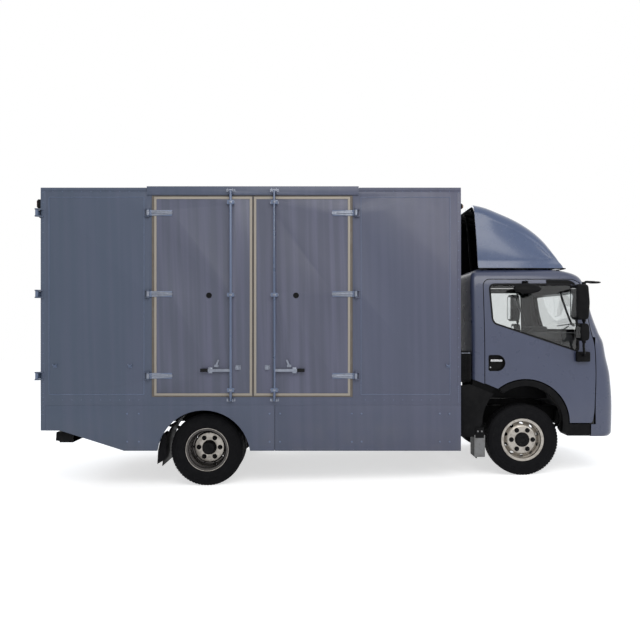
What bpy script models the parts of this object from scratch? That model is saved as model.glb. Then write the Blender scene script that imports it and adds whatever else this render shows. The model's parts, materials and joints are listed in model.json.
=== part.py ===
"""Electric light box truck: a tilting cab over the front axle, a closed cargo box with side and rear doors.

Metres. X runs forward from the rear axle, Y to the left, Z up from the box's own level plane. The empty truck
stands nose down, so one empty carries every piece and turns them by the rake.
"""

import math

import bmesh
import bpy
from mathutils import Matrix, Vector

# Running gear
WHEELBASE = 3.308
REAR_AXLE_Z = 0.375
FRONT_AXLE_Z = 0.462
TYRE_RADIUS = 0.375
TYRE_WIDTH = 0.185
WHEEL_SIDES = 24
RIM_FLANGE_RADIUS = 0.225
RIM_SEAT_RADIUS = 0.2035
RIM_HALF_WIDTH = 0.0825
RIM_WALL = 0.006
VENT_HOLES = 10
VENT_HOLE_RADIUS = 0.020
VENT_HOLE_CIRCLE = 0.148
FRONT_WHEEL_Y = 0.8075
KINGPIN_Y = 0.700
KINGPIN_RADIUS = 0.016
STUB_RADIUS = 0.028
STUB_SHOULDER = 0.0745
REAR_WHEEL_Y = 0.790
TWIN_SPACING = 0.215
HUB_RADIUS = 0.076
STEER_ARM = 0.150
TIE_ROD_RADIUS = 0.011
TIE_ROD_EYE_RADIUS = 0.012

# Small gaps between pieces that touch, between pieces that turn in each other, and at shut lines
SEAT = 0.0003
PIN_CLEARANCE = 0.001
SHUT_GAP = 0.008

# How near two points of one mesh are welded
WELD = 0.00002

# Chassis frame
RAIL_Y = 0.360
RAIL_DEPTH = 0.180
RAIL_FLANGE = 0.060
RAIL_THICKNESS = 0.007
RAIL_REAR = -1.500
FRAME_NOSE = 0.712
CROSS_MEMBER_WIDTH = 0.080
CROSS_MEMBER_DEPTH = 0.110
SPRING_Y = 0.400
SPRING_WIDTH = 0.070
SPRING_HALF_SPAN = 0.550
SPRING_EYE_RADIUS = 0.020
SPRING_PACK = 0.052

# Cargo box
BOX_REAR = -1.685
BOX_LENGTH = 4.303
BOX_HALF_WIDTH = 1.080
BOX_UNDER = 0.850
BOX_TOP = 3.074
JUNCTION_BOX_IN = 0.150
JUNCTION_BOX_WIDTH = 0.380
JUNCTION_BOX_BOTTOM = 1.070
JUNCTION_BOX_HEIGHT = 0.320
BOX_WALL = 0.040
FLOOR_THICKNESS = 0.080
BEARER_DEPTH = 0.090
BEARER_WIDTH = 0.060
POST_WIDTH = 0.050
POST_BOTTOM = 0.591
REAR_HEADER_BOTTOM = 2.960
SIDE_DOOR_REAR = -0.548
SIDE_DOOR_FRONT = 1.509
SIDE_DOOR_SEAM = 0.489
SIDE_DOOR_BOTTOM = 0.935
SIDE_DOOR_DROP = 0.076
HEADER_OUT = 0.015
HEADER_RISE = 0.015
DOOR_GAP = 0.005

# Door furniture
HINGE_HEIGHTS = (1.152, 1.989, 2.818)
HINGE_OUT = 0.028
HINGE_EYE_RADIUS = 0.015
HINGE_PIN_RADIUS = 0.007
HINGE_STRAP_HEIGHT = 0.060
HINGE_STRAP_THICKNESS = 0.006
HINGE_STRAP_LENGTH = 0.240
HINGE_LUG_HEIGHT = 0.012
LOCK_ROD_RADIUS = 0.0135
LOCK_ROD_OUT = 0.032
LOCK_ROD_BOTTOM = 0.896
LOCK_ROD_TOP = 3.043
LOCK_ROD_INSET = 0.225
REAR_LOCK_ROD_Y = 0.200
LOCK_GUIDE_HEIGHTS = (1.009, 1.980, 2.924)
LOCK_HANDLE_Z = 1.211
LOCK_HANDLE_LENGTH = 0.305

# Skirts and guards
SKIRT_THICKNESS = 0.025
SKIRT_BOTTOM = 0.383
SKIRT_REAR_BOTTOM = 0.590
SKIRT_SEAM = 0.711
ARCH_RADIUS = 0.480
ARCH_CENTRE_Z = 0.318
GUARD_RADIUS = 0.430
GUARD_INNER_Y = 0.585
GUARD_CLEARANCE = 0.025
GUARD_THICKNESS = 0.006
UNDERRUN_FRONT = -1.385
UNDERRUN_DEPTH = 0.140
UNDERRUN_BOTTOM = 0.455
UNDERRUN_HEIGHT = 0.110
UNDERRUN_HALF_WIDTH = 1.000

# Battery
BATTERY_REAR = 0.800
BATTERY_LENGTH = 1.500
BATTERY_HALF_WIDTH = 0.620
BATTERY_HEIGHT = 0.270

# Cab
CAB_GAP = 0.153
CAB_WALL = 0.045
CAB_CORNER = 0.140
CAB_REAR_CORNER = 0.050
CAB_FACE_ANGLE = 10.0
CAB_SILHOUETTE_ANGLE = 24.4
CAB_TOP = 2.272
CAB_SEAM = 1.126
CAB_REAR_SILL = 1.100
CAB_PIVOT_X = 0.662
CAB_PIVOT_Z = 0.520
CAB_PIVOT_RADIUS = 0.020
CAB_DECK_Z = 1.120
CAB_FOOTWELL_Z = 0.800
CAB_FLOOR_THICKNESS = 0.040
CAB_RISER_X = 0.400
DOOR_REAR_OFFSET = 0.124
DOOR_TOP = 2.156
DOOR_BOTTOM = 0.646
DOOR_PIVOT_X = 0.722
DOOR_PIVOT_IN = 0.025
DOOR_HINGE_HEIGHTS = (0.900, 1.110)
DOOR_HINGE_RADIUS = 0.011
DOOR_HINGE_THICKNESS = 0.024
DOOR_PIN_RADIUS = 0.007
DOOR_PIN_LENGTH = 0.080
FRONT_ARCH_X = 0.013
FRONT_ARCH_Z = 0.646
FRONT_ARCH_RADIUS = 0.455
FLARE_WIDTH = 0.062
GLASS_THICKNESS = 0.006
GLASS_INSET = 0.012
HEADLAMP_Y = (0.500, 0.790)
HEADLAMP_Z = (0.800, 0.960)
DEFLECTOR_WALL = 0.014
STEERING_WHEEL_Y = 0.400
STEERING_WHEEL_X = 0.372
STEERING_WHEEL_Z = 1.556
STEERING_WHEEL_RADIUS = 0.200
STEERING_WHEEL_TILT = 27.0

RAKE = math.atan((FRONT_AXLE_Z - REAR_AXLE_Z) / WHEELBASE)
BOX_FRONT = BOX_REAR + BOX_LENGTH
SIDE_DOOR_TOP = BOX_TOP - SIDE_DOOR_DROP
CAB_REAR = BOX_FRONT + CAB_GAP
RAIL_TOP = BOX_UNDER - BEARER_DEPTH - SEAT
RAIL_BOTTOM = RAIL_TOP - RAIL_DEPTH
RAIL_FRONT = WHEELBASE + FRAME_NOSE
FLOOR_TOP = BOX_UNDER + FLOOR_THICKNESS
DOOR_REAR = CAB_REAR + DOOR_REAR_OFFSET
SHELF_TOP = CAB_SEAM + CAB_FLOOR_THICKNESS
DOOR_PIVOT_Y = 0.950 - DOOR_PIVOT_IN
SIDES = {"right": -1, "left": 1}

# One row a level of the cab: height, half width, front corner ahead of the front axle, rounding in from the rear
CAB_LEVELS = (
    (0.508, 0.930, 0.927, 0.000),
    (0.540, 0.945, 0.944, 0.000),
    (0.815, 0.950, 0.948, 0.000),
    (1.126, 0.950, 0.928, 0.000),
    (1.345, 0.949, 0.882, 0.000),
    (1.487, 0.945, 0.857, 0.000),
    (1.590, 0.938, 0.812, 0.000),
    (1.820, 0.915, 0.737, 0.000),
    (2.060, 0.888, 0.690, 0.000),
    (2.130, 0.877, 0.667, 0.000),
    (2.185, 0.862, 0.632, 0.006),
    (2.225, 0.838, 0.570, 0.022),
    (2.250, 0.808, 0.485, 0.048),
    (2.265, 0.775, 0.355, 0.080),
    (CAB_TOP, 0.740, 0.175, 0.120),
)

# One row a station of the roof deflector: ahead of its rear edge, top height, half width at the foot and at the top
DEFLECTOR_STATIONS = (
    (0.000, 2.990, 0.830, 0.740),
    (0.115, 2.966, 0.829, 0.738),
    (0.290, 2.900, 0.826, 0.732),
    (0.465, 2.823, 0.820, 0.725),
    (0.615, 2.736, 0.812, 0.717),
    (0.730, 2.647, 0.803, 0.710),
    (0.816, 2.560, 0.794, 0.705),
    (0.890, 2.455, 0.782, 0.700),
    (0.945, 2.345, 0.765, 0.698),
)
DEFLECTOR_REAR_IN = 0.066
DEFLECTOR_LEAN = 0.018
DEFLECTOR_SHOULDER = 0.120

# One row a finish: colour, roughness, metallic
FINISHES = {
    "box paint": ((0.125, 0.138, 0.190), 0.45, 0.0),
    "cab paint": ((0.090, 0.105, 0.175), 0.32, 0.0),
    "deflector paint": ((0.185, 0.250, 0.430), 0.25, 0.0),
    "black steel": ((0.018, 0.018, 0.020), 0.55, 0.0),
    "black plastic": ((0.022, 0.022, 0.024), 0.60, 0.0),
    "rim silver": ((0.560, 0.540, 0.500), 0.38, 0.8),
    "rubber": ((0.022, 0.022, 0.023), 0.85, 0.0),
    "glass": ((0.550, 0.620, 0.600), 0.05, 0.0),
    "lamp": ((0.800, 0.800, 0.780), 0.15, 0.0),
    "red lamp": ((0.450, 0.020, 0.020), 0.20, 0.0),
    "seat": ((0.060, 0.060, 0.068), 0.90, 0.0),
    "battery grey": ((0.200, 0.210, 0.220), 0.50, 0.3),
    "floor": ((0.160, 0.110, 0.070), 0.80, 0.0),
}


def clear_scene():
    for obj in list(bpy.data.objects):
        bpy.data.objects.remove(obj)


def material(finish):
    found = bpy.data.materials.get(finish)
    if found:
        return found
    colour, roughness, metallic = FINISHES[finish]
    made = bpy.data.materials.new(finish)
    made.use_nodes = True
    shader = made.node_tree.nodes["Principled BSDF"]
    shader.inputs["Base Color"].default_value = (*colour, 1)
    shader.inputs["Roughness"].default_value = roughness
    shader.inputs["Metallic"].default_value = metallic
    made.diffuse_color = (*colour, 1)
    return made


def add(name, bm):
    """A new object from a bmesh of closed shapes."""
    bmesh.ops.recalc_face_normals(bm, faces=bm.faces)
    mesh = bpy.data.meshes.new(name)
    bm.to_mesh(mesh)
    bm.free()
    obj = bpy.data.objects.new(name, mesh)
    bpy.context.scene.collection.objects.link(obj)
    return obj


def skin(bm, loops):
    """Quads between loops of as many points each, and a cap on both ends."""
    count = len(loops[0])
    for one, two in zip(loops, loops[1:]):
        for i in range(count):
            j = (i + 1) % count
            bm.faces.new((one[i], one[j], two[j], two[i]))
    bm.faces.new(loops[0])
    bm.faces.new(loops[-1])


def loft(name, sections):
    bm = bmesh.new()
    skin(bm, [[bm.verts.new(point) for point in section] for section in sections])
    return add(name, bm)


def prism(name, axis, outline, span):
    """An outline in the plane across the axis, pushed along it. The outline's points are (y, z), (x, z) or (x, y)."""
    place = {
        "X": lambda a, b, end: (end, a, b),
        "Y": lambda a, b, end: (a, end, b),
        "Z": lambda a, b, end: (a, b, end),
    }[axis]
    return loft(name, [[place(a, b, end) for a, b in outline] for end in span])


def block(name, x, y, z):
    return prism(name, "Z", [(x[0], y[0]), (x[1], y[0]), (x[1], y[1]), (x[0], y[1])], z)


def turned(name, profile, sides, matrix=None):
    """A closed profile of (radius, along) turned round the matrix's own Z axis."""
    bm = bmesh.new()
    rows = []
    for radius, along in profile:
        if radius == 0:
            rows.append([bm.verts.new((0, 0, along))] * sides)
            continue
        turns = [(i + 0.5) * math.tau / sides for i in range(sides)]
        rows.append([bm.verts.new((radius * math.cos(a), radius * math.sin(a), along)) for a in turns])
    for one, two in zip(rows, rows[1:] + rows[:1]):
        for i in range(sides):
            j = (i + 1) % sides
            corners = list(dict.fromkeys((one[i], one[j], two[j], two[i])))
            if len(corners) > 2:
                bm.faces.new(corners)
    bmesh.ops.transform(bm, matrix=matrix or Matrix(), verts=bm.verts)
    return add(name, bm)


def outward(x, y, z, side):
    """A frame at this point whose Z axis points out of the truck's side."""
    turn = Matrix(((1, 0, 0), (0, 0, side), (0, -side, 0))).to_4x4()
    return Matrix.Translation((x, y, z)) @ turn


def rod(name, start, end, radius, sides=8):
    start = Vector(start)
    along = Vector(end) - start
    frame = Matrix.Translation(start) @ along.to_track_quat("Z", "Y").to_matrix().to_4x4()
    profile = [(0, 0), (radius, 0), (radius, along.length), (0, along.length)]
    return turned(name, profile, sides, frame)


def arc(centre, radius, start, end, steps):
    """Points from one angle to the other in degrees, both ends included."""
    turns = [math.radians(start + (end - start) * i / steps) for i in range(steps + 1)]
    return [(centre[0] + radius * math.cos(a), centre[1] + radius * math.sin(a)) for a in turns]


def grown(outline, distance):
    """An outline with each edge moved out by the distance, or in where it is negative."""
    count = len(outline)
    points = [Vector(point) for point in outline]
    area = sum(points[i - 1].cross(points[i]) for i in range(count))
    turn = 1 if area > 0 else -1
    moved = []
    for i in range(count):
        before = (points[i] - points[i - 1]).normalized()
        after = (points[(i + 1) % count] - points[i]).normalized()
        normals = [Vector((edge.y, -edge.x)) * turn for edge in (before, after)]
        middle = normals[0] + normals[1]
        moved.append(tuple(points[i] + middle * (2 * distance / middle.length_squared)))
    return moved


def tidy(mesh):
    """Welds points that a Boolean left almost together, and merges faces that lie in one plane."""
    bm = bmesh.new()
    bm.from_mesh(mesh)
    bmesh.ops.remove_doubles(bm, verts=bm.verts, dist=WELD)
    bmesh.ops.dissolve_degenerate(bm, edges=bm.edges, dist=WELD)
    bmesh.ops.dissolve_limit(bm, angle_limit=math.radians(0.02), verts=bm.verts, edges=bm.edges)
    bm.to_mesh(mesh)
    bm.free()
    return mesh


def boolean(target, others, operation):
    """The target after this operation with each of the others, which are then removed."""
    for other in others:
        modifier = target.modifiers.new(operation, "BOOLEAN")
        modifier.operation = operation
        modifier.object = other
    bpy.context.view_layer.update()
    evaluated = target.evaluated_get(bpy.context.evaluated_depsgraph_get())
    mesh = bpy.data.meshes.new_from_object(evaluated)
    target.modifiers.clear()
    target.data = tidy(mesh)
    for other in others:
        bpy.data.objects.remove(other)
    return target


def fuse(target, *others):
    return boolean(target, others, "UNION")


def cut(target, *others):
    return boolean(target, others, "DIFFERENCE")


def keep(target, *others):
    return boolean(target, others, "INTERSECT")


def copy_of(obj, name):
    made = bpy.data.objects.new(name, obj.data.copy())
    bpy.context.scene.collection.objects.link(made)
    return made


def pivot(name, parent, at, tilt=0.0):
    """An empty on a joint's axis, at this place in the truck's level frame."""
    made = bpy.data.objects.new(name, None)
    made.empty_display_size = 0.2
    bpy.context.scene.collection.objects.link(made)
    made["level_place"] = at
    made["tilt"] = tilt
    if parent:
        made.parent = parent
        above = Vector(parent["level_place"])
        made.location = Vector(at) - above
        made.rotation_euler = (0, tilt - parent["tilt"], 0)
    return made


def place(obj, name, finish, parent):
    """Names a finished piece, gives it its finish and hangs it from its joint, with its origin on the axis."""
    obj.name = name
    obj.data.name = name
    obj.data.transform(Matrix.Translation(-Vector(parent["level_place"])))
    obj.data.materials.clear()
    obj.data.materials.append(material(finish))
    obj.data.shade_smooth()
    obj.data.set_sharp_from_angle(angle=math.radians(32))
    obj.parent = parent
    return obj


# Chassis


def frame_rail(side):
    web = RAIL_Y
    inner = web - RAIL_FLANGE
    thin = RAIL_THICKNESS
    section = [
        (web, RAIL_BOTTOM),
        (web, RAIL_TOP),
        (inner, RAIL_TOP),
        (inner, RAIL_TOP - thin),
        (web - thin, RAIL_TOP - thin),
        (web - thin, RAIL_BOTTOM + thin),
        (inner, RAIL_BOTTOM + thin),
        (inner, RAIL_BOTTOM),
    ]
    return prism("rail", "X", [(side * y, z) for y, z in section], (RAIL_REAR, RAIL_FRONT))


def cross_member(x):
    half = CROSS_MEMBER_WIDTH / 2
    middle = (RAIL_TOP + RAIL_BOTTOM) / 2
    low, high = middle - CROSS_MEMBER_DEPTH / 2, middle + CROSS_MEMBER_DEPTH / 2
    thin = RAIL_THICKNESS
    section = [
        (x - half, low),
        (x - half, high),
        (x + half, high),
        (x + half, high - thin),
        (x - half + thin, high - thin),
        (x - half + thin, low + thin),
        (x + half, low + thin),
        (x + half, low),
    ]
    reach = RAIL_Y - RAIL_THICKNESS / 2
    return prism("cross member", "Y", section, (-reach, reach))


def spring_hangers(axle_x):
    """The four lugs on the rails that the ends of an axle's two springs sit under."""
    lugs = []
    for side in SIDES.values():
        for end in (-1, 1):
            x = axle_x + end * SPRING_HALF_SPAN
            y = sorted((side * (RAIL_Y - RAIL_THICKNESS / 2), side * (SPRING_Y + SPRING_WIDTH / 2)))
            half = SPRING_EYE_RADIUS * 1.7
            low = SPRING_EYE_Z + SPRING_EYE_RADIUS * math.cos(math.pi / 8) + SEAT
            lugs.append(block("hanger", (x - half, x + half), y, (low, RAIL_TOP - 0.040)))
    return lugs


SPRING_EYE_Z = RAIL_BOTTOM - 0.035


def make_frame(root):
    frame = frame_rail(-1)
    members = [cross_member(x) for x in (-1.440, -0.640, 0.560, 1.600, 2.480, RAIL_FRONT - 0.060)]
    bridge_x = (CAB_REAR + 0.030, CAB_REAR + 0.100)
    bridge_top = CAB_DECK_Z - SEAT
    posts = [
        block("post", bridge_x, sorted((s * RAIL_Y, s * (RAIL_Y - 0.070))), (RAIL_TOP - 0.020, bridge_top))
        for s in SIDES.values()
    ]
    beam = block("bridge", bridge_x, (-RAIL_Y - 0.060, RAIL_Y + 0.060), (bridge_top - 0.070, bridge_top))
    pivot_x = WHEELBASE + CAB_PIVOT_X
    ears = [
        block(
            "ear",
            (pivot_x - 0.040, pivot_x + 0.040),
            sorted((s * (RAIL_Y - RAIL_FLANGE), s * RAIL_Y)),
            (CAB_PIVOT_Z - 0.040, RAIL_BOTTOM + 0.004),
        )
        for s in SIDES.values()
    ]
    hangers = spring_hangers(0) + spring_hangers(WHEELBASE)
    fuse(frame, frame_rail(1), *members, *posts, beam, *ears, *hangers)
    hole = rod("hole", (pivot_x, -1, CAB_PIVOT_Z), (pivot_x, 1, CAB_PIVOT_Z), CAB_PIVOT_RADIUS + PIN_CLEARANCE, 12)
    cut(frame, hole)
    place(frame, "frame", "black steel", root)


def make_battery(root):
    top = RAIL_BOTTOM - SEAT
    low = top - BATTERY_HEIGHT
    wide = BATTERY_HALF_WIDTH
    cham = 0.030
    section = [
        (-wide, low + cham), (-wide + cham, low), (wide - cham, low), (wide, low + cham),
        (wide, top - cham), (wide - cham, top), (-wide + cham, top), (-wide, top - cham),
    ]
    battery = prism("battery", "X", section, (BATTERY_REAR, BATTERY_REAR + BATTERY_LENGTH))
    place(battery, "battery_block", "battery grey", root)


# Axles and springs


def leaf_spring(axle_x, side, seat_z):
    """A pack of leaves, thick over the axle and thin at its two eyes."""
    steps = 6
    upper, lower = [], []
    for i in range(steps + 1):
        u = -1 + 2 * i / steps
        middle = seat_z + SPRING_PACK / 2
        z = middle + (SPRING_EYE_Z - middle) * u * u
        half = 0.5 * (SPRING_PACK * (1 - abs(u)) + 0.016 * abs(u))
        upper.append((axle_x + u * SPRING_HALF_SPAN, z + half))
        lower.append((axle_x + u * SPRING_HALF_SPAN, z - half))
    y = side * SPRING_Y
    span = (y - SPRING_WIDTH / 2, y + SPRING_WIDTH / 2)
    pack = prism("spring", "Y", upper + lower[::-1], span)
    eyes = [
        rod("eye", (x, span[0], SPRING_EYE_Z), (x, span[1], SPRING_EYE_Z), SPRING_EYE_RADIUS, 8)
        for x in (axle_x - SPRING_HALF_SPAN, axle_x + SPRING_HALF_SPAN)
    ]
    return fuse(pack, *eyes)


def spring_seat(axle_x, side, low, high):
    y = side * SPRING_Y
    half = SPRING_WIDTH / 2 + 0.012
    return block("seat", (axle_x - 0.060, axle_x + 0.060), (y - half, y + half), (low, high))


def make_rear_axle(root):
    z = REAR_AXLE_Z
    inner_hub = REAR_WHEEL_Y - 0.030
    stub = inner_hub - 0.0005
    half = [(0, -stub), (0.040, -stub), (0.040, -0.745), (0.155, -0.745), (0.155, -0.625), (0.055, -0.620),
            (0.060, -0.260), (0.150, -0.170)]
    profile = half + [(radius, -along) for radius, along in half[::-1]]
    axle = turned("axle", profile, 18, outward(0, 0, z, 1))
    motor = turned(
        "motor",
        [(0, -0.200), (0.110, -0.200), (0.125, -0.180), (0.125, 0.160), (0.110, 0.180), (0, 0.180)],
        16,
        outward(0.230, 0.020, z + 0.010, 1),
    )
    gearcase = block("gearcase", (0.020, 0.240), (-0.140, 0.060), (z - 0.080, z + 0.100))
    pieces = [motor, gearcase]
    for side in SIDES.values():
        pieces.append(spring_seat(0, side, z, z + 0.075))
        pieces.append(leaf_spring(0, side, z + 0.068))
    fuse(axle, *pieces)
    place(axle, "rear_axle", "black steel", root)


def make_front_axle(root):
    x, z = WHEELBASE, FRONT_AXLE_Z
    drop = 0.060
    beam = [
        (-KINGPIN_Y, z - 0.045), (-0.600, z - 0.045), (-0.500, z - 0.040 - drop), (0.500, z - 0.040 - drop),
        (0.600, z - 0.045), (KINGPIN_Y, z - 0.045), (KINGPIN_Y, z + 0.045), (0.590, z + 0.045),
        (0.480, z + 0.045 - drop), (-0.480, z + 0.045 - drop), (-0.590, z + 0.045), (-KINGPIN_Y, z + 0.045),
    ]
    axle = prism("axle", "X", beam, (x - 0.028, x + 0.028))
    pieces = []
    for side in SIDES.values():
        y = side * KINGPIN_Y
        half = [(0, -0.084), (KINGPIN_RADIUS, -0.084), (KINGPIN_RADIUS, -0.050), (0.030, -0.050)]
        kingpin = half + [(radius, -along) for radius, along in half[::-1]]
        pieces.append(turned("kingpin", kingpin, 12, Matrix.Translation((x, y, z))))
        pieces.append(spring_seat(x, side, z - drop - 0.010, z - 0.009))
        pieces.append(leaf_spring(x, side, z - 0.016))
    fuse(axle, *pieces)
    place(axle, "front_axle", "black steel", root)


def make_knuckle(name, side, parent):
    """A fork on the kingpin, with the stub axle that the wheel turns on and the arm that the tie rod moves."""
    x, y, z = WHEELBASE, side * KINGPIN_Y, FRONT_AXLE_Z
    bore = KINGPIN_RADIUS + PIN_CLEARANCE
    ring = [(bore, 0), (0.042, 0), (0.042, 0.026), (bore, 0.026)]
    plate = block("plate", (x - 0.034, x + 0.034), sorted((y + side * 0.033, y + side * 0.058)), (z - 0.075, z + 0.075))
    lugs = [turned("lug", ring, 12, Matrix.Translation((x, y, z + low))) for low in (-0.077, 0.051)]
    stub_profile = [(0, 0.045), (0.034, 0.045), (0.034, STUB_SHOULDER), (STUB_RADIUS, STUB_SHOULDER),
                    (STUB_RADIUS, 0.115), (0.020, 0.160), (0, 0.160)]
    stub = turned("stub", stub_profile, 12, outward(x, y, z, side))
    brake = turned(
        "brake",
        [(0, 0.048), (0.155, 0.048), (0.155, 0.072), (0, 0.072)],
        18,
        outward(x, y, z, side),
    )
    arm = block("arm", (x - STEER_ARM - 0.018, x - 0.025), (y - 0.015, y + 0.015), (z - 0.079, z - 0.062))
    fuse(plate, *lugs, stub, brake, arm)
    place(plate, name, "black steel", parent)


def make_tie_rod(parent):
    """The rod between the two steering arms. It rests on them, with a ball pin down through each."""
    x = WHEELBASE - STEER_ARM
    z = FRONT_AXLE_Z - 0.079 - SEAT
    low = z - 0.030
    bar_z = low + TIE_ROD_RADIUS + 0.002
    bar = rod("tie rod", (x, -KINGPIN_Y, bar_z), (x, KINGPIN_Y, bar_z), TIE_ROD_RADIUS, 8)
    ends = [rod("end", (x, s * KINGPIN_Y, low), (x, s * KINGPIN_Y, z), TIE_ROD_EYE_RADIUS, 10) for s in SIDES.values()]
    fuse(bar, *ends)
    place(bar, "tie_rod", "black steel", parent)


# Wheels


def rim_barrel(sign, centre):
    """The tyre's side of one rim, from its outboard flange (sign 1) or inboard flange (sign -1) to the other."""
    half = RIM_HALF_WIDTH
    flange, seat = RIM_FLANGE_RADIUS, RIM_SEAT_RADIUS
    shape = [(flange, half), (flange, half - 0.006), (seat, half - 0.009), (seat, 0.009 - half), (flange, 0.006 - half),
             (flange, -half)]
    return [(radius, centre + sign * along) for radius, along in shape]


def make_front_rim(name, side, parent):
    centre = (WHEELBASE, side * FRONT_WHEEL_Y, FRONT_AXLE_Z)
    half, wall = RIM_HALF_WIDTH, RIM_WALL
    well = RIM_SEAT_RADIUS - 0.016 - wall
    flange = RIM_FLANGE_RADIUS - 0.013
    hub_in = KINGPIN_Y + STUB_SHOULDER + 0.0015 - FRONT_WHEEL_Y
    bore = STUB_RADIUS + PIN_CLEARANCE
    profile = rim_barrel(1, 0) + [
        (flange, -half), (well, 0.014 - half), (well, 0.010), (0.150, 0.052), (0.062, 0.044), (0.058, hub_in),
        (bore, hub_in), (bore, hub_in + 0.041), (0.022, 0.056), (0, 0.056), (0, 0.092), (HUB_RADIUS, 0.084),
        (HUB_RADIUS, 0.062), (0.150, 0.064), (well, 0.050), (well, half - 0.014), (flange, half),
    ]
    rim = turned("rim", profile, WHEEL_SIDES, outward(*centre, side))
    holes = []
    for i in range(VENT_HOLES):
        turn = math.tau * i / VENT_HOLES
        x = centre[0] + VENT_HOLE_CIRCLE * math.cos(turn)
        z = centre[2] + VENT_HOLE_CIRCLE * math.sin(turn)
        holes.append(rod("hole", (x, centre[1], z), (x, centre[1] + side * 0.120, z), VENT_HOLE_RADIUS, 6))
    cut(rim, *holes)
    place(rim, name, "rim silver", parent)


def make_rear_rims(name, side, parent):
    """The two rims of a twin wheel, back to back on one hub."""
    centre = (0, side * REAR_WHEEL_Y, REAR_AXLE_Z)
    half, wall = RIM_HALF_WIDTH, RIM_WALL
    shift = TWIN_SPACING / 2
    well = RIM_SEAT_RADIUS - 0.016 - wall
    flange = RIM_FLANGE_RADIUS - 0.013
    disc = 0.010
    outer = rim_barrel(1, shift)
    inner = rim_barrel(1, -shift)
    joint = [(0.160, 0)]
    inside = [(flange, -shift - half), (well, 0.014 - shift - half), (well, -0.040), (0.155, -disc - 0.008),
              (HUB_RADIUS, -disc), (HUB_RADIUS, -0.030), (0, -0.030)]
    face = [(0, 0.120), (0.070, 0.115), (HUB_RADIUS, disc), (0.155, disc + 0.008), (well, 0.040),
            (well, shift + half - 0.014), (flange, shift + half)]
    rims = turned("rims", outer + joint + inner + inside + face, WHEEL_SIDES, outward(*centre, side))
    place(rims, name, "rim silver", parent)


def make_tyre(name, x, y, z, side, parent):
    bead = RIM_SEAT_RADIUS + SEAT * 2
    inner = RIM_HALF_WIDTH - 0.0095 - SEAT * 2
    half = TYRE_WIDTH / 2
    top = TYRE_RADIUS
    flank = [(bead, inner), (RIM_FLANGE_RADIUS + 0.004, inner), (top - 0.085, half), (top - 0.015, half - 0.012),
             (top, half - 0.045)]
    profile = flank + [(radius, -along) for radius, along in flank[::-1]]
    tyre = turned("tyre", profile, WHEEL_SIDES, outward(x, y, z, side))
    place(tyre, name, "rubber", parent)


# Cargo box


def make_box_floor(root):
    inner = BOX_HALF_WIDTH - BOX_WALL - SEAT
    x = (BOX_REAR + POST_WIDTH + SEAT, BOX_FRONT - BOX_WALL - SEAT)
    floor = block("floor", x, (-inner, inner), (BOX_UNDER, FLOOR_TOP))
    reach = BOX_HALF_WIDTH - SKIRT_THICKNESS - SEAT
    half = BEARER_WIDTH / 2
    bearers = [
        block("bearer", (at - half, at + half), (-reach, reach), (BOX_UNDER - BEARER_DEPTH, BOX_UNDER - SEAT))
        for at in (x[0] + half + 0.140, -0.980, -0.540, 0.540, 1.020, 1.500, 1.980, x[1] - half - 0.060)
    ]
    ties = [
        block("tie", (b, e), (-inner + 0.020, inner - 0.020), (BOX_UNDER - 0.010, BOX_UNDER + 0.020))
        for b, e in [(at - half * 0.8, at + half * 0.8) for at in
                     (x[0] + half + 0.140, -0.980, -0.540, 0.540, 1.020, 1.500, 1.980, x[1] - half - 0.060)]
    ]
    fuse(floor, *bearers, *ties)
    place(floor, "box_floor", "floor", root)


def wall_span():
    return BOX_UNDER, BOX_TOP - BOX_WALL - SEAT


def make_box_walls(root):
    low, high = wall_span()
    rear = BOX_REAR + POST_WIDTH + SEAT
    front = BOX_FRONT - BOX_WALL - SEAT
    outer, inner = BOX_HALF_WIDTH, BOX_HALF_WIDTH - BOX_WALL
    left = block("wall", (rear, front), (inner, outer), (low, high))
    place(left, "box_left_wall", "box paint", root)
    right = block("wall", (rear, front), (-outer, -inner), (low, high))
    header_out = outer + HEADER_OUT
    header = [
        (-header_out, SIDE_DOOR_TOP + 0.004), (-inner - 0.010, SIDE_DOOR_TOP + 0.004), (-inner - 0.010, high - 0.002),
        (-outer - SEAT, high - 0.002), (-outer - SEAT, BOX_TOP + HEADER_RISE), (-header_out, BOX_TOP + HEADER_RISE),
    ]
    lip = prism("header", "X", header, (SIDE_DOOR_REAR - 0.047, SIDE_DOOR_FRONT + 0.061))
    opening = block(
        "opening",
        (SIDE_DOOR_REAR, SIDE_DOOR_FRONT),
        (-outer - 0.1, -inner + 0.1),
        (SIDE_DOOR_BOTTOM, SIDE_DOOR_TOP),
    )
    cut(right, opening)
    furniture = [lip]
    for z in HINGE_HEIGHTS:
        furniture.append(side_hinge_lugs(SIDE_DOOR_REAR - 0.032, -1, z))
        furniture.append(side_hinge_lugs(SIDE_DOOR_FRONT + 0.032, 1, z))
    for x in side_rod_places():
        furniture.extend(side_keepers(x))
    fuse(right, *furniture)
    place(right, "box_right_wall", "box paint", root)
    front_wall = block("wall", (BOX_FRONT - BOX_WALL, BOX_FRONT), (-outer, outer), (low, high))
    place(front_wall, "box_front_wall", "box paint", root)


def make_box_roof(root):
    outer = BOX_HALF_WIDTH
    low = BOX_TOP - BOX_WALL
    soft = 0.012
    section = [
        (-outer, low), (outer, low), (outer, BOX_TOP - soft), (outer - soft, BOX_TOP),
        (-outer + soft, BOX_TOP), (-outer, BOX_TOP - soft),
    ]
    roof = prism("roof", "X", section, (BOX_REAR + POST_WIDTH + SEAT, BOX_FRONT))
    place(roof, "box_roof", "box paint", root)


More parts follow.
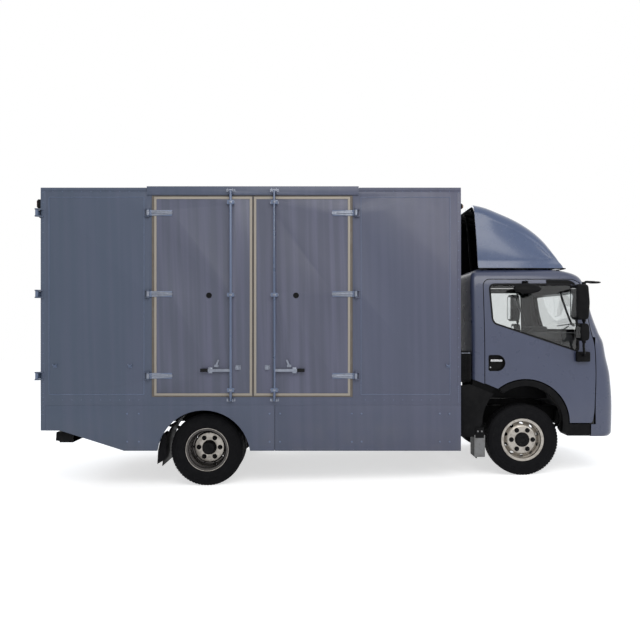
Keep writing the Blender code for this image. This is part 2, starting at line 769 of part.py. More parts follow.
def make_rear_portal(root):
    """The posts, header and sill that the rear doors close in, with the doors' hinge lugs."""
    outer = BOX_HALF_WIDTH
    x = (BOX_REAR, BOX_REAR + POST_WIDTH)
    portal = block("post", x, (-outer, -outer + POST_WIDTH), (POST_BOTTOM, BOX_TOP))
    pieces = [
        block("post", x, (outer - POST_WIDTH, outer), (POST_BOTTOM, BOX_TOP)),
        block("header", x, (-outer + 0.010, outer - 0.010), (REAR_HEADER_BOTTOM, BOX_TOP)),
        block("sill", x, (-outer + 0.010, outer - 0.010), (BOX_UNDER - 0.060, FLOOR_TOP)),
    ]
    for side in SIDES.values():
        pieces.extend(rear_hinge_lugs(side, z) for z in HINGE_HEIGHTS)
    for y in rear_rod_places():
        pieces.extend(rear_keepers(y))
    fuse(portal, *pieces)
    place(portal, "rear_portal", "box paint", root)


def side_hinge_lugs(x, way, z):
    """Two lugs on the right wall, with the pin that a strap's eye turns on. The door lies against the way."""
    face = -BOX_HALF_WIDTH
    axis_y = face - HINGE_OUT
    half = HINGE_STRAP_HEIGHT / 2
    outline = [(x + way * 0.042, face + 0.010), (x - way * 0.004, face + 0.010), (x - way * 0.004, axis_y + 0.002)]
    outline += arc((x, axis_y), HINGE_EYE_RADIUS, 180 if way > 0 else 0, 360 if way > 0 else -180, 2)
    outline += [(x + way * 0.042, face - 0.010)]
    lug = None
    for low in (z - half - HINGE_LUG_HEIGHT, z + half):
        made = prism("lug", "Z", outline, (low, low + HINGE_LUG_HEIGHT))
        lug = made if lug is None else fuse(lug, made)
    back = block("back", sorted((x + way * 0.030, x + way * 0.042)), (face - 0.008, face + 0.010), (z - half - 0.006, z + half + 0.006))
    pin = rod("pin", (x, axis_y, z - half - 0.008), (x, axis_y, z + half + 0.008), HINGE_PIN_RADIUS, 6)
    return fuse(lug, back, pin)


def side_rod_places():
    return SIDE_DOOR_SEAM - LOCK_ROD_INSET, SIDE_DOOR_SEAM + LOCK_ROD_INSET - 0.005


def side_keepers(x):
    """The open catches on the wall that a lock rod's two ends close into."""
    face = -BOX_HALF_WIDTH
    made = []
    for low, high in ((SIDE_DOOR_BOTTOM - 0.036, SIDE_DOOR_BOTTOM - 0.006), (SIDE_DOOR_TOP + 0.008, SIDE_DOOR_TOP + 0.034)):
        for way in (-1, 1):
            near = x + way * (LOCK_ROD_RADIUS + 0.006)
            made.append(block("keeper", sorted((near, near + way * 0.008)), (face - 0.040, face + 0.010), (low, high)))
    return made


def rear_hinge_lugs(side, z):
    """Two lugs round the rear corner of the box, with the pin of a rear door's hinge."""
    px, py = rear_pin_place(side)
    half = HINGE_STRAP_HEIGHT / 2
    outer = BOX_HALF_WIDTH
    outline = [
        (BOX_REAR + 0.030, side * (outer - 0.010)), (BOX_REAR + 0.030, side * (outer + 0.010)),
        (px + HINGE_EYE_RADIUS, py + side * HINGE_EYE_RADIUS), (px - HINGE_EYE_RADIUS, py + side * HINGE_EYE_RADIUS),
        (px - HINGE_EYE_RADIUS, py), (px, py - side * HINGE_EYE_RADIUS), (BOX_REAR + 0.004, side * (outer - 0.010)),
    ]
    lug = None
    for low in (z - half - HINGE_LUG_HEIGHT, z + half):
        made = prism("lug", "Z", outline, (low, low + HINGE_LUG_HEIGHT))
        lug = made if lug is None else fuse(lug, made)
    plate_y = sorted((side * (outer - 0.010), side * (outer + 0.006)))
    plate = block("plate", (BOX_REAR + 0.018, BOX_REAR + 0.034), plate_y, (z - half - 0.006, z + half + 0.006))
    pin = rod("pin", (px, py, z - half - 0.008), (px, py, z + half + 0.008), HINGE_PIN_RADIUS, 6)
    return fuse(lug, plate, pin)


def rear_pin_place(side):
    return BOX_REAR - HINGE_OUT, side * (BOX_HALF_WIDTH + HINGE_OUT)


def rear_rod_places():
    return [side * REAR_LOCK_ROD_Y for side in SIDES.values()]


def rear_keepers(y):
    made = []
    for low, high in ((FLOOR_TOP - 0.040, FLOOR_TOP - 0.010), (REAR_HEADER_BOTTOM + 0.010, REAR_HEADER_BOTTOM + 0.040)):
        for way in (-1, 1):
            near = y + way * (LOCK_ROD_RADIUS + 0.006)
            made.append(block("keeper", (BOX_REAR - 0.040, BOX_REAR + 0.010), sorted((near, near + way * 0.008)), (low, high)))
    return made


def make_side_door(name, way, parent):
    """One leaf of the side doorway, way -1 the rear one and 1 the front one, with its straps, rod and handle."""
    face = -BOX_HALF_WIDTH
    if way < 0:
        x = (SIDE_DOOR_REAR + DOOR_GAP, SIDE_DOOR_SEAM - DOOR_GAP / 2)
        pin_x = SIDE_DOOR_REAR - 0.032
    else:
        x = (SIDE_DOOR_SEAM + DOOR_GAP / 2, SIDE_DOOR_FRONT - DOOR_GAP)
        pin_x = SIDE_DOOR_FRONT + 0.032
    z = (SIDE_DOOR_BOTTOM + DOOR_GAP, SIDE_DOOR_TOP - DOOR_GAP)
    leaf = block("leaf", x, (face, face + BOX_WALL), z)
    pin_y = face - HINGE_OUT
    half = HINGE_STRAP_HEIGHT / 2 - PIN_CLEARANCE / 2
    bore = HINGE_PIN_RADIUS + PIN_CLEARANCE
    furniture = []
    for height in HINGE_HEIGHTS:
        ring = [(bore, -half), (HINGE_EYE_RADIUS, -half), (HINGE_EYE_RADIUS, half), (bore, half)]
        furniture.append(turned("eye", ring, 8, Matrix.Translation((pin_x, pin_y, height))))
        near = pin_x - way * (HINGE_EYE_RADIUS - 0.003)
        knee = pin_x - way * 0.046
        tip = pin_x - way * HINGE_STRAP_LENGTH
        thick = HINGE_STRAP_THICKNESS
        strap = [
            (near, pin_y - thick / 2), (near, pin_y + thick / 2), (knee, face + 0.004), (tip, face + 0.004),
            (tip, face - thick), (knee + way * 0.004, face - thick),
        ]
        furniture.append(prism("strap", "Z", strap, (height - half, height + half)))
    rod_x = side_rod_places()[0 if way < 0 else 1]
    rod_y = face - LOCK_ROD_OUT
    furniture.append(rod("lock rod", (rod_x, rod_y, LOCK_ROD_BOTTOM), (rod_x, rod_y, LOCK_ROD_TOP), LOCK_ROD_RADIUS, 8))
    for height in LOCK_GUIDE_HEIGHTS:
        furniture.append(block("guide", (rod_x - 0.034, rod_x + 0.034), (rod_y - 0.012, face + 0.004), (height - 0.020, height + 0.020)))
    lever = sorted((rod_x, rod_x + way * LOCK_HANDLE_LENGTH))
    furniture.append(block("lever", lever, (rod_y - 0.008, rod_y + 0.004), (LOCK_HANDLE_Z - 0.014, LOCK_HANDLE_Z + 0.014)))
    rest = sorted((rod_x + way * (LOCK_HANDLE_LENGTH - 0.120), rod_x + way * (LOCK_HANDLE_LENGTH - 0.080)))
    furniture.append(block("rest", rest, (rod_y - 0.006, face + 0.004), (LOCK_HANDLE_Z - 0.030, LOCK_HANDLE_Z + 0.030)))
    fuse(leaf, *furniture)
    place(leaf, name, "box paint", parent)


def make_rear_door(name, side, parent):
    """One rear leaf, with its straps round the corner post, two lock rods and their handles."""
    outer = BOX_HALF_WIDTH
    y = sorted((side * (outer - POST_WIDTH - DOOR_GAP), side * DOOR_GAP / 2))
    z = (FLOOR_TOP + DOOR_GAP, REAR_HEADER_BOTTOM - DOOR_GAP)
    leaf = block("leaf", (BOX_REAR, BOX_REAR + BOX_WALL), y, z)
    px, py = rear_pin_place(side)
    half = HINGE_STRAP_HEIGHT / 2 - PIN_CLEARANCE / 2
    bore = HINGE_PIN_RADIUS + PIN_CLEARANCE
    furniture = []
    for height in HINGE_HEIGHTS:
        ring = [(bore, -half), (HINGE_EYE_RADIUS, -half), (HINGE_EYE_RADIUS, half), (bore, half)]
        furniture.append(turned("eye", ring, 8, Matrix.Translation((px, py, height))))
        near = py - side * (HINGE_EYE_RADIUS - 0.003)
        knee = side * (outer - POST_WIDTH - DOOR_GAP - 0.004)
        tip = side * (outer - POST_WIDTH - HINGE_STRAP_LENGTH)
        thick = HINGE_STRAP_THICKNESS
        under = BOX_REAR - DOOR_GAP
        strap = [
            (px - thick / 2, near), (px + thick / 2, near), (under, knee + side * 0.024), (under, knee),
            (BOX_REAR + 0.004, knee), (BOX_REAR + 0.004, tip), (under - thick, tip), (under - thick, knee + side * 0.024),
        ]
        furniture.append(prism("strap", "Z", strap, (height - half, height + half)))
    rod_x = BOX_REAR - LOCK_ROD_OUT
    for rod_y in (side * REAR_LOCK_ROD_Y,):
        low, high = FLOOR_TOP - 0.040, REAR_HEADER_BOTTOM + 0.040
        furniture.append(rod("lock rod", (rod_x, rod_y, low), (rod_x, rod_y, high), LOCK_ROD_RADIUS, 8))
        for height in LOCK_GUIDE_HEIGHTS[:2] + (REAR_HEADER_BOTTOM - 0.060,):
            furniture.append(block("guide", (rod_x - 0.012, BOX_REAR + 0.004), (rod_y - 0.034, rod_y + 0.034), (height - 0.020, height + 0.020)))
        lever = sorted((rod_y, rod_y + side * LOCK_HANDLE_LENGTH * 0.7))
        lever_z = LOCK_HANDLE_Z
        furniture.append(block("lever", (rod_x - 0.008, rod_x + 0.004), lever, (lever_z - 0.014, lever_z + 0.014)))
        rest = sorted((rod_y + side * 0.150, rod_y + side * 0.190))
        furniture.append(block("rest", (rod_x - 0.006, BOX_REAR + 0.004), rest, (lever_z - 0.030, lever_z + 0.030)))
    fuse(leaf, *furniture)
    place(leaf, name, "box paint", parent)


# Skirts, guards and rear bar


def make_skirts(side_name, side, root):
    y = sorted((side * BOX_HALF_WIDTH, side * (BOX_HALF_WIDTH - SKIRT_THICKNESS)))
    top = BOX_UNDER - SEAT
    rear = BOX_REAR + POST_WIDTH + SEAT
    gap = 0.0015
    slope_start, slope_end = rear + 0.150, rear + 0.803
    outline = [(rear, top), (rear, SKIRT_REAR_BOTTOM), (slope_start, SKIRT_REAR_BOTTOM), (slope_end, SKIRT_BOTTOM)]
    drop = ARCH_CENTRE_Z - SKIRT_BOTTOM
    start = math.degrees(math.asin(-drop / ARCH_RADIUS))
    outline += arc((-0.018, ARCH_CENTRE_Z), ARCH_RADIUS, 180 - start, start, 20)
    outline += [(SKIRT_SEAM - gap, SKIRT_BOTTOM), (SKIRT_SEAM - gap, top)]
    place(prism("skirt", "Y", outline, y), f"{side_name}_rear_skirt", "box paint", root)
    x = (SKIRT_SEAM + gap, BOX_FRONT)
    place(block("skirt", x, y, (SKIRT_BOTTOM, top)), f"{side_name}_front_skirt", "box paint", root)


def make_rear_guard(name, side, root):
    """A mudguard over the twin wheels, hung on two tubes from the rail, with a flap behind the tyres."""
    centre = (0, REAR_AXLE_Z)
    outer = GUARD_RADIUS + GUARD_THICKNESS
    band = arc(centre, outer, 20, 160, 14) + arc(centre, GUARD_RADIUS, 160, 20, 14)
    y = sorted((side * GUARD_INNER_Y, side * (BOX_HALF_WIDTH - SKIRT_THICKNESS - GUARD_CLEARANCE)))
    guard = prism("guard", "Y", band, y)
    pieces = []
    for angle in (35, 145):
        spot = arc(centre, outer + 0.008, angle, angle, 1)[0]
        start = (spot[0], side * (RAIL_Y + SEAT), spot[1])
        pieces.append(rod("stay", start, (spot[0], side * 1.010, spot[1]), 0.014, 10))
    flap_x = centre[0] - outer * math.cos(math.radians(20))
    flap_top = centre[1] + outer * math.sin(math.radians(20))
    flap = [(flap_x - 0.001, flap_top + 0.004), (flap_x + 0.007, flap_top + 0.004), (flap_x - 0.035, 0.220), (flap_x - 0.045, 0.220)]
    pieces.append(prism("flap", "Y", flap, y))
    fuse(guard, *pieces)
    place(guard, name, "black plastic", root)


def make_front_guard(name, side, root):
    """The half of the front mudguard that stays on the chassis, with its side plate, flap and stay."""
    centre = (WHEELBASE + FRONT_ARCH_X, FRONT_ARCH_Z)
    radius, outer = FRONT_ARCH_RADIUS - 0.008, FRONT_ARCH_RADIUS
    band = arc(centre, outer, 137, 180, 6) + [(centre[0] - 0.510, 0.500), (centre[0] - 0.502, 0.500)]
    band += arc(centre, radius, 180, 137, 6)
    guard = prism("guard", "Y", band, sorted((side * 0.640, side * 0.930)))
    rim = arc(centre, (radius + outer) / 2, 137, 180, 6)
    rear = BOX_FRONT + 0.030
    plate = rim + [(centre[0] - 0.506, 0.501), (rear + 0.020, 0.501), (rear, 0.540), (rear, 1.040), (rear + 0.100, 1.050)]
    side_plate = prism("plate", "Y", plate, sorted((side * 0.922, side * 0.930)))
    flap_x = centre[0] - 0.506
    flap = [(flap_x - 0.004, 0.520), (flap_x + 0.004, 0.520), (flap_x + 0.006, 0.272), (flap_x - 0.002, 0.272)]
    flap_piece = prism("flap", "Y", flap, sorted((side * 0.660, side * 0.915)))
    stay_x = centre[0] - 0.470
    stay = rod("stay", (stay_x, side * (RAIL_Y + SEAT), 0.620), (stay_x, side * 0.900, 0.620), 0.014, 10)
    web = [(stay_x - 0.010, 0.610), (stay_x + 0.012, 0.620), (centre[0] - 0.445, 0.640), (centre[0] - 0.453, 0.650)]
    bracket = prism("bracket", "Y", web, sorted((side * 0.700, side * 0.880)))
    fuse(guard, side_plate, flap_piece, stay, bracket)
    place(guard, name, "black plastic", root)


def make_underrun(root):
    x = (UNDERRUN_FRONT - UNDERRUN_DEPTH, UNDERRUN_FRONT)
    z = (UNDERRUN_BOTTOM, UNDERRUN_BOTTOM + UNDERRUN_HEIGHT)
    wide = UNDERRUN_HALF_WIDTH
    thin = 0.006
    section = [
        (x[0], z[0]), (x[1], z[0]), (x[1], z[0] + thin), (x[0] + thin, z[0] + thin),
        (x[0] + thin, z[1] - thin), (x[1], z[1] - thin), (x[1], z[1]), (x[0], z[1]),
    ]
    bar = prism("bar", "Y", section, (-wide, wide))
    arms = [
        block("arm", (x[0] + 0.002, x[1] - 0.020), sorted((s * (RAIL_Y - 0.050), s * RAIL_Y)), (z[1] - 0.004, RAIL_BOTTOM - SEAT))
        for s in SIDES.values()
    ]
    caps = [block("cap", (x[0], x[1]), sorted((s * wide, s * (wide - 0.012))), z) for s in SIDES.values()]
    fuse(bar, *arms, *caps)
    place(bar, "underrun_bar", "black steel", root)


def make_tail_lamp(name, side, root):
    x_face = UNDERRUN_FRONT - UNDERRUN_DEPTH - SEAT
    y = sorted((side * 0.640, side * 0.960))
    outline = [
        (x_face, UNDERRUN_BOTTOM + 0.004), (x_face, UNDERRUN_BOTTOM + UNDERRUN_HEIGHT - 0.004),
        (x_face - 0.050, UNDERRUN_BOTTOM + UNDERRUN_HEIGHT - 0.010), (x_face - 0.056, UNDERRUN_BOTTOM + 0.012),
    ]
    place(prism("lamp", "Y", outline, y), name, "red lamp", root)


def make_junction_box(root):
    """The black box behind the cab where the cables from the chassis meet, on a bracket from the right rail."""
    x = (BOX_FRONT + 0.022, BOX_FRONT + 0.142)
    soft = 0.030
    outer, inner = JUNCTION_BOX_IN - BOX_HALF_WIDTH, JUNCTION_BOX_IN + JUNCTION_BOX_WIDTH - BOX_HALF_WIDTH
    low, high = JUNCTION_BOX_BOTTOM, JUNCTION_BOX_BOTTOM + JUNCTION_BOX_HEIGHT
    section = [
        (outer, low + soft), (outer + soft, low), (inner - 0.010, low), (inner, low + 0.010), (inner, high - soft),
        (inner - soft, high), (outer + soft, high), (outer, high - soft),
    ]
    box = prism("box", "X", section, x)
    post_x = (x[0] + 0.030, x[0] + 0.070)
    post = block("post", post_x, (inner - 0.090, inner - 0.040), (RAIL_TOP + SEAT, low + 0.020))
    arm = block("arm", post_x, (inner - 0.070, RAIL_FLANGE - RAIL_Y - 0.020), (RAIL_TOP + SEAT, RAIL_TOP + 0.040))
    fuse(box, post, arm)
    place(box, "junction_box", "black plastic", root)


# Cab


def cab_section(level, inset):
    """One level of the cab in plan: round rear and front corners, and a bowed front."""
    z, half, front, rounding = level
    half -= inset
    rear = CAB_REAR + rounding + inset
    corner = CAB_CORNER - inset
    centre_x = WHEELBASE + front - CAB_CORNER * math.cos(math.radians(CAB_SILHOUETTE_ANGLE))
    rear_corner = max(CAB_REAR_CORNER - inset, 0.004)
    right = arc((rear + rear_corner, rear_corner - half), rear_corner, 180, 270, 2)
    right += arc((centre_x, corner - half), corner, 270, 360 - CAB_FACE_ANGLE, 4)
    end_x, end_y = right[-1]
    bow = -end_y * math.tan(math.radians(CAB_FACE_ANGLE)) / 2
    right += [(end_x + bow * (1 - share * share), end_y * share) for share in (0.6,)]
    nose = [(end_x + bow, 0)]
    left = [(x, -y) for x, y in reversed(right)]
    return [(x, y, z) for x, y in right + nose + left]


def cab_form(name, inset):
    """The cab's outer shape, or the same shape inside its skin."""
    knee = 2.060
    sections = []
    for z, half, front, rounding in CAB_LEVELS:
        share = max(0, (z - knee) / (CAB_TOP - knee))
        sections.append(cab_section((z - inset * share, half, front, rounding), inset))
    first, last = CAB_LEVELS[0], sections[-1]
    if inset:
        sections.insert(0, cab_section((first[0] - 0.1, *first[1:]), inset))
    return loft(name, sections)


def cab_skin(name, outer, inner):
    return cut(cab_form(name, outer), cab_form("inner", inner))


def arch_outline(radius, start, end, steps):
    return arc((WHEELBASE + FRONT_ARCH_X, FRONT_ARCH_Z), radius, start, end, steps)


def door_outline():
    """The cab door's shut line seen from the side, from its lower rear corner clockwise."""
    front = WHEELBASE
    arch = arch_outline(FRONT_ARCH_RADIUS + 0.004, 0, 129, 8)
    outline = [(DOOR_REAR, arch[-1][1] + (arch[-1][0] - DOOR_REAR) * 0.416)]
    outline += arc((DOOR_REAR + 0.070, DOOR_TOP - 0.070), 0.070, 180, 90, 4)
    outline += [
        (front + 0.520, DOOR_TOP), (front + 0.585, DOOR_TOP - 0.028), (front + 0.625, 2.070), (front + 0.697, 1.630),
        (front + 0.735, 1.465), (front + 0.746, 1.280), (front + 0.747, 1.087), (front + 0.735, 0.769),
        (front + 0.722, 0.680), (front + 0.700, DOOR_BOTTOM),
    ]
    return outline + arch


def window_outline():
    front = WHEELBASE
    rear = DOOR_REAR + 0.069
    outline = [(rear + 0.044, 1.690), (rear + 0.021, 1.730), (rear, 2.060), (rear + 0.012, 2.090), (rear + 0.040, 2.100)]
    outline += [(front + 0.480, 2.100), (front + 0.515, 2.085), (front + 0.537, 2.050), (front + 0.564, 1.600)]
    return outline + [(front + 0.564, 1.425), (front + 0.552, 1.403)]


def windscreen_outline(grow):
    half = [(0.800, 1.600), (0.815, 1.625), (0.780, 2.020), (0.755, 2.050)]
    outline = [(-y, z) for y, z in half] + [(y, z) for y, z in reversed(half)]
    return grown(outline, grow)


def side_span(side):
    return sorted((side * 0.5, side * 1.5))


def make_cab_shell(parent):
    shell = cab_skin("cab", 0, CAB_WALL)
    rear, front = CAB_REAR, WHEELBASE
    low = CAB_LEVELS[0][0] - 0.2
    under = [(rear - 0.1, low), (rear - 0.1, CAB_REAR_SILL), (rear + 0.014, CAB_REAR_SILL)]
    under += arch_outline(FRONT_ARCH_RADIUS + 0.006, 129, 92, 4)
    under += [(front + 0.6, CAB_SEAM + 0.0005), (front + 1.2, CAB_SEAM + 0.0005), (front + 1.2, low)]
    back = block("back", (rear - 0.1, rear + CAB_WALL + 0.060), (-0.870, 0.870), (low, CAB_DECK_Z))
    cut(shell, prism("under", "Y", under, (-1.5, 1.5)), back)
    doorway = grown(door_outline(), SHUT_GAP / 2)
    cutters = [prism("doorway", "Y", doorway, side_span(side)) for side in SIDES.values()]
    for side in SIDES.values():
        x, y = WHEELBASE + DOOR_PIVOT_X, side * DOOR_PIVOT_Y
        cutters.append(rod("relief", (x, y, 0.4), (x, y, 1.560), 0.041, 12))
    cutters.append(prism("windscreen", "X", windscreen_outline(0.002), (front + 0.45, front + 1.5)))
    cut(shell, *cutters)
    fuse(shell, *cab_floor_pieces())
    pivot_x, pivot_z = front + CAB_PIVOT_X, CAB_PIVOT_Z
    tube = rod("tube", (pivot_x, -0.500, pivot_z), (pivot_x, 0.500, pivot_z), CAB_PIVOT_RADIUS, 12)
    arms = [
        block("arm", (pivot_x - 0.035, pivot_x + 0.035), sorted((s * 0.460, s * 0.495)), (pivot_z - 0.030, CAB_FOOTWELL_Z + 0.010))
        for s in SIDES.values()
    ]
    hinges = [door_hinge(side, z) for side in SIDES.values() for z in DOOR_HINGE_HEIGHTS]
    fuse(shell, tube, *arms, *hinges)
    place(shell, "cab_shell", "cab paint", parent)


def cab_floor_pieces():
    """The deck under the seats, the footwell ahead of it, and the wall between the footwell and the nose."""
    front = WHEELBASE
    thick = CAB_FLOOR_THICKNESS
    riser = front + CAB_RISER_X
    wide = 0.855
    deck_x = (CAB_REAR + CAB_WALL * 0.5, riser + thick)
    deck = block("deck", deck_x, (-wide, wide), (CAB_DECK_Z, CAB_DECK_Z + thick))
    step = block("riser", (riser, riser + thick), (-wide, wide), (CAB_FOOTWELL_Z, CAB_DECK_Z + thick))
    nose = front + 0.860
    well = block("well", (riser, nose), (-wide + 0.030, wide - 0.030), (CAB_FOOTWELL_Z, CAB_FOOTWELL_Z + thick))
    bulkhead = block("bulkhead", (nose - thick, nose), (-wide + 0.030, wide - 0.030), (CAB_FOOTWELL_Z, SHELF_TOP))
    shelf = keep(
        cab_form("shelf", 0.020),
        block("slice", (nose - thick, nose + 0.5), (-1, 1), (CAB_SEAM + 0.004, SHELF_TOP)),
    )
    return deck, step, well, bulkhead, shelf


def door_hinge(side, z):
    """A bracket from the bulkhead to the door's axis, with the pin that the door turns on."""
    x, y = WHEELBASE + DOOR_PIVOT_X, DOOR_PIVOT_Y
    radius, half = DOOR_HINGE_RADIUS, DOOR_HINGE_THICKNESS / 2
    outline = [(x + radius, 0.850), (x + 0.120, 0.815), (x + 0.120, 0.785), (x - radius, 0.800)]
    outline += arc((x, y), radius, 180, 0, 4)
    bracket = prism("bracket", "Z", [(a, side * b) for a, b in outline], (z - half, z + half))
    reach = DOOR_PIN_LENGTH / 2
    pin = rod("pin", (x, side * y, z - reach), (x, side * y, z + reach), DOOR_PIN_RADIUS)
    return fuse(bracket, pin)


def door_hinge_room(side, z):
    """What the door leaves open round a hinge: a pocket behind its outer skin, and a bore for the pin."""
    x, y = WHEELBASE + DOOR_PIVOT_X, DOOR_PIVOT_Y
    room = DOOR_HINGE_RADIUS + 0.0015
    half = DOOR_HINGE_THICKNESS / 2 + 0.004
    pocket = block("pocket", (x - room, x + 0.100), sorted((side * 0.850, side * (y + room))), (z - half, z + half))
    reach = DOOR_PIN_LENGTH / 2 + 0.004
    bore = rod("bore", (x, side * y, z - reach), (x, side * y, z + reach), DOOR_PIN_RADIUS + PIN_CLEARANCE)
    return fuse(pocket, bore)


def make_windscreen(parent):
    glass = cab_skin("glass", GLASS_INSET, GLASS_INSET + GLASS_THICKNESS)
    keep(glass, prism("edge", "X", windscreen_outline(0.0015), (WHEELBASE + 0.45, WHEELBASE + 1.5)))
    place(glass, "windscreen", "glass", parent)


def make_bumper(parent):
    bumper = cab_skin("bumper", 0, CAB_WALL)
    front = WHEELBASE
    low = CAB_LEVELS[0][0]
    shut = [point for point in door_outline() if front + 0.65 < point[0] and point[1] < CAB_SEAM]
    region = [(front + 1.2, CAB_SEAM), (front + 0.747 + SHUT_GAP / 2, CAB_SEAM)]
    region += [(x + SHUT_GAP * 0.6, z) for x, z in shut[:-1]]
    region += [(front + 0.699, DOOR_BOTTOM - 0.006), (front + 0.699, low - 0.1), (front + 1.2, low - 0.1)]
    keep(bumper, prism("region", "Y", region, (-1.5, 1.5)))
    reliefs = []
    for side in SIDES.values():
        x, y = WHEELBASE + DOOR_PIVOT_X, side * DOOR_PIVOT_Y
        reliefs.append(rod("relief", (x, y, DOOR_BOTTOM - 0.010), (x, y, 1.560), 0.041, 12))
    cut(bumper, *reliefs)
    pockets = [headlamp_pocket(side, 0.0005) for side in SIDES.values()]
    cut(bumper, *pockets)
    place(bumper, "front_bumper", "cab paint", parent)


def headlamp_pocket(side, grow):
    y = sorted((side * (HEADLAMP_Y[0] - grow), side * (HEADLAMP_Y[1] + grow)))
    z = (HEADLAMP_Z[0] - grow, HEADLAMP_Z[1] + grow)
    return block("pocket", (WHEELBASE + 0.80, WHEELBASE + 1.5), y, z)


def make_headlamp(name, side, parent):
    lamp = cab_skin("lamp", 0.001, CAB_WALL + 0.015)
    keep(lamp, headlamp_pocket(side, 0))
    place(lamp, name, "lamp", parent)


def make_step(name, side, parent):
    """The black boarding step below the door, and the flare round the wheel arch that grows out of it."""
    front = WHEELBASE
    y_out = 0.940
    x = (front + 0.4180, front + 0.6965)
    top = DOOR_BOTTOM - 0.008
    low = CAB_LEVELS[0][0] + 0.005
    soft = 0.035
    outline = [(x[0] + soft, low), (x[1], low), (x[1], top), (x[0] + 0.006, top), (x[0], low + soft * 1.4)]
    step = prism("step", "Y", outline, sorted((side * 0.740, side * y_out)))
    radius = FRONT_ARCH_RADIUS - 0.003
    band = arch_outline(radius, -14, 127, 12) + arch_outline(radius - FLARE_WIDTH, 127, -14, 12)
    flare = prism("flare", "Y", band, sorted((side * 0.860, side * 0.956)))
    bracket = block(
        "bracket",
        (front + 0.480, front + 0.640),
        sorted((side * 0.745, side * 0.840)),
        (top - 0.010, CAB_FOOTWELL_Z - SEAT),
    )
    fuse(step, flare, bracket)
    place(step, name, "black plastic", parent)


def make_cab_door(name, side, parent):
    door = cab_skin("door", 0, CAB_WALL)
    keep(door, prism("region", "Y", grown(door_outline(), -SHUT_GAP / 2), side_span(side)))
    window = prism("window", "Y", grown(window_outline(), 0.0005), side_span(side))
    recess_x = (DOOR_REAR + 0.043, DOOR_REAR + 0.210)
    depth = CAB_LEVELS[3][1] - 0.026
    recess = prism(
        "recess",
        "Y",
        [(recess_x[0], 1.205), (recess_x[0], 1.345), (recess_x[0] + 0.010, 1.355)]
        + arc((recess_x[1] - 0.080, 1.275), 0.080, 90, -90, 8)
        + [(recess_x[0] + 0.010, 1.195)],
        sorted((side * depth, side * 1.2)),
    )
    cut(door, window, recess, *[door_hinge_room(side, z) for z in DOOR_HINGE_HEIGHTS])
    pull_z = 1.300
    pull = block("pull", (recess_x[0] + 0.022, recess_x[1] - 0.028), sorted((side * (depth - 0.004), side * (depth + 0.022))), (pull_z - 0.012, pull_z + 0.012))
    fuse(door, pull)
    place(door, name, "cab paint", parent)


def make_door_glass(name, side, parent):
    glass = cab_skin("glass", GLASS_INSET, GLASS_INSET + GLASS_THICKNESS)
    keep(glass, prism("edge", "Y", window_outline(), side_span(side)))
    place(glass, name, "glass", parent)


def make_mirror(name, side, parent):
    """The mirror arm on the door, with its main and wide heads and the look-down mirror on the long arm."""
    front = WHEELBASE
    base_in = 0.9496
    base = block("base", (front + 0.530, front + 0.672), sorted((side * base_in, side * 1.000)), (1.290, 1.395))
    post_x, post_y = front + 0.560, 1.100
    elbow = rod("elbow", (front + 0.600, side * 0.985, 1.360), (post_x, side * post_y, 1.470), 0.016)
    post = rod("post", (post_x, side * post_y, 1.462), (post_x, side * post_y, 2.118), 0.014)
    main = prism(
        "main",
        "Y",
        [(post_x - 0.105, 1.740), (post_x - 0.085, 1.723), (post_x + 0.010, 1.730), (post_x + 0.022, 1.900),
         (post_x + 0.006, 2.080), (post_x - 0.095, 2.087), (post_x - 0.112, 2.060)],
        sorted((side * 1.030, side * 1.210)),
    )
    wide = prism(
        "wide",
        "Y",
        [(post_x - 0.060, 1.520), (post_x - 0.050, 1.510), (post_x + 0.020, 1.516), (post_x + 0.026, 1.600),
         (post_x + 0.016, 1.686), (post_x - 0.054, 1.690), (post_x - 0.064, 1.675)],
        sorted((side * 1.040, side * 1.190)),
    )
    arm = rod("arm", (post_x, side * post_y, 2.108), (front + 0.690, side * 1.050, 2.112), 0.009, 8)
    down = turned(
        "look-down",
        [(0, 0), (0.050, 0.002), (0.060, 0.010), (0.045, 0.020), (0, 0.024)],
        10,
        Matrix.Translation((front + 0.690, side * 1.050, 2.098)),
    )
    fuse(base, elbow, post, main, wide, arm, down)
    place(base, name, "black plastic", parent)


def make_kerb_mirror(parent):
    """The oval mirror over the right door that shows the kerb."""
    x, y, z = DOOR_REAR + 0.440, -1.020, 2.075
    frame = Matrix.Translation((x, y, z)) @ Matrix.Rotation(math.radians(64), 4, "X") @ Matrix.Diagonal((1, 0.62, 1, 1))
    head = turned("head", [(0, -0.022), (0.090, -0.020), (0.128, 0.000), (0.110, 0.018), (0, 0.030)], 12, frame)
    skin_y = -0.8830
    foot = cut(block("foot", (x - 0.030, x + 0.030), (skin_y - 0.018, skin_y + 0.020), (2.106, 2.134)), cab_form("skin", -SEAT))
    arm = rod("arm", (x, skin_y - 0.010, 2.118), (x, y + 0.010, 2.090), 0.009, 8)
    fuse(head, foot, arm)
    place(head, "kerb_mirror", "black plastic", parent)


def deflector_section(station, inset, back):
    """One cross-section of the deflector, a round-shouldered arch. The rear ones lean back towards their foot."""
    ahead, top, foot_half, top_half = station
    foot = CAB_TOP + 0.008 - (0.2 if inset else 0)
    top -= inset
    foot_half -= inset
    top_half -= inset
    shoulder = min(DEFLECTOR_SHOULDER - inset, (top - foot) * 0.6)
    lean = DEFLECTOR_LEAN * max(0, 1 - ahead / 0.4)
    rear = CAB_REAR + DEFLECTOR_REAR_IN - back
    half = [(foot_half, foot)]
    half += arc((top_half - shoulder, top - shoulder), shoulder, 0, 90, 5)
    outline = [(y, z) for y, z in half] + [(-y, z) for y, z in reversed(half)]
    return [(rear + ahead + lean * (DEFLECTOR_STATIONS[0][1] - z) / 0.6, y, z) for y, z in outline]


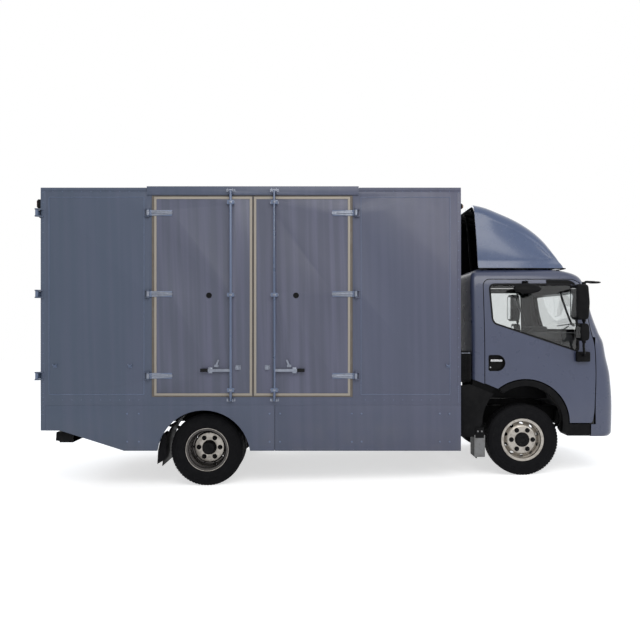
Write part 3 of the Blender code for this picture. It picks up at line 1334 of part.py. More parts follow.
def make_deflector(parent):
    shell = loft("deflector", [deflector_section(row, 0, 0) for row in DEFLECTOR_STATIONS])
    inner = [deflector_section(row, DEFLECTOR_WALL, 0.030) for row in DEFLECTOR_STATIONS]
    cut(shell, loft("hollow", inner))
    bars = []
    for ahead, half in ((0.125, 0.815), (0.540, 0.802)):
        x = CAB_REAR + DEFLECTOR_REAR_IN + ahead
        bars.append(block("bar", (x, x + 0.040), (-half, half), (CAB_TOP + SEAT, CAB_TOP + 0.034)))
    foot = (CAB_REAR + DEFLECTOR_REAR_IN + 0.145, 0, CAB_TOP + 0.020)
    head = (CAB_REAR + DEFLECTOR_REAR_IN + 0.085, 0, DEFLECTOR_STATIONS[1][1] - 0.006)
    strut = rod("strut", foot, head, 0.014, 10)
    fuse(shell, *bars, strut)
    place(shell, "roof_deflector", "deflector paint", parent)


# Cab interior


def make_seat(name, y_span, parent):
    """One seat: cushion, leaning back and head rest, as one padded solid on the deck."""
    rear = CAB_REAR + CAB_WALL + 0.030
    low = CAB_DECK_Z + CAB_FLOOR_THICKNESS + SEAT
    outline = [
        (rear + 0.100, low), (rear + 0.620, low), (rear + 0.640, low + 0.110), (rear + 0.600, low + 0.140),
        (rear + 0.250, low + 0.120), (rear + 0.150, low + 0.640), (rear + 0.110, low + 0.700),
        (rear + 0.105, low + 0.860), (rear + 0.020, low + 0.860), (rear + 0.020, low + 0.660), (rear + 0.060, low + 0.100),
    ]
    place(prism("seat", "Y", outline, y_span), name, "seat", parent)


def make_dashboard(parent):
    front = WHEELBASE
    dash = cab_form("dash", CAB_WALL + 0.004)
    profile = [
        (front + 0.455, 1.250), (front + 0.440, 1.520), (front + 0.480, 1.585), (front + 1.2, 1.585),
        (front + 1.2, SHELF_TOP + SEAT), (front + 0.620, SHELF_TOP + SEAT),
    ]
    keep(dash, prism("profile", "Y", profile, (-0.860, 0.860)))
    place(dash, "dashboard", "black plastic", parent)


def steering_axis():
    """A frame at the steering wheel's centre, with its Z axis up along the column."""
    centre = (WHEELBASE + STEERING_WHEEL_X, STEERING_WHEEL_Y, STEERING_WHEEL_Z)
    return Matrix.Translation(centre) @ Matrix.Rotation(math.radians(-STEERING_WHEEL_TILT), 4, "Y")


def make_steering_wheel(parent):
    frame = steering_axis()
    radius, grip = STEERING_WHEEL_RADIUS, 0.014
    ring = [(radius + x, y) for x, y in arc((0, 0), grip, 0, 300, 5)]
    wheel = turned("rim", ring, 18, frame)
    hub = turned("hub", [(0, -0.060), (0.030, -0.060), (0.055, -0.020), (0.050, 0.008), (0, 0.014)], 8, frame)
    spokes = []
    for turn in (90, 210, 330):
        spin = frame @ Matrix.Rotation(math.radians(turn), 4, "Z")
        spokes.append(rod("spoke", spin @ Vector((0.030, 0, -0.010)), spin @ Vector((radius, 0, 0)), 0.010, 6))
    fuse(wheel, hub, *spokes)
    place(wheel, "steering_wheel", "black plastic", parent)


def make_column(parent):
    frame = steering_axis()
    start, end = frame @ Vector((0, 0, -0.0605)), frame @ Vector((0, 0, -0.330))
    column = rod("column", start, end, 0.034, 14)
    cut_by = prism("dash face", "Y", [
        (WHEELBASE + 0.4547, 1.2), (WHEELBASE + 0.4397, 1.520), (WHEELBASE + 0.4797, 1.5853), (WHEELBASE + 1.2, 1.5853), (WHEELBASE + 1.2, 1.0), (WHEELBASE + 0.56, 1.0),
    ], (-0.870, 0.870))
    cut(column, cut_by)
    place(column, "steering_column", "black plastic", parent)


def build():
    clear_scene()
    root = pivot("truck", None, (0, 0, 0))
    make_frame(root)
    make_battery(root)
    make_rear_axle(root)
    make_front_axle(root)
    make_box_floor(root)
    make_box_walls(root)
    make_box_roof(root)
    make_rear_portal(root)
    make_underrun(root)
    make_junction_box(root)
    cab = pivot("cab_tilt_axis", root, (WHEELBASE + CAB_PIVOT_X, 0, CAB_PIVOT_Z))
    make_cab_shell(cab)
    make_windscreen(cab)
    make_bumper(cab)
    make_deflector(cab)
    make_dashboard(cab)
    make_seat("driver_seat", (0.160, 0.660), cab)
    make_seat("passenger_seat", (-0.720, 0.080), cab)
    make_column(cab)
    wheel_axis = pivot("steering_wheel_axis", cab, tuple(steering_axis().translation))
    make_steering_wheel(wheel_axis)
    knuckles = {}
    for name, side in SIDES.items():
        make_skirts(name, side, root)
        make_rear_guard(f"{name}_rear_mudguard", side, root)
        make_front_guard(f"{name}_front_mudguard", side, root)
        make_tail_lamp(f"{name}_tail_lamp", side, root)
        make_headlamp(f"{name}_headlamp", side, cab)
        make_step(f"{name}_step", side, cab)
        at = (WHEELBASE + DOOR_PIVOT_X, side * DOOR_PIVOT_Y, DOOR_BOTTOM)
        hinge = pivot(f"{name}_cab_door_axis", cab, at)
        make_cab_door(f"{name}_cab_door", side, hinge)
        make_door_glass(f"{name}_door_glass", side, hinge)
        make_mirror(f"{name}_mirror", side, hinge)
        if side < 0:
            make_kerb_mirror(hinge)
        steer = pivot(f"{name}_steer_axis", root, (WHEELBASE, side * KINGPIN_Y, FRONT_AXLE_Z))
        knuckles[name] = steer
        make_knuckle(f"{name}_knuckle", side, steer)
        spin = pivot(f"{name}_front_wheel_axis", steer, (WHEELBASE, side * FRONT_WHEEL_Y, FRONT_AXLE_Z), -RAKE)
        make_front_rim(f"{name}_front_rim", side, spin)
        make_tyre(f"{name}_front_tyre", WHEELBASE, side * FRONT_WHEEL_Y, FRONT_AXLE_Z, side, spin)
        spin = pivot(f"{name}_rear_wheel_axis", root, (0, side * REAR_WHEEL_Y, REAR_AXLE_Z), -RAKE)
        make_rear_rims(f"{name}_rear_rims", side, spin)
        for which, way in (("outer", 1), ("inner", -1)):
            y = side * (REAR_WHEEL_Y + way * TWIN_SPACING / 2)
            make_tyre(f"{name}_rear_{which}_tyre", 0, y, REAR_AXLE_Z, side, spin)
        hinge = pivot(f"{name}_rear_door_axis", root, (*rear_pin_place(side), FLOOR_TOP))
        make_rear_door(f"{name}_rear_door", side, hinge)
    tie = pivot("tie_rod_axis", knuckles["right"], (WHEELBASE - STEER_ARM, -KINGPIN_Y, FRONT_AXLE_Z - 0.079))
    make_tie_rod(tie)
    for name, way, x in (("rear", -1, SIDE_DOOR_REAR - 0.032), ("front", 1, SIDE_DOOR_FRONT + 0.032)):
        hinge = pivot(f"side_door_{name}_axis", root, (x, -BOX_HALF_WIDTH - HINGE_OUT, SIDE_DOOR_BOTTOM))
        make_side_door(f"side_door_{name}_leaf", way, hinge)
    stand(root)


def stand(root):
    """Turns the truck to its rake, then puts the middle of its lowest face at the origin."""
    root.rotation_euler = (0, RAKE, 0)
    bpy.context.view_layer.update()
    corners = []
    for obj in bpy.data.objects:
        if obj.type == "MESH":
            corners.extend(obj.matrix_world @ vertex.co for vertex in obj.data.vertices)
    low = [min(corner[i] for corner in corners) for i in range(3)]
    high = [max(corner[i] for corner in corners) for i in range(3)]
    root.location = (-(low[0] + high[0]) / 2, -(low[1] + high[1]) / 2, -low[2])


build()
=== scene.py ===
# %% [markdown]
# An electric light box truck, seen from its right side. The solids of every piece are already in place.
# This lesson gives them paint, rubber, glass and cloth, swaps the faceted cab and wheels for smooth ones,
# and adds the small things that a maker fits last: rivets, seals, bolts, tread, lamps and mirrors.

# %% Load the solids
import json
import math

import bmesh
import bpy
from mathutils import Matrix, Vector

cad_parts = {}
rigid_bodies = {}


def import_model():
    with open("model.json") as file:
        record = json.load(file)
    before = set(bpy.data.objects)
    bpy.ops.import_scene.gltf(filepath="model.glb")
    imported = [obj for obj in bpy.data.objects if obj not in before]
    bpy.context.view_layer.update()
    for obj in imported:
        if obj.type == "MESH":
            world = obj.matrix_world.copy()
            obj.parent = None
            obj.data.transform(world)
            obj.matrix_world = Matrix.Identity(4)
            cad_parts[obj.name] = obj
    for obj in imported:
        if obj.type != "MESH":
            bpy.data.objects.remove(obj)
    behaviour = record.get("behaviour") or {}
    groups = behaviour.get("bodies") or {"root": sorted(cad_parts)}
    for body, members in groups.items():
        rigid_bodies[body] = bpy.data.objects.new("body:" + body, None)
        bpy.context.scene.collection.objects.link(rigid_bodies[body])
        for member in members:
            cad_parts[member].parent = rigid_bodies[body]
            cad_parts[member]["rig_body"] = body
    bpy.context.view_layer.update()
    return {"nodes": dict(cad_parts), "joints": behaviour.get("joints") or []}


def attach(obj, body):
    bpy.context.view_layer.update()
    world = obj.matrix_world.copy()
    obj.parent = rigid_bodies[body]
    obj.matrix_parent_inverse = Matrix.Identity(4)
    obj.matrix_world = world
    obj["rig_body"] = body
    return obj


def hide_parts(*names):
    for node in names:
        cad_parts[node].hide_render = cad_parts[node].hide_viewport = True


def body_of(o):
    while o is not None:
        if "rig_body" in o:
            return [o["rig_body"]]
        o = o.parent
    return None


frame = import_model()
nodes = frame["nodes"]

# %% [markdown]
# The empty truck stands nose down, so its box is tilted against the ground. Every size is easier to give in
# the truck's own level frame: X forward from the rear axle, Y to the left, Z up. The steering axis gives
# the tilt, and the rear wheels' joint gives the place of the origin.

# %% The truck's level frame
REAR_WHEEL_Y = 0.790
REAR_AXLE_Z = 0.375
joint_of = {joint["name"]: joint for joint in frame["joints"]}
upright = joint_of["right_steer"]["axis"]
RAKE = math.atan2(upright[0], upright[2])
turn = Matrix.Rotation(RAKE, 4, "Y")
rear_wheel = Vector(joint_of["right_rear_wheels_spin"]["pos_m"])
origin = rear_wheel - turn @ Vector((0, -REAR_WHEEL_Y, REAR_AXLE_Z))
LEVEL = Matrix.Translation(origin) @ turn
print("rake", round(math.degrees(RAKE), 3), "degrees, origin", tuple(round(v, 4) for v in origin))

# %% [markdown]
# The camera stands level with the box and looks square at the side, as in the photograph, where the box's
# side is a true rectangle. The small lens shift puts the optical axis a little below the middle of the
# picture.

# %% Camera
PHOTO_SIZE = 640
FOCAL_PIXELS = 635
EYE = Vector((1.195, -7.580, 1.672))
AXIS_PIXEL = (322, 325)

lens = bpy.data.cameras.new("camera")
lens.sensor_width = 36
lens.lens = lens.sensor_width * FOCAL_PIXELS / PHOTO_SIZE
lens.shift_x = (PHOTO_SIZE / 2 - AXIS_PIXEL[0]) / PHOTO_SIZE
lens.shift_y = (AXIS_PIXEL[1] - PHOTO_SIZE / 2) / PHOTO_SIZE
camera = bpy.data.objects.new("camera", lens)
camera.matrix_world = LEVEL @ Matrix.Translation(EYE) @ Matrix.Rotation(math.pi / 2, 4, "X")
bpy.context.scene.collection.objects.link(camera)
bpy.context.scene.camera = camera
print("lens", round(lens.lens, 2), "mm, shift", round(lens.shift_x, 4), round(lens.shift_y, 4))

# %% [markdown]
# Soft daylight: a bright, even sky, a large lamp high on the camera's side, and a weaker one from behind.
# The floor and the sky show white to the camera, and light the truck far less than that.

# %% Light and floor
SKY_LIGHT = 0.55
scene = bpy.context.scene
scene.view_settings.view_transform = "Standard"
world = bpy.data.worlds.new("sky")
world.use_nodes = True
scene.world = world
sky = world.node_tree
background = sky.nodes["Background"]
ray = sky.nodes.new("ShaderNodeLightPath")
seen = ray.outputs["Is Camera Ray"]
for kind in ("Is Glossy Ray", "Is Transmission Ray"):
    either = sky.nodes.new("ShaderNodeMath")
    either.operation = "MAXIMUM"
    sky.links.new(seen, either.inputs[0])
    sky.links.new(ray.outputs[kind], either.inputs[1])
    seen = either.outputs[0]
level_of_sky = sky.nodes.new("ShaderNodeMapRange")
level_of_sky.inputs["To Min"].default_value = SKY_LIGHT
level_of_sky.inputs["To Max"].default_value = 1.0
sky.links.new(seen, level_of_sky.inputs["Value"])
sky.links.new(level_of_sky.outputs["Result"], background.inputs["Strength"])
tint_of_sky = sky.nodes.new("ShaderNodeMix")
tint_of_sky.data_type = "RGBA"
tint_of_sky.inputs[6].default_value = (0.90, 0.94, 1.0, 1)
tint_of_sky.inputs[7].default_value = (1, 1, 1, 1)
sky.links.new(seen, tint_of_sky.inputs["Factor"])
sky.links.new(tint_of_sky.outputs[2], background.inputs["Color"])


def area_lamp(name, at, towards, size, power, colour=(1, 1, 1)):
    data = bpy.data.lights.new(name, "AREA")
    data.shape = "RECTANGLE"
    data.size, data.size_y = size
    data.energy = power
    data.color = colour
    lamp = bpy.data.objects.new(name, data)
    at = Vector(at)
    lamp.matrix_world = Matrix.Translation(at) @ (
        at - Vector(towards)
    ).to_track_quat("Z", "Y").to_matrix().to_4x4()
    scene.collection.objects.link(lamp)
    return lamp


area_lamp("key", (1.5, -7.0, 6.5), (0, 0, 1.4), (7, 4), 275, (1.0, 0.98, 0.95))
area_lamp("side", (6.5, -4.0, 3.5), (2.0, 0, 1.4), (3, 3), 45, (0.95, 0.97, 1.0))
area_lamp("back", (-3.0, 7.0, 5.5), (0, 0, 1.4), (7, 4), 200, (0.95, 0.97, 1.0))

FLOOR_HALF = 30
ground = bpy.data.meshes.new("ground")
corners = [
    (-FLOOR_HALF, -FLOOR_HALF, 0), (FLOOR_HALF, -FLOOR_HALF, 0), (FLOOR_HALF, FLOOR_HALF, 0),
    (-FLOOR_HALF, FLOOR_HALF, 0)
]
ground.from_pydata(corners, [], [(0, 1, 2, 3)])
floor = bpy.data.objects.new("floor", ground)
scene.collection.objects.link(floor)
pale = bpy.data.materials.new("pale floor")
pale.use_nodes = True
pale_shader = pale.node_tree.nodes["Principled BSDF"]
pale_shader.inputs["Base Color"].default_value = (0.86, 0.86, 0.86, 1)
pale_shader.inputs["Roughness"].default_value = 0.9
pale_shader.inputs["Specular IOR Level"].default_value = 0.0
pale_shader.inputs["Emission Color"].default_value = (1, 1, 1, 1)
pale_ray = pale.node_tree.nodes.new("ShaderNodeLightPath")
pale_seen = pale_ray.outputs["Is Camera Ray"]
for kind in ("Is Glossy Ray", "Is Transmission Ray"):
    either = pale.node_tree.nodes.new("ShaderNodeMath")
    either.operation = "MAXIMUM"
    pale.node_tree.links.new(pale_seen, either.inputs[0])
    pale.node_tree.links.new(pale_ray.outputs[kind], either.inputs[1])
    pale_seen = either.outputs[0]
pale_lift = pale.node_tree.nodes.new("ShaderNodeMath")
pale_lift.operation = "MULTIPLY"
pale_lift.inputs[1].default_value = 0.62
pale.node_tree.links.new(pale_seen, pale_lift.inputs[0])
pale.node_tree.links.new(pale_lift.outputs[0], pale_shader.inputs["Emission Strength"])
ground.materials.append(pale)
print("lamps and floor made")

# %% [markdown]
# Paint comes first, because nearly everything shows it. One function makes a shader network from a few
# plain words: a colour that drifts a little over the panel, dust that gathers low down, and a fine ripple
# in the surface. The noise reads object coordinates, in metres, so its grain has the same size on every
# piece.

# %% Tools for finishes


def new_finish(name, colour, roughness, metallic=0.0):
    made = bpy.data.materials.new(name)
    made.use_nodes = True
    shader = made.node_tree.nodes["Principled BSDF"]
    shader.inputs["Base Color"].default_value = (*colour, 1)
    shader.inputs["Roughness"].default_value = roughness
    shader.inputs["Metallic"].default_value = metallic
    made.diffuse_color = (*colour, 1)
    return made, made.node_tree, shader


def position_of(tree, scale=(1, 1, 1)):
    """Object coordinates, stretched or squeezed along each axis."""
    place = tree.nodes.new("ShaderNodeTexCoord")
    mapping = tree.nodes.new("ShaderNodeMapping")
    mapping.inputs["Scale"].default_value = scale
    tree.links.new(place.outputs["Object"], mapping.inputs["Vector"])
    return mapping.outputs["Vector"]


def noise(tree, scale, detail=3.0, stretch=(1, 1, 1), rough=0.5):
    made = tree.nodes.new("ShaderNodeTexNoise")
    made.inputs["Scale"].default_value = scale
    made.inputs["Detail"].default_value = detail
    made.inputs["Roughness"].default_value = rough
    tree.links.new(position_of(tree, stretch), made.inputs["Vector"])
    return made.outputs["Fac"]


def spread(tree, value, low, high, to_low=0.0, to_high=1.0):
    """Maps the part of a value between low and high to another range, and clamps the rest."""
    made = tree.nodes.new("ShaderNodeMapRange")
    made.inputs["From Min"].default_value = low
    made.inputs["From Max"].default_value = high
    made.inputs["To Min"].default_value = to_low
    made.inputs["To Max"].default_value = to_high
    tree.links.new(value, made.inputs["Value"])
    return made.outputs["Result"]


def blend_colours(tree, share, one, two):
    made = tree.nodes.new("ShaderNodeMix")
    made.data_type = "RGBA"
    tree.links.new(share, made.inputs["Factor"])
    for socket, colour in ((made.inputs[6], one), (made.inputs[7], two)):
        if isinstance(colour, tuple):
            socket.default_value = (*colour, 1)
        else:
            tree.links.new(colour, socket)
    return made.outputs[2]


def bump(tree, shader, height, strength, distance, below=None):
    made = tree.nodes.new("ShaderNodeBump")
    made.inputs["Strength"].default_value = strength
    made.inputs["Distance"].default_value = distance
    tree.links.new(height, made.inputs["Height"])
    if below:
        tree.links.new(below, made.inputs["Normal"])
    tree.links.new(made.outputs["Normal"], shader.inputs["Normal"])
    return made.outputs["Normal"]


def height_above_ground(tree):
    place = tree.nodes.new("ShaderNodeTexCoord")
    split = tree.nodes.new("ShaderNodeSeparateXYZ")
    tree.links.new(place.outputs["Object"], split.inputs["Vector"])
    return split.outputs["Z"]


def multiply(tree, one, two):
    made = tree.nodes.new("ShaderNodeMath")
    made.operation = "MULTIPLY"
    tree.links.new(one, made.inputs[0])
    if isinstance(two, float):
        made.inputs[1].default_value = two
    else:
        tree.links.new(two, made.inputs[1])
    return made.outputs[0]


print("finish tools ready")

# %% [markdown]
# The box's sheet metal is steel blue with a satin gloss. The real sheet mirrors another part of the sky
# towards the front and the top, so its colour is painted to lean to violet towards the front: a painted
# reflection. Long faint lighter streaks run down it, painted reflections of a slightly wavy sheet.

# %% Paints
DUST = (0.30, 0.29, 0.28)


def along_truck(tree):
    """0 at the rear of the box and 1 at its front."""
    place = tree.nodes.new("ShaderNodeTexCoord")
    split = tree.nodes.new("ShaderNodeSeparateXYZ")
    tree.links.new(place.outputs["Object"], split.inputs["Vector"])
    return spread(tree, split.outputs["X"], -3.0, 1.3)


def paint(name, colour, painted_reflection_colour, roughness, coat, ripple, reflection_streak=0.22, peel=0.0):
    """The colour turns to the painted reflection colour towards the front of the truck: a painted
    reflection of the sky.
    """
    made, tree, shader = new_finish(name, colour, roughness)
    shader.inputs["Specular IOR Level"].default_value = 0.38
    # Towards the front the colour turns violet: a painted reflection of the sky.
    base = blend_colours(tree, along_truck(tree), colour, painted_reflection_colour)
    drift = spread(tree, noise(tree, 0.9, 2.0, (1, 1, 0.6)), 0.38, 0.66, 0.0, 0.14)
    base = blend_colours(tree, drift, base, tuple(1.25 * c for c in colour))
    # Lighter vertical streaks: painted reflections of a slightly wavy sheet.
    reflection_streaks = spread(tree, noise(tree, 15.0, 2.0, (1, 1, 0.03)), 0.42, 0.66, 0.0, reflection_streak)
    base = blend_colours(tree, reflection_streaks, base, tuple(1.55 * c for c in painted_reflection_colour))
    low = spread(tree, height_above_ground(tree), 0.85, 0.25, 0.0, 0.20)
    dusty = multiply(tree, low, spread(tree, noise(tree, 6.0, 3.0), 0.40, 0.75))
    base = blend_colours(tree, dusty, base, tuple(0.55 * c for c in DUST))
    tree.links.new(base, shader.inputs["Base Color"])
    tree.links.new(
        spread(tree, noise(tree, 12.0, 3.0), 0.3, 0.7, roughness - 0.04, roughness + 0.06),
        shader.inputs["Roughness"]
    )
    shader.inputs["Coat Weight"].default_value = coat
    shader.inputs["Coat Roughness"].default_value = 0.12
    waves = bump(tree, shader, noise(tree, 2.2, 1.0, (1, 1, 0.35)), ripple, 0.012)
    if peel:
        bump(tree, shader, noise(tree, 7.5, 2.0, (1, 1, 0.03)), peel, 0.006, waves)
    return made


# The second colour of each paint is its painted sky reflection towards the front. The number after the
# ripple is the share of painted reflection streaks.
box_paint = paint("box paint", (0.072, 0.096, 0.143), (0.076, 0.080, 0.124), 0.42, 0.12, 0.06, 0.22, 0.12)
leaf_paint = paint(
    "door leaf paint", (0.090, 0.102, 0.140), (0.084, 0.086, 0.128), 0.42, 0.10, 0.03, 0.65, 0.40
)
door_trim_paint = paint(
    "door hardware paint", (0.120, 0.160, 0.250), (0.120, 0.150, 0.235), 0.30, 0.3, 0.02
)
cab_paint = paint("cab paint", (0.053, 0.064, 0.114), (0.053, 0.064, 0.112), 0.30, 0.45, 0.02, 0.05)
deflector_paint = paint(
    "deflector paint", (0.056, 0.084, 0.168), (0.058, 0.088, 0.172), 0.24, 0.55, 0.015, 0.05
)
print("paints made")

# %% [markdown]
# Moulded plastic has a fine grain, rubber a dull one with dust in it, and chassis steel a thick black coat
# with rust coloured dirt on it. Chrome and wheel silver are metal, with patches of brake dust and dirt on
# them.

# %% Plastic, rubber and metal


def grained(name, colour, roughness, grain, depth, dust_share, gloss=0.35):
    made, tree, shader = new_finish(name, colour, roughness)
    shader.inputs["Specular IOR Level"].default_value = gloss
    dusty = spread(tree, noise(tree, 18.0, 5.0), 0.42, 0.80, 0.0, dust_share)
    tree.links.new(blend_colours(tree, dusty, colour, DUST), shader.inputs["Base Color"])
    tree.links.new(
        spread(tree, noise(tree, 60.0, 3.0), 0.3, 0.7, roughness - 0.07, roughness + 0.07),
        shader.inputs["Roughness"]
    )
    bump(tree, shader, noise(tree, grain, 2.0), 0.35, depth)
    return made


def metal(name, colour, roughness, dirt, dirt_share):
    made, tree, shader = new_finish(name, colour, roughness, 1.0)
    share = spread(tree, noise(tree, 26.0, 5.0), 0.45, 0.78, 0.0, dirt_share)
    tree.links.new(blend_colours(tree, share, colour, dirt), shader.inputs["Base Color"])
    tree.links.new(spread(tree, share, 0.0, 1.0, roughness, 0.6), shader.inputs["Roughness"])
    bump(tree, shader, noise(tree, 160.0, 3.0), 0.08, 0.0005)
    return made


black_plastic = grained("black plastic", (0.0032, 0.0032, 0.0038), 0.46, 300.0, 0.0004, 0.015, 0.09)
black_steel = grained("black steel", (0.0045, 0.0045, 0.005), 0.55, 140.0, 0.0008, 0.03, 0.10)
tyre_rubber = grained("tyre rubber", (0.0055, 0.0055, 0.0065), 0.70, 200.0, 0.0005, 0.012, 0.08)
seal_rubber = grained("seal rubber", (0.006, 0.006, 0.0068), 0.55, 300.0, 0.0003, 0.01, 0.14)
cream_seal = grained("cream seal", (0.370, 0.330, 0.275), 0.60, 300.0, 0.0004, 0.25)
brown_seal = grained("brown seal", (0.125, 0.105, 0.085), 0.60, 300.0, 0.0004, 0.20)
battery_case = grained("battery case", (0.180, 0.190, 0.200), 0.50, 200.0, 0.0006, 0.20)
dash_plastic = grained("dash plastic", (0.045, 0.045, 0.050), 0.60, 700.0, 0.0005, 0.05)
rim_silver = metal("rim silver", (0.400, 0.375, 0.340), 0.36, (0.10, 0.085, 0.075), 0.50)
# The dark metal of the rear rims is painted shade for their deep barrels and dished bowls.
rim_painted_shade = metal("rim painted shade", (0.075, 0.070, 0.068), 0.26, (0.03, 0.028, 0.025), 0.50)
plated = metal("plated steel", (0.230, 0.250, 0.300), 0.30, (0.09, 0.09, 0.10), 0.45)
chrome = metal("chrome", (0.420, 0.425, 0.440), 0.22, (0.16, 0.16, 0.16), 0.45)
zinc = metal("zinc", (0.170, 0.172, 0.175), 0.45, (0.07, 0.06, 0.05), 0.45)
print("plastic, rubber and metal made")

# %% [markdown]
# Window glass is clear with a green edge, so light passes through it and bends a little. A lamp's lens is
# clear or coloured, over a bright bowl.

# %% Glass


def clear(name, colour, roughness, index=1.45):
    made, tree, shader = new_finish(name, colour, roughness)
    shader.inputs["Transmission Weight"].default_value = 1.0
    shader.inputs["IOR"].default_value = index
    return made


window_glass = clear("window glass", (0.80, 0.82, 0.82), 0.0)
clear_lens = clear("clear lens", (0.95, 0.96, 0.97), 0.05)
red_lens = clear("red lens", (0.65, 0.02, 0.02), 0.12)
amber_lens = clear("amber lens", (0.90, 0.32, 0.02), 0.12)
mirror_face = new_finish("mirror face", (0.86, 0.87, 0.88), 0.03, 1.0)[0]
print("glass made")

# %% [markdown]
# Seat cloth is woven. Two wave textures at right angles give the threads, and the deeper one of the two at
# each point makes the shadow between them.

# %% Cloth and plywood


def woven(name, colour, thread):
    made, tree, shader = new_finish(name, colour, 0.9)
    waves = []
    for direction in ("X", "Z"):
        wave = tree.nodes.new("ShaderNodeTexWave")
        wave.bands_direction = direction
        wave.inputs["Scale"].default_value = 1 / thread
        wave.inputs["Distortion"].default_value = 0.6
        tree.links.new(position_of(tree), wave.inputs["Vector"])
        waves.append(wave.outputs["Fac"])
    threads = multiply(tree, waves[0], waves[1])
    tree.links.new(
        blend_colours(tree, threads, tuple(0.55 * c for c in colour), colour), shader.inputs["Base Color"]
    )
    shader.inputs["Sheen Weight"].default_value = 0.3
    bump(tree, shader, threads, 0.5, 0.001)
    return made


seat_cloth = woven("seat cloth", (0.060, 0.062, 0.070), 0.02)
plywood, plywood_tree, plywood_shader = new_finish("plywood floor", (0.16, 0.11, 0.07), 0.7)
grain_of_wood = spread(plywood_tree, noise(plywood_tree, 7.0, 6.0, (0.3, 6, 6)), 0.35, 0.70)
plywood_tree.links.new(
    blend_colours(plywood_tree, grain_of_wood, (0.10, 0.065, 0.04), (0.22, 0.155, 0.095)),
    plywood_shader.inputs["Base Color"]
)
bump(plywood_tree, plywood_shader, grain_of_wood, 0.3, 0.001)
print("cloth and plywood made")

# %% [markdown]
# A solid whose shape is already right keeps its mesh and only gets its finish, one line for each.

# %% Finishes of the solids that stay
FINISHED_WITH = (
    (box_paint, (
        "box_left_wall box_right_wall box_front_wall box_roof rear_portal left_rear_door "
        "right_rear_door left_front_skirt right_front_skirt left_rear_skirt right_rear_skirt"
    )),
    (leaf_paint, "side_door_rear_leaf side_door_front_leaf"),
    (plywood, "box_floor"),
    (battery_case, "battery_block"),
    (black_steel, "frame front_axle rear_axle underrun_bar left_knuckle right_knuckle tie_rod"),
    (black_plastic, (
        "left_front_mudguard right_front_mudguard left_rear_mudguard right_rear_mudguard "
        "left_step right_step junction_box left_mirror right_mirror kerb_mirror"
    )),
    (red_lens, "left_tail_lamp right_tail_lamp"),
    (clear_lens, "left_headlamp right_headlamp"),
    (cab_paint, "cab_shell front_bumper left_cab_door right_cab_door"),
    (deflector_paint, "roof_deflector"),
    (window_glass, "windscreen left_door_glass right_door_glass"),
    (dash_plastic, "dashboard steering_wheel steering_column"),
    (seat_cloth, "driver_seat passenger_seat"),
    (rim_silver, "left_front_rim right_front_rim left_rear_rims right_rear_rims"),
)
FINISH_OF = {name: finish for finish, names in FINISHED_WITH for name in names.split()}
for name, node in nodes.items():
    finish = FINISH_OF.get(name, tyre_rubber)
    if node.material_slots:
        node.material_slots[0].material = finish
    else:
        node.data.materials.append(finish)
print("finishes set on", len(nodes), "solids")

# %% [markdown]
# Every new piece is drawn in the level frame and then carried into the truck's real place in one step, so
# its object stays at the origin, unturned. The same function gives it its material and the body that it
# moves with.

# %% Placing a piece
made_pieces = []


def add_piece(name, mesh, finish, body, smooth=None, level=True, evened=False):
    """Makes an object of a mesh drawn in the level frame. Evened shading follows the large faces."""
    if isinstance(mesh, bmesh.types.BMesh):
        drawn = mesh
        mesh = bpy.data.meshes.new(name)
        drawn.to_mesh(mesh)
        drawn.free()
    if level:
        mesh.transform(LEVEL)
    choice = [polygon.material_index for polygon in mesh.polygons]
    mesh.materials.clear()
    finishes = finish if isinstance(finish, (list, tuple)) else (finish,)
    for material in finishes:
        mesh.materials.append(material)
    mesh.polygons.foreach_set("material_index", [min(index, len(finishes) - 1) for index in choice])
    if smooth is not None:
        smooth_by_angle(mesh, smooth)
    if evened:
        mesh = with_modifiers(mesh, ("WEIGHTED_NORMAL", {"keep_sharp": True, "weight": 100}))
        mesh.name = name
    piece = bpy.data.objects.new(name, mesh)
    scene.collection.objects.link(piece)
    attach(piece, body)
    made_pieces.append(piece)
    return piece


def smooth_by_angle(mesh, degrees):
    """Rounds the shading over every edge that bends less than the angle, and keeps the rest sharp."""
    drawn = bmesh.new()
    drawn.from_mesh(mesh)
    limit = math.radians(degrees)
    for face in drawn.faces:
        face.smooth = True
    for edge in drawn.edges:
        edge.smooth = len(edge.link_faces) == 2 and edge.calc_face_angle(math.pi) < limit
    drawn.to_mesh(mesh)
    drawn.free()


def with_modifiers(mesh, *settings):
    """Runs modifiers over a mesh and returns a plain mesh. Each setting is (kind, {name: value})."""
    carrier = bpy.data.objects.new("carrier", mesh)
    scene.collection.objects.link(carrier)
    for kind, values in settings:
        modifier = carrier.modifiers.new(kind, kind)
        for key, value in values.items():
            setattr(modifier, key, value)
    result = bpy.data.meshes.new_from_object(carrier.evaluated_get(bpy.context.evaluated_depsgraph_get()))
    bpy.data.objects.remove(carrier)
    return result


print("piece tools ready")

# %% [markdown]
# Most rigid pieces have the right form already and only look machined from foil: their edges are perfectly
# sharp. A copy of the solid, merged back into one skin, gets a small rounding on each edge. That rounding
# catches the light as pressed metal and moulded plastic do.

# %% A softened copy of a solid


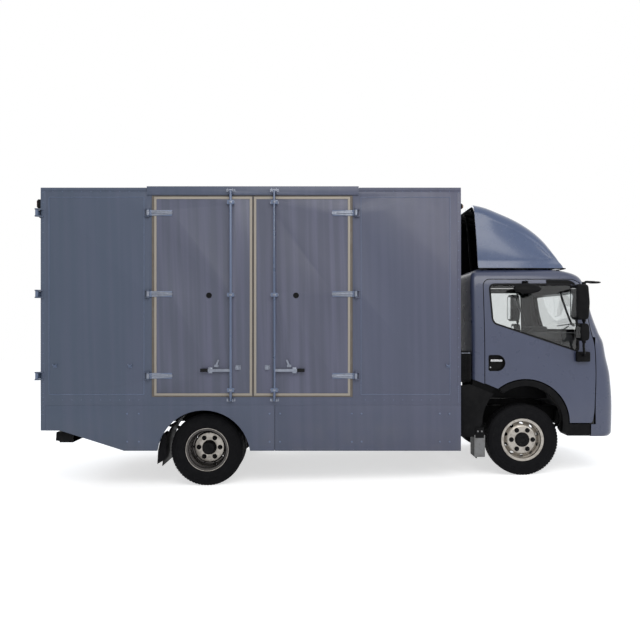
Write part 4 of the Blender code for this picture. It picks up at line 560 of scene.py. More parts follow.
def softened(node_name, radius, finish=None, smooth=35, segments=2, bevel_angle=30, choose=None):
    """The choose function takes a face's middle in the level frame and gives its finish's number."""
    node = nodes[node_name]
    mesh = node.data.copy()
    drawn = bmesh.new()
    drawn.from_mesh(mesh)
    bmesh.ops.remove_doubles(drawn, verts=drawn.verts, dist=0.00002)
    bmesh.ops.dissolve_limit(drawn, angle_limit=math.radians(0.5), verts=drawn.verts, edges=drawn.edges)
    drawn.to_mesh(mesh)
    drawn.free()
    if radius:
        rounding = {"width": radius, "segments": segments, "limit_method": "ANGLE", "harden_normals": False}
        rounding["angle_limit"] = math.radians(bevel_angle)
        rounding["use_clamp_overlap"] = True
        mesh = with_modifiers(mesh, ("BEVEL", rounding))
    finish = finish or FINISH_OF.get(node_name, tyre_rubber)
    if choose:
        to_level = LEVEL.inverted()
        for polygon in mesh.polygons:
            polygon.material_index = choose(to_level @ polygon.center)
    piece = add_piece(
        node_name + "_dressed", mesh, finish, body_of(node)[0], smooth, level=False
    )
    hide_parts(node_name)
    return piece


# %% [markdown]
# A handful of drawing tools make nearly every rigid piece: an outline pushed along an axis, sections joined
# by a skin, a profile turned round an axis, and a Boolean of two closed shapes. Each returns a mesh in the
# level frame.

# %% Drawing tools
SIDES = {"right": -1, "left": 1}


def as_mesh(drawn, name="shape"):
    bmesh.ops.recalc_face_normals(drawn, faces=drawn.faces)
    mesh = bpy.data.meshes.new(name)
    drawn.to_mesh(mesh)
    drawn.free()
    return mesh


def loft(sections, closed_ends=True):
    """Quads between sections of as many points each."""
    drawn = bmesh.new()
    rings = [[drawn.verts.new(point) for point in section] for section in sections]
    count = len(rings[0])
    for one, two in zip(rings, rings[1:]):
        for i in range(count):
            j = (i + 1) % count
            drawn.faces.new((one[i], one[j], two[j], two[i]))
    if closed_ends:
        drawn.faces.new(rings[0])
        drawn.faces.new(rings[-1])
    return as_mesh(drawn)


def prism(axis, outline, span):
    """An outline pushed along the axis. Its points are (y, z) for X, (x, z) for Y and (x, y) for Z."""
    order = {
        "X": lambda a, b, end: (end, a, b), "Y": lambda a, b, end: (a, end, b), "Z": lambda a, b,
        end: (a, b, end)
    }
    return loft([[order[axis](a, b, end) for a, b in outline] for end in span])


def block(x, y, z):
    x, y = sorted(x), sorted(y)
    return prism("Z", [(x[0], y[0]), (x[1], y[0]), (x[1], y[1]), (x[0], y[1])], sorted(z))


def rounded_block(x, y, z, radius, segments=3):
    return with_modifiers(block(x, y, z), ("BEVEL", {"width": radius, "segments": segments}))


def turned(profile, sides, matrix=None, phase=0.5):
    """A closed profile of (radius, along) turned round the matrix's own Z axis."""
    drawn = bmesh.new()
    rows = []
    for radius, along in profile:
        if radius == 0:
            rows.append([drawn.verts.new((0, 0, along))] * sides)
            continue
        angles = [(i + phase) * math.tau / sides for i in range(sides)]
        rows.append([drawn.verts.new((radius * math.cos(a), radius * math.sin(a), along)) for a in angles])
    for one, two in zip(rows, rows[1:] + rows[:1]):
        for i in range(sides):
            j = (i + 1) % sides
            face = list(dict.fromkeys((one[i], one[j], two[j], two[i])))
            if len(face) > 2:
                drawn.faces.new(face)
    bmesh.ops.transform(drawn, matrix=matrix or Matrix(), verts=drawn.verts)
    return as_mesh(drawn)


def outward(x, y, z, side):
    """A frame at this point whose Z axis points out of the truck's side."""
    return Matrix.Translation((x, y, z)) @ Matrix(((1, 0, 0), (0, 0, side), (0, -side, 0))).to_4x4()


def rod(start, end, radius, sides=16, soft=0.0):
    start = Vector(start)
    along = Vector(end) - start
    place = Matrix.Translation(start) @ along.to_track_quat("Z", "Y").to_matrix().to_4x4()
    length = along.length
    profile = [
        (0, 0), (radius - soft, 0), (radius, soft), (radius, length - soft), (radius - soft, length),
        (0, length)
    ]
    if not soft:
        profile = [(0, 0), (radius, 0), (radius, length), (0, length)]
    return turned(profile, sides, place)


def arc(centre, radius, start, end, steps):
    angles = [math.radians(start + (end - start) * i / steps) for i in range(steps + 1)]
    return [(centre[0] + radius * math.cos(a), centre[1] + radius * math.sin(a)) for a in angles]


def grown(outline, distance):
    """An outline with each edge moved out by the distance, or in where it is negative."""
    count = len(outline)
    points = [Vector(point) for point in outline]
    area = sum(points[i - 1].cross(points[i]) for i in range(count))
    way = 1 if area > 0 else -1
    moved = []
    for i in range(count):
        before = (points[i] - points[i - 1]).normalized()
        after = (points[(i + 1) % count] - points[i]).normalized()
        normals = [Vector((edge.y, -edge.x)) * way for edge in (before, after)]
        middle = normals[0] + normals[1]
        moved.append(tuple(points[i] + middle * (2 * distance / middle.length_squared)))
    return moved


def softened_outline(outline, radius, steps=5):
    """An outline with each corner rounded, where its edges leave room."""
    count = len(outline)
    result = []
    for i in range(count):
        corner = Vector(outline[i])
        before = Vector(outline[i - 1]) - corner
        after = Vector(outline[(i + 1) % count]) - corner
        reach = min(radius, before.length * 0.45, after.length * 0.45)
        start = corner + before.normalized() * reach
        end = corner + after.normalized() * reach
        for k in range(steps + 1):
            t = k / steps
            result.append(tuple(start * (1 - t) ** 2 + corner * 2 * t * (1 - t) + end * t ** 2))
    return result


def tube(path, radius, sides=12):
    """A round tube along smooth points, closed at both ends."""
    points = [Vector(p) for p in path]
    sections = []
    up = Vector((0, 0, 1))
    for i, point in enumerate(points):
        ahead = points[min(i + 1, len(points) - 1)] - points[max(i - 1, 0)]
        ahead.normalize()
        across = ahead.cross(up if abs(ahead.z) < 0.95 else Vector((1, 0, 0))).normalized()
        rise = across.cross(ahead)
        if sections and across.dot(last) < 0:
            across, rise = -across, -rise
        last = across
        turns = [k * math.tau / sides for k in range(sides)]
        sections.append([point + (across * math.cos(a) + rise * math.sin(a)) * radius for a in turns])
    return loft(sections)


def smooth_path(points, steps=8):
    """Catmull-Rom points through the given ones."""
    knots = [Vector(p) for p in points]
    knots = [2 * knots[0] - knots[1]] + knots + [2 * knots[-1] - knots[-2]]
    result = []
    for a, b, c, d in zip(knots, knots[1:], knots[2:], knots[3:]):
        for k in range(steps):
            t = k / steps
            result.append(
                0.5 * (
                    2 * b + (c - a) * t + (
                        2 * a - 5 * b + 4 * c - d
                    ) * t * t + (3 * b - a - 3 * c + d) * t ** 3
                )
            )
    return result + [knots[-2]]


def together(*meshes):
    """Several closed shapes in one mesh, left as they are."""
    drawn = bmesh.new()
    for mesh in meshes:
        drawn.from_mesh(mesh)
    mesh = bpy.data.meshes.new("shapes")
    drawn.to_mesh(mesh)
    drawn.free()
    return mesh


def mirrored(mesh):
    """The same shape on the truck's other side, with its faces still outwards."""
    copy = mesh.copy()
    copy.transform(Matrix.Diagonal((1, -1, 1, 1)))
    copy.flip_normals()
    return copy


def marked(mesh, index):
    """The same shape with this material index on every face. A Boolean leaves it on the faces it cuts."""
    mesh.polygons.foreach_set("material_index", [index] * len(mesh.polygons))
    return mesh


def combined(mesh, others, operation):
    for shape in (mesh, *others):
        while len(shape.materials) < 4:
            shape.materials.append(pale)
    carrier = bpy.data.objects.new("carrier", mesh)
    scene.collection.objects.link(carrier)
    helpers = []
    for other in others:
        helper = bpy.data.objects.new("helper", other)
        scene.collection.objects.link(helper)
        helpers.append(helper)
        modifier = carrier.modifiers.new(operation, "BOOLEAN")
        modifier.operation = operation
        modifier.object = helper
    result = bpy.data.meshes.new_from_object(carrier.evaluated_get(bpy.context.evaluated_depsgraph_get()))
    for made in [carrier] + helpers:
        bpy.data.objects.remove(made)
    drawn = bmesh.new()
    drawn.from_mesh(result)
    bmesh.ops.remove_doubles(drawn, verts=drawn.verts, dist=0.00002)
    bmesh.ops.dissolve_degenerate(drawn, edges=drawn.edges, dist=0.00002)
    drawn.to_mesh(result)
    drawn.free()
    return result


def cut(mesh, *others):
    return combined(mesh, others, "DIFFERENCE")


def keep(mesh, *others):
    return combined(mesh, others, "INTERSECT")


def fuse(mesh, *others):
    return combined(mesh, others, "UNION")


print("drawing tools ready")

# %% [markdown]
# Rivets, bolts, wheel nuts and tread blocks repeat one small shape. Geometry Nodes place the copies: points
# along a line or round a circle carry an instance each, which is then made real, because an exported model
# has no instances. The tree has named inputs, so one tree serves every row of rivets on the truck.

# %% Rows and rings by Geometry Nodes


def repeat_tree(name, ring):
    tree = bpy.data.node_groups.new(name, "GeometryNodeTree")
    face = tree.interface
    face.new_socket("Geometry", in_out="OUTPUT", socket_type="NodeSocketGeometry")
    face.new_socket("Geometry", in_out="INPUT", socket_type="NodeSocketGeometry")
    face.new_socket("Shape", in_out="INPUT", socket_type="NodeSocketObject")
    face.new_socket("Count", in_out="INPUT", socket_type="NodeSocketInt")
    if ring:
        face.new_socket("Radius", in_out="INPUT", socket_type="NodeSocketFloat")
    else:
        face.new_socket("Start", in_out="INPUT", socket_type="NodeSocketVector")
        face.new_socket("End", in_out="INPUT", socket_type="NodeSocketVector")
    face.new_socket("Material", in_out="INPUT", socket_type="NodeSocketMaterial")
    inputs = tree.nodes.new("NodeGroupInput")
    outputs = tree.nodes.new("NodeGroupOutput")
    if ring:
        points = tree.nodes.new("GeometryNodeMeshCircle")
        tree.links.new(inputs.outputs["Count"], points.inputs["Vertices"])
        tree.links.new(inputs.outputs["Radius"], points.inputs["Radius"])
        geometry = points.outputs["Mesh"]
    else:
        points = tree.nodes.new("GeometryNodeMeshLine")
        points.mode = "END_POINTS"
        tree.links.new(inputs.outputs["Count"], points.inputs["Count"])
        tree.links.new(inputs.outputs["Start"], points.inputs["Start Location"])
        tree.links.new(inputs.outputs["End"], points.inputs["Offset"])
        geometry = points.outputs["Mesh"]
    shape = tree.nodes.new("GeometryNodeObjectInfo")
    tree.links.new(inputs.outputs["Shape"], shape.inputs["Object"])
    place = tree.nodes.new("GeometryNodeInstanceOnPoints")
    tree.links.new(geometry, place.inputs["Points"])
    tree.links.new(shape.outputs["Geometry"], place.inputs["Instance"])
    if ring:
        place_of = tree.nodes.new("GeometryNodeInputPosition")
        towards = tree.nodes.new("FunctionNodeAlignRotationToVector")
        towards.axis = "X"
        towards.pivot_axis = "Z"
        tree.links.new(place_of.outputs["Position"], towards.inputs["Vector"])
        tree.links.new(towards.outputs["Rotation"], place.inputs["Rotation"])
    real = tree.nodes.new("GeometryNodeRealizeInstances")
    tree.links.new(place.outputs["Instances"], real.inputs["Geometry"])
    dressed = tree.nodes.new("GeometryNodeSetMaterial")
    tree.links.new(real.outputs["Geometry"], dressed.inputs["Geometry"])
    tree.links.new(inputs.outputs["Material"], dressed.inputs["Material"])
    tree.links.new(dressed.outputs["Geometry"], outputs.inputs["Geometry"])
    return tree


ring_tree = repeat_tree("ring of copies", True)
row_tree = repeat_tree("row of copies", False)


def repeated(tree, shape, finish, **values):
    """Runs one of the trees and returns its result as a plain mesh."""
    helper = bpy.data.objects.new("one copy", shape)
    carrier = bpy.data.objects.new("copies", bpy.data.meshes.new("copies"))
    scene.collection.objects.link(helper)
    scene.collection.objects.link(carrier)
    modifier = carrier.modifiers.new("copies", "NODES")
    modifier.node_group = tree
    given = dict(values, Shape=helper, Material=finish)
    for socket in tree.interface.items_tree:
        if socket.in_out == "INPUT" and socket.name in given:
            modifier[socket.identifier] = given[socket.name]
    result = bpy.data.meshes.new_from_object(carrier.evaluated_get(bpy.context.evaluated_depsgraph_get()))
    bpy.data.objects.remove(carrier)
    bpy.data.objects.remove(helper)
    return result


def ring_of(shape, finish, count, radius, matrix, turn=0.0):
    """Copies round the matrix's own Z axis, each with its X axis outwards."""
    mesh = repeated(ring_tree, shape, finish, Count=count, Radius=float(radius))
    mesh.transform(matrix @ Matrix.Rotation(turn, 4, "Z"))
    return mesh


def row_of(shape, finish, count, start, end):
    return repeated(row_tree, shape, finish, Count=count, Start=tuple(start), End=tuple(end))


print("row and ring trees ready")

# %% [markdown]
# A truck tyre is a lathe shape: bead, bulging wall with fine rings, round shoulder. Only the tread breaks
# the rule, so the carcass is turned a little small, and Geometry Nodes set rows of rubber blocks round it,
# with the gaps between them as the grooves.

# %% Tyres
TYRE_RADIUS = 0.375
RIM_FLANGE_RADIUS = 0.225
RIM_SEAT_RADIUS = 0.2035
RIM_HALF_WIDTH = 0.0825
GROOVE_DEPTH = 0.008
TREAD_HALF_WIDTH = 0.074
TREAD_ROWS = 72
WHEELBASE = 3.308
FRONT_AXLE_Z = 0.462
FRONT_WHEEL_Y = 0.8075
TWIN_SPACING = 0.215
ROUND = 96


def tyre_profile():
    """Half of the section from the bead to the tread, as (radius, along), then its mirror image."""
    carcass = TYRE_RADIUS - GROOVE_DEPTH
    half = [
        (RIM_SEAT_RADIUS + 0.0012, 0.066), (RIM_SEAT_RADIUS + 0.0012, 0.0722), (
            RIM_FLANGE_RADIUS + 0.0010, 0.0745
        ),
        (
            RIM_FLANGE_RADIUS + 0.0015, 0.0800
        ), (0.2290, 0.0842), (0.2320, 0.0868), (0.2340, 0.0862), (0.2370, 0.0876),
        (0.2450, 0.0900), (0.2600, 0.0921), (0.2750, 0.0925), (0.2900, 0.0925), (0.3040, 0.0920),
        (0.3060, 0.0910), (0.3080, 0.0917), (0.3200, 0.0906), (0.3330, 0.0890), (0.3345, 0.0878),
        (0.3360, 0.0884), (0.3480, 0.0858),
        (0.3570, 0.0820), (0.3635, 0.0770), (carcass, 0.0720), (
            carcass + 0.0004, 0.0400
        ), (carcass + 0.0006, 0.0),
    ]
    return half + [
        (radius, -along)
        for radius, along in reversed(half[:-1])
    ]+ [(0.2200, -0.0600), (0.2200, 0.0600)]


def tread_row():
    """One slice of tread: five blocks, the middle ones set a little ahead of the shoulders."""
    pitch = math.tau * TYRE_RADIUS / TREAD_ROWS
    low, high = -GROOVE_DEPTH - 0.002, 0.0
    shapes = []
    edges = (
        -TREAD_HALF_WIDTH, -0.047, -0.041, -0.017, -0.011, 0.011, 0.017, 0.041, 0.047, TREAD_HALF_WIDTH
    )
    for k in range(5):
        start, end = edges[2 * k], edges[2 * k + 1]
        gap = (0.20, 0.10, 0.08, 0.10, 0.20)[k] * pitch
        shift = (0.25, 0.0, 0.25, 0.0, 0.25)[k] * pitch
        half = (pitch - gap) / 2
        drop = 0.0025 if k in (0, 4) else 0.0
        outline = [(low, -half), (high - drop, -half * 0.94), (high - drop, half * 0.94), (low, half)]
        shapes.append(loft([[(r, t + shift, along) for r, t in outline] for along in (start, end)]))
    return together(*shapes)


def tyre_mesh(place):
    carcass = turned(tyre_profile(), ROUND, place)
    tread = ring_of(tread_row(), tyre_rubber, TREAD_ROWS, TYRE_RADIUS - 0.0003, place)
    return together(carcass, tread)


def wheel_place(x, y, z, side):
    return outward(x, side * y, z, side)


for side_name, side in SIDES.items():
    place = wheel_place(WHEELBASE, FRONT_WHEEL_Y, FRONT_AXLE_Z, side)
    tyre = add_piece(
        side_name + "_front_tyre_dressed", tyre_mesh(place), tyre_rubber, side_name + "_front_wheel",
        32
    )
    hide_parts(side_name + "_front_tyre")
    for which, shift in (("inner", -TWIN_SPACING / 2), ("outer", TWIN_SPACING / 2)):
        place = wheel_place(0, REAR_WHEEL_Y + shift, REAR_AXLE_Z, side)
        name = side_name + "_rear_" + which + "_tyre"
        tyre = add_piece(
            name + "_dressed", tyre_mesh(place), tyre_rubber, side_name + "_rear_wheels", 32
        )
        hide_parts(name)
print("six tyres with", TREAD_ROWS, "rows of tread each")

# %% [markdown]
# The wheels are pressed steel discs in rolled barrels. A front disc bulges out and has ten round holes in
# its sloping edge; a rear one is deeply dished, so that two fit back to back. The disc is turned like the
# tyre, the holes are cut through by a Boolean, and a ring of nuts in dark seats is added round the hub.

# %% Wheel parts
VENT_HOLES = 10
VENT_RADIUS = 0.0200
VENT_CIRCLE = 0.1690
NUT_CIRCLE = 0.1125
NUTS = 6
HUB_RADIUS = 0.078
WALL = 0.006


def barrel_profile(sign, centre):
    """The rolled barrel, with a rounded lip on both flanges and a drop centre."""
    half = RIM_HALF_WIDTH
    flange, seat = RIM_FLANGE_RADIUS, RIM_SEAT_RADIUS
    outer = [
        (flange - 0.002, half), (flange, half - 0.002), (flange, half - 0.005),
        (flange - 0.004, half - 0.0075)
    ]
    outer += [
        (seat + 0.004, half - 0.0090), (seat, half - 0.0120), (seat - 0.001, half - 0.036),
        (seat - 0.016, half - 0.050)
    ]
    outer += [
        (seat - 0.016, 0.052 - half), (seat - 0.001, 0.036 - half), (seat, 0.012 - half),
        (seat + 0.004, 0.009 - half)
    ]
    outer += [
        (flange - 0.004, 0.0075 - half), (flange, 0.005 - half), (flange, 0.002 - half),
        (flange - 0.002, -half)
    ]
    inner = [
        (flange - 0.007, 0.0005 - half), (seat - WALL, 0.006 - half), (seat - WALL - 0.001, 0.040 - half)
    ]
    inner += [
        (seat - 0.016 - WALL, 0.055 - half), (seat - 0.016 - WALL, half - 0.052),
        (seat - WALL - 0.001, half - 0.036)
    ]
    inner += [(seat - WALL, half - 0.006), (flange - 0.007, half - 0.0005)]
    return [(radius, centre + sign * along) for radius, along in outer + inner]


def with_painted_shade_well(mesh, place, low, high):
    """Marks the faces between two radii for the dark finish, painted shade for the deep well and the bowl.
    The lips and the nut face stay silver.
    """
    back = place.inverted()
    for polygon in mesh.polygons:
        point = back @ polygon.center
        away = math.hypot(point.x, point.y)
        polygon.material_index = 1 if low < away < high else 0
    return mesh


def nut_shape():
    """A wheel nut with its flange and a rounded tip, its own axis along Z."""
    hexagon = turned(
        [
            (0, 0), (0.0155, 0), (0.0155, 0.020), (0.0125, 0.0235), (0.0070, 0.0240), (0.0065, 0.0290),
            (0, 0.0290)
        ],
        6
    )
    washer = turned([(0, 0), (0.0190, 0), (0.0185, 0.0035), (0.0150, 0.0045), (0, 0.0045)], 20)
    return together(hexagon, washer)


def nut_seat():
    """A dark dished seat under a nut, a shallow ring proud of the disc."""
    return turned(
        [(0.0165, -0.002), (0.0250, -0.002), (0.0258, 0.0006), (0.0235, 0.0012), (0.0165, 0.0002)], 24
    )


def hub_with_nuts(side_name, which, place, face, hub_high, finish_body):
    """The black hub, its cap and the nuts, at this height along the wheel's axis."""
    hub = [(0, face - 0.030), (HUB_RADIUS - 0.004, face - 0.030), (HUB_RADIUS - 0.001, face + 0.002)]
    hub += [
        (HUB_RADIUS - 0.003, face + 0.010), (HUB_RADIUS - 0.012, hub_high - 0.010),
        (HUB_RADIUS - 0.018, hub_high - 0.003)
    ]
    hub += [
        (HUB_RADIUS - 0.030, hub_high), (0.030, hub_high), (0.026, hub_high - 0.005), (0, hub_high - 0.005)
    ]
    body = turned(hub, 48, place)
    raised = place @ Matrix.Translation((0, 0, face))
    bolts = ring_of(nut_shape(), black_steel, NUTS, NUT_CIRCLE, raised)
    seats = ring_of(nut_seat(), black_steel, NUTS, NUT_CIRCLE, raised)
    add_piece(
        side_name + "_" + which + "_hub", together(body, bolts, seats), black_steel, finish_body,
        35
    )


print("wheel tools ready")

# %% Front wheels
for side_name, side in SIDES.items():
    place = wheel_place(WHEELBASE, FRONT_WHEEL_Y, FRONT_AXLE_Z, side)
    barrel = turned(barrel_profile(1, 0), ROUND, place)
    face = 0.0660
    front = [
        (0.074, face), (0.128, face), (0.138, face - 0.0015), (0.148, face - 0.007), (0.160, face - 0.018)
    ]
    front += [(0.172, face - 0.031), (0.182, face - 0.040), (0.1868, face - 0.043)]
    back = [(0.1868, face - 0.054), (0.178, face - 0.050), (0.166, face - 0.040), (0.154, face - 0.026)]
    back += [(0.144, face - 0.015), (0.134, face - 0.010), (0.074, face - 0.009)]
    disc = turned(front + back, ROUND, place)
    tilt = Matrix.Rotation(math.radians(42), 4, "Y")
    drill = turned([(0, -0.05), (VENT_RADIUS, -0.05), (VENT_RADIUS, 0.05), (0, 0.05)], 24, tilt)
    drills = ring_of(
        drill, black_steel, VENT_HOLES, VENT_CIRCLE, place @ Matrix.Translation((0, 0, face - 0.034)),
        math.pi / VENT_HOLES
    )
    disc = cut(disc, drills)
    body = side_name + "_front_wheel"
    rim = add_piece(
        side_name + "_front_rim_dressed", together(barrel, disc), rim_silver, body, 30
    )
    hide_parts(side_name + "_front_rim")
    hub_with_nuts(side_name, "front", place, face, 0.0905, body)
print("front wheels: barrel, disc with", VENT_HOLES, "holes, hub and nuts")

# %% [markdown]
# The rear disc of the outer wheel sits far in. Its flat nut face shows pale in a dark bowl: the bowl's
# sloping wall turns away from the light, as the real one does, and that wall and the barrel also take a
# dark metal, painted shade for the shadow in the deep dish.

# %% Rear wheels
REAR_FACE = 0.0450
for side_name, side in SIDES.items():
    middle = wheel_place(0, REAR_WHEEL_Y, REAR_AXLE_Z, side)
    shapes = []
    for sign in (1, -1):
        centre = sign * TWIN_SPACING / 2
        shapes.append(
            with_painted_shade_well(turned(barrel_profile(sign, centre), ROUND, middle), middle, 0.0, 0.2140)
        )
    front = [
        (0.074, REAR_FACE), (0.146, REAR_FACE), (0.153, REAR_FACE - 0.0015), (0.1565, REAR_FACE - 0.006)
    ]
    front += [
        (0.1600, REAR_FACE - 0.020), (0.1680, REAR_FACE - 0.026), (0.1790, REAR_FACE - 0.024),
        (0.1830, REAR_FACE - 0.014)
    ]
    back = [
        (0.1830, REAR_FACE - 0.026), (0.1790, REAR_FACE - 0.034), (0.1660, REAR_FACE - 0.036),
        (0.1520, REAR_FACE - 0.030)
    ]
    back += [(0.1480, REAR_FACE - 0.012), (0.074, REAR_FACE - 0.012)]
    disc = turned(front + back, ROUND, middle)
    twin = turned([(radius, -along) for radius, along in front + back], ROUND, middle)
    drill = turned([(0, -0.2), (0.0100, -0.2), (0.0100, 0.2), (0, 0.2)], 16)
    drills = ring_of(drill, black_steel, VENT_HOLES, 0.1700, middle)
    shapes += [with_painted_shade_well(cut(shape, drills.copy()), middle, 0.1555, 0.200) for shape in (disc, twin)]
    shapes.append(
        turned(
            [
                (0.074, 0.020 - REAR_FACE), (0.140, 0.020 - REAR_FACE), (0.140, REAR_FACE - 0.010),
                (0.074, REAR_FACE - 0.010)
            ],
            48, middle
        )
    )
    body = side_name + "_rear_wheels"
    # The second finish, the dark metal, is painted shade in the barrels' well and on the bowl's sloping
    # wall.
    rim = add_piece(
        side_name + "_rear_rims_dressed", together(*shapes), (rim_silver, rim_painted_shade), body, 30
    )
    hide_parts(side_name + "_rear_rims")
    hub_with_nuts(side_name, "rear", middle, REAR_FACE, 0.118, body)
print("rear twin wheels made")

# %% [markdown]
# The cab is one smooth pressed form, cut into panels by thin shut lines. A table gives its half width and
# the place of its front corner at a few heights; a curve through the rows fills in the heights between, so
# light flows over it without facets. Doors, bumper and glass are all cut out of this one form, which is why
# they line up.

# %% The cab's form
BOX_FRONT = 2.618
CAB_REAR = 2.771
CAB_WALL = 0.045
CAB_CORNER = 0.140
CAB_REAR_CORNER = 0.050
CAB_FACE_ANGLE = 10
CAB_SILHOUETTE_ANGLE = 24.4
CAB_TOP = 2.272
CAB_SEAM = 1.126
CAB_KNEE = 2.060
SHUT_GAP = 0.008

# One row a level: height, half width, front corner ahead of the front axle, rounding in from the rear
CAB_LEVELS = (
    (0.508, 0.930, 0.927, 0.000),
    (0.540, 0.945, 0.944, 0.000),
    (0.815, 0.950, 0.948, 0.000),
    (1.126, 0.950, 0.928, 0.000),
    (1.345, 0.949, 0.882, 0.000),
    (1.487, 0.945, 0.857, 0.000),
    (1.590, 0.938, 0.812, 0.000),
    (1.820, 0.915, 0.737, 0.000),
    (2.060, 0.888, 0.690, 0.000),
    (2.130, 0.877, 0.667, 0.000),
    (2.185, 0.862, 0.632, 0.006),
    (2.225, 0.838, 0.570, 0.022),
    (2.250, 0.808, 0.485, 0.048),
    (2.265, 0.775, 0.355, 0.080),
    (CAB_TOP, 0.740, 0.175, 0.120),
)


def curve_through(rows, step):
    """Rows between the given ones, on a curve that never overshoots a row."""
    knots = [0.0]
    for one, two in zip(rows, rows[1:]):
        knots.append(knots[-1] + math.hypot(two[0] - one[0], two[2] - one[2]))
    slopes = []
    for column in range(len(rows[0])):
        rises = [
            (rows[i + 1][column] - rows[i][column]) / (knots[i + 1] - knots[i])
            for i in range(len(rows) - 1)
        ]
        middle = [2 * a * b / (a + b) if a * b > 0 else 0.0 for a, b in zip(rises, rises[1:])]
        slopes.append([rises[0]] + middle + [rises[-1]])
    result = []
    for i in range(len(rows) - 1):
        length = knots[i + 1] - knots[i]
        count = max(2, math.ceil(length / step))
        for k in range(count):
            t = k / count
            blend = (
                2 * t**3 - 3 * t**2 + 1, (t**3 - 2 * t**2 + t) * length, 3 * t**2 - 2 * t**3,
                (t**3 - t**2) * length
            )
            row = []
            for column, slope in enumerate(slopes):
                parts = (rows[i][column], slope[i], rows[i + 1][column], slope[i + 1])
                row.append(sum(a * b for a, b in zip(blend, parts)))
            result.append(tuple(row))
    return result + [rows[-1]]


def cab_section(level, inset, fine):
    z, half, front, rounding = level
    half -= inset
    rear = CAB_REAR + rounding + inset
    corner = CAB_CORNER - inset
    centre_x = WHEELBASE + front - CAB_CORNER * math.cos(math.radians(CAB_SILHOUETTE_ANGLE))
    rear_corner = max(CAB_REAR_CORNER - inset, 0.004)
    right = arc((rear + rear_corner, rear_corner - half), rear_corner, 180, 270, 6 if fine else 3)
    start_x = right[-1][0]
    length = centre_x - start_x
    side_steps = 56 if fine else 2
    right += [(start_x + length * i / side_steps, -half) for i in range(1, side_steps)]
    right += arc((centre_x, corner - half), corner, 270, 360 - CAB_FACE_ANGLE, 14 if fine else 5)
    end_x, end_y = right[-1]
    bow = -end_y * math.tan(math.radians(CAB_FACE_ANGLE)) / 2
    bow_steps = 10 if fine else 3
    shares = [1 - i / bow_steps for i in range(1, bow_steps)]
    right += [(end_x + bow * (1 - share * share), end_y * share) for share in shares]
    nose = [(end_x + bow, 0)]
    left = [(x, -y) for x, y in reversed(right)]
    return [(x, y, z) for x, y in right + nose + left]


ARCH_X = WHEELBASE + 0.013
ARCH_Z = 0.646
ARCH_RADIUS = 0.455


def arch_swell(x, y, z):
    """How far the pressed band round the wheel arch stands out here."""
    across, up = x - ARCH_X, z - ARCH_Z
    turn = math.degrees(math.atan2(up, across))
    if not 5 < turn < 160:
        return 0.0
    edge = 0.583 + (0.505 - 0.583) * max(0.0, min(1.0, (132 - turn) / 105))
    share = max(0.0, min(1.0, (edge + 0.008 - math.hypot(across, up)) / 0.022))
    fade = max(0.0, min(1.0, (turn - 5) / 25))
    return 0.007 * fade * share * share * (3 - 2 * share)


def cab_form(inset, fine=True):
    rows = curve_through(CAB_LEVELS, 0.024) if fine else list(CAB_LEVELS)
    sections = []
    for z, half, front, rounding in rows:
        share = max(0, (z - CAB_KNEE) / (CAB_TOP - CAB_KNEE))
        section = cab_section((z - inset * share, half, front, rounding), inset, fine)
        if fine and inset < 0.010:
            section = [
                (x, y + math.copysign(arch_swell(x, y, z), y), z) if abs(y) > 0.88 else (x, y, z)
                for x, y, z in section
            ]
        sections.append(section)
    if inset > 0.010:
        first = CAB_LEVELS[0]
        sections.insert(0, cab_section((first[0] - 0.1, *first[1:]), inset, fine))
    return loft(sections)


def cab_skin(outer, inner):
    """The form between two insets. The inside face carries material 3, for the lining."""
    return cut(cab_form(outer), marked(cab_form(inner, inner - outer < 0.02), 3))


outer_form = cab_form(0)
print("cab form with", len(outer_form.polygons), "faces")

# %% [markdown]
# Shut lines and windows are outlines seen from the side. A door is the cab's skin kept inside its outline,
# and the shell is the skin with a slightly larger outline taken out, which leaves the gap.

# %% Outlines of the doors and windows
DOOR_REAR = 2.895
DOOR_TOP = 2.156
DOOR_BOTTOM = 0.646
PIVOT_X = 4.030
PIVOT_Y = 0.925


def arch_outline(radius, start, end, steps):
    return arc((ARCH_X, ARCH_Z), radius, start, end, steps)


def door_outline():
    """Its shut line from the lower rear corner clockwise."""
    front = WHEELBASE
    arch = arch_outline(ARCH_RADIUS + 0.004, 0, 129, 40)
    outline = [(DOOR_REAR, arch[-1][1] + (arch[-1][0] - DOOR_REAR) * 0.416)]
    outline += arc((DOOR_REAR + 0.070, DOOR_TOP - 0.070), 0.070, 180, 90, 10)
    top = [
        (front + 0.520, DOOR_TOP), (front + 0.585, DOOR_TOP - 0.028), (front + 0.625, 2.070),
        (front + 0.697, 1.630)
    ]
    down = [(front + 0.735, 1.465), (front + 0.746, 1.280), (front + 0.747, 1.087), (front + 0.735, 0.769)]
    edge = smooth_path([(x, 0, z) for x, z in top + down], 5)
    outline += [(point.x, point.z) for point in edge]
    outline += [(front + 0.722, 0.680), (front + 0.713, 0.656), (front + 0.695, DOOR_BOTTOM)]
    return outline + arch


def window_outline():
    front = WHEELBASE
    rear = DOOR_REAR + 0.069
    outline = [
        (rear + 0.044, 1.690), (rear + 0.021, 1.730), (rear, 2.060), (rear + 0.012, 2.090),
        (rear + 0.040, 2.100)
    ]
    outline += [
        (front + 0.480, 2.100), (front + 0.515, 2.085), (front + 0.537, 2.050), (front + 0.564, 1.600)
    ]
    return outline + [(front + 0.564, 1.425), (front + 0.552, 1.403)]


def windscreen_outline(grow):
    half = [(0.800, 1.600), (0.815, 1.625), (0.780, 2.020), (0.755, 2.050)]
    outline = [(-y, z) for y, z in half] + [(y, z) for y, z in reversed(half)]
    return softened_outline(grown(outline, grow), 0.04)


def side_span(side):
    return sorted((side * 0.5, side * 1.5))


print("door outline has", len(door_outline()), "points")

# %% The cab shell
front = WHEELBASE
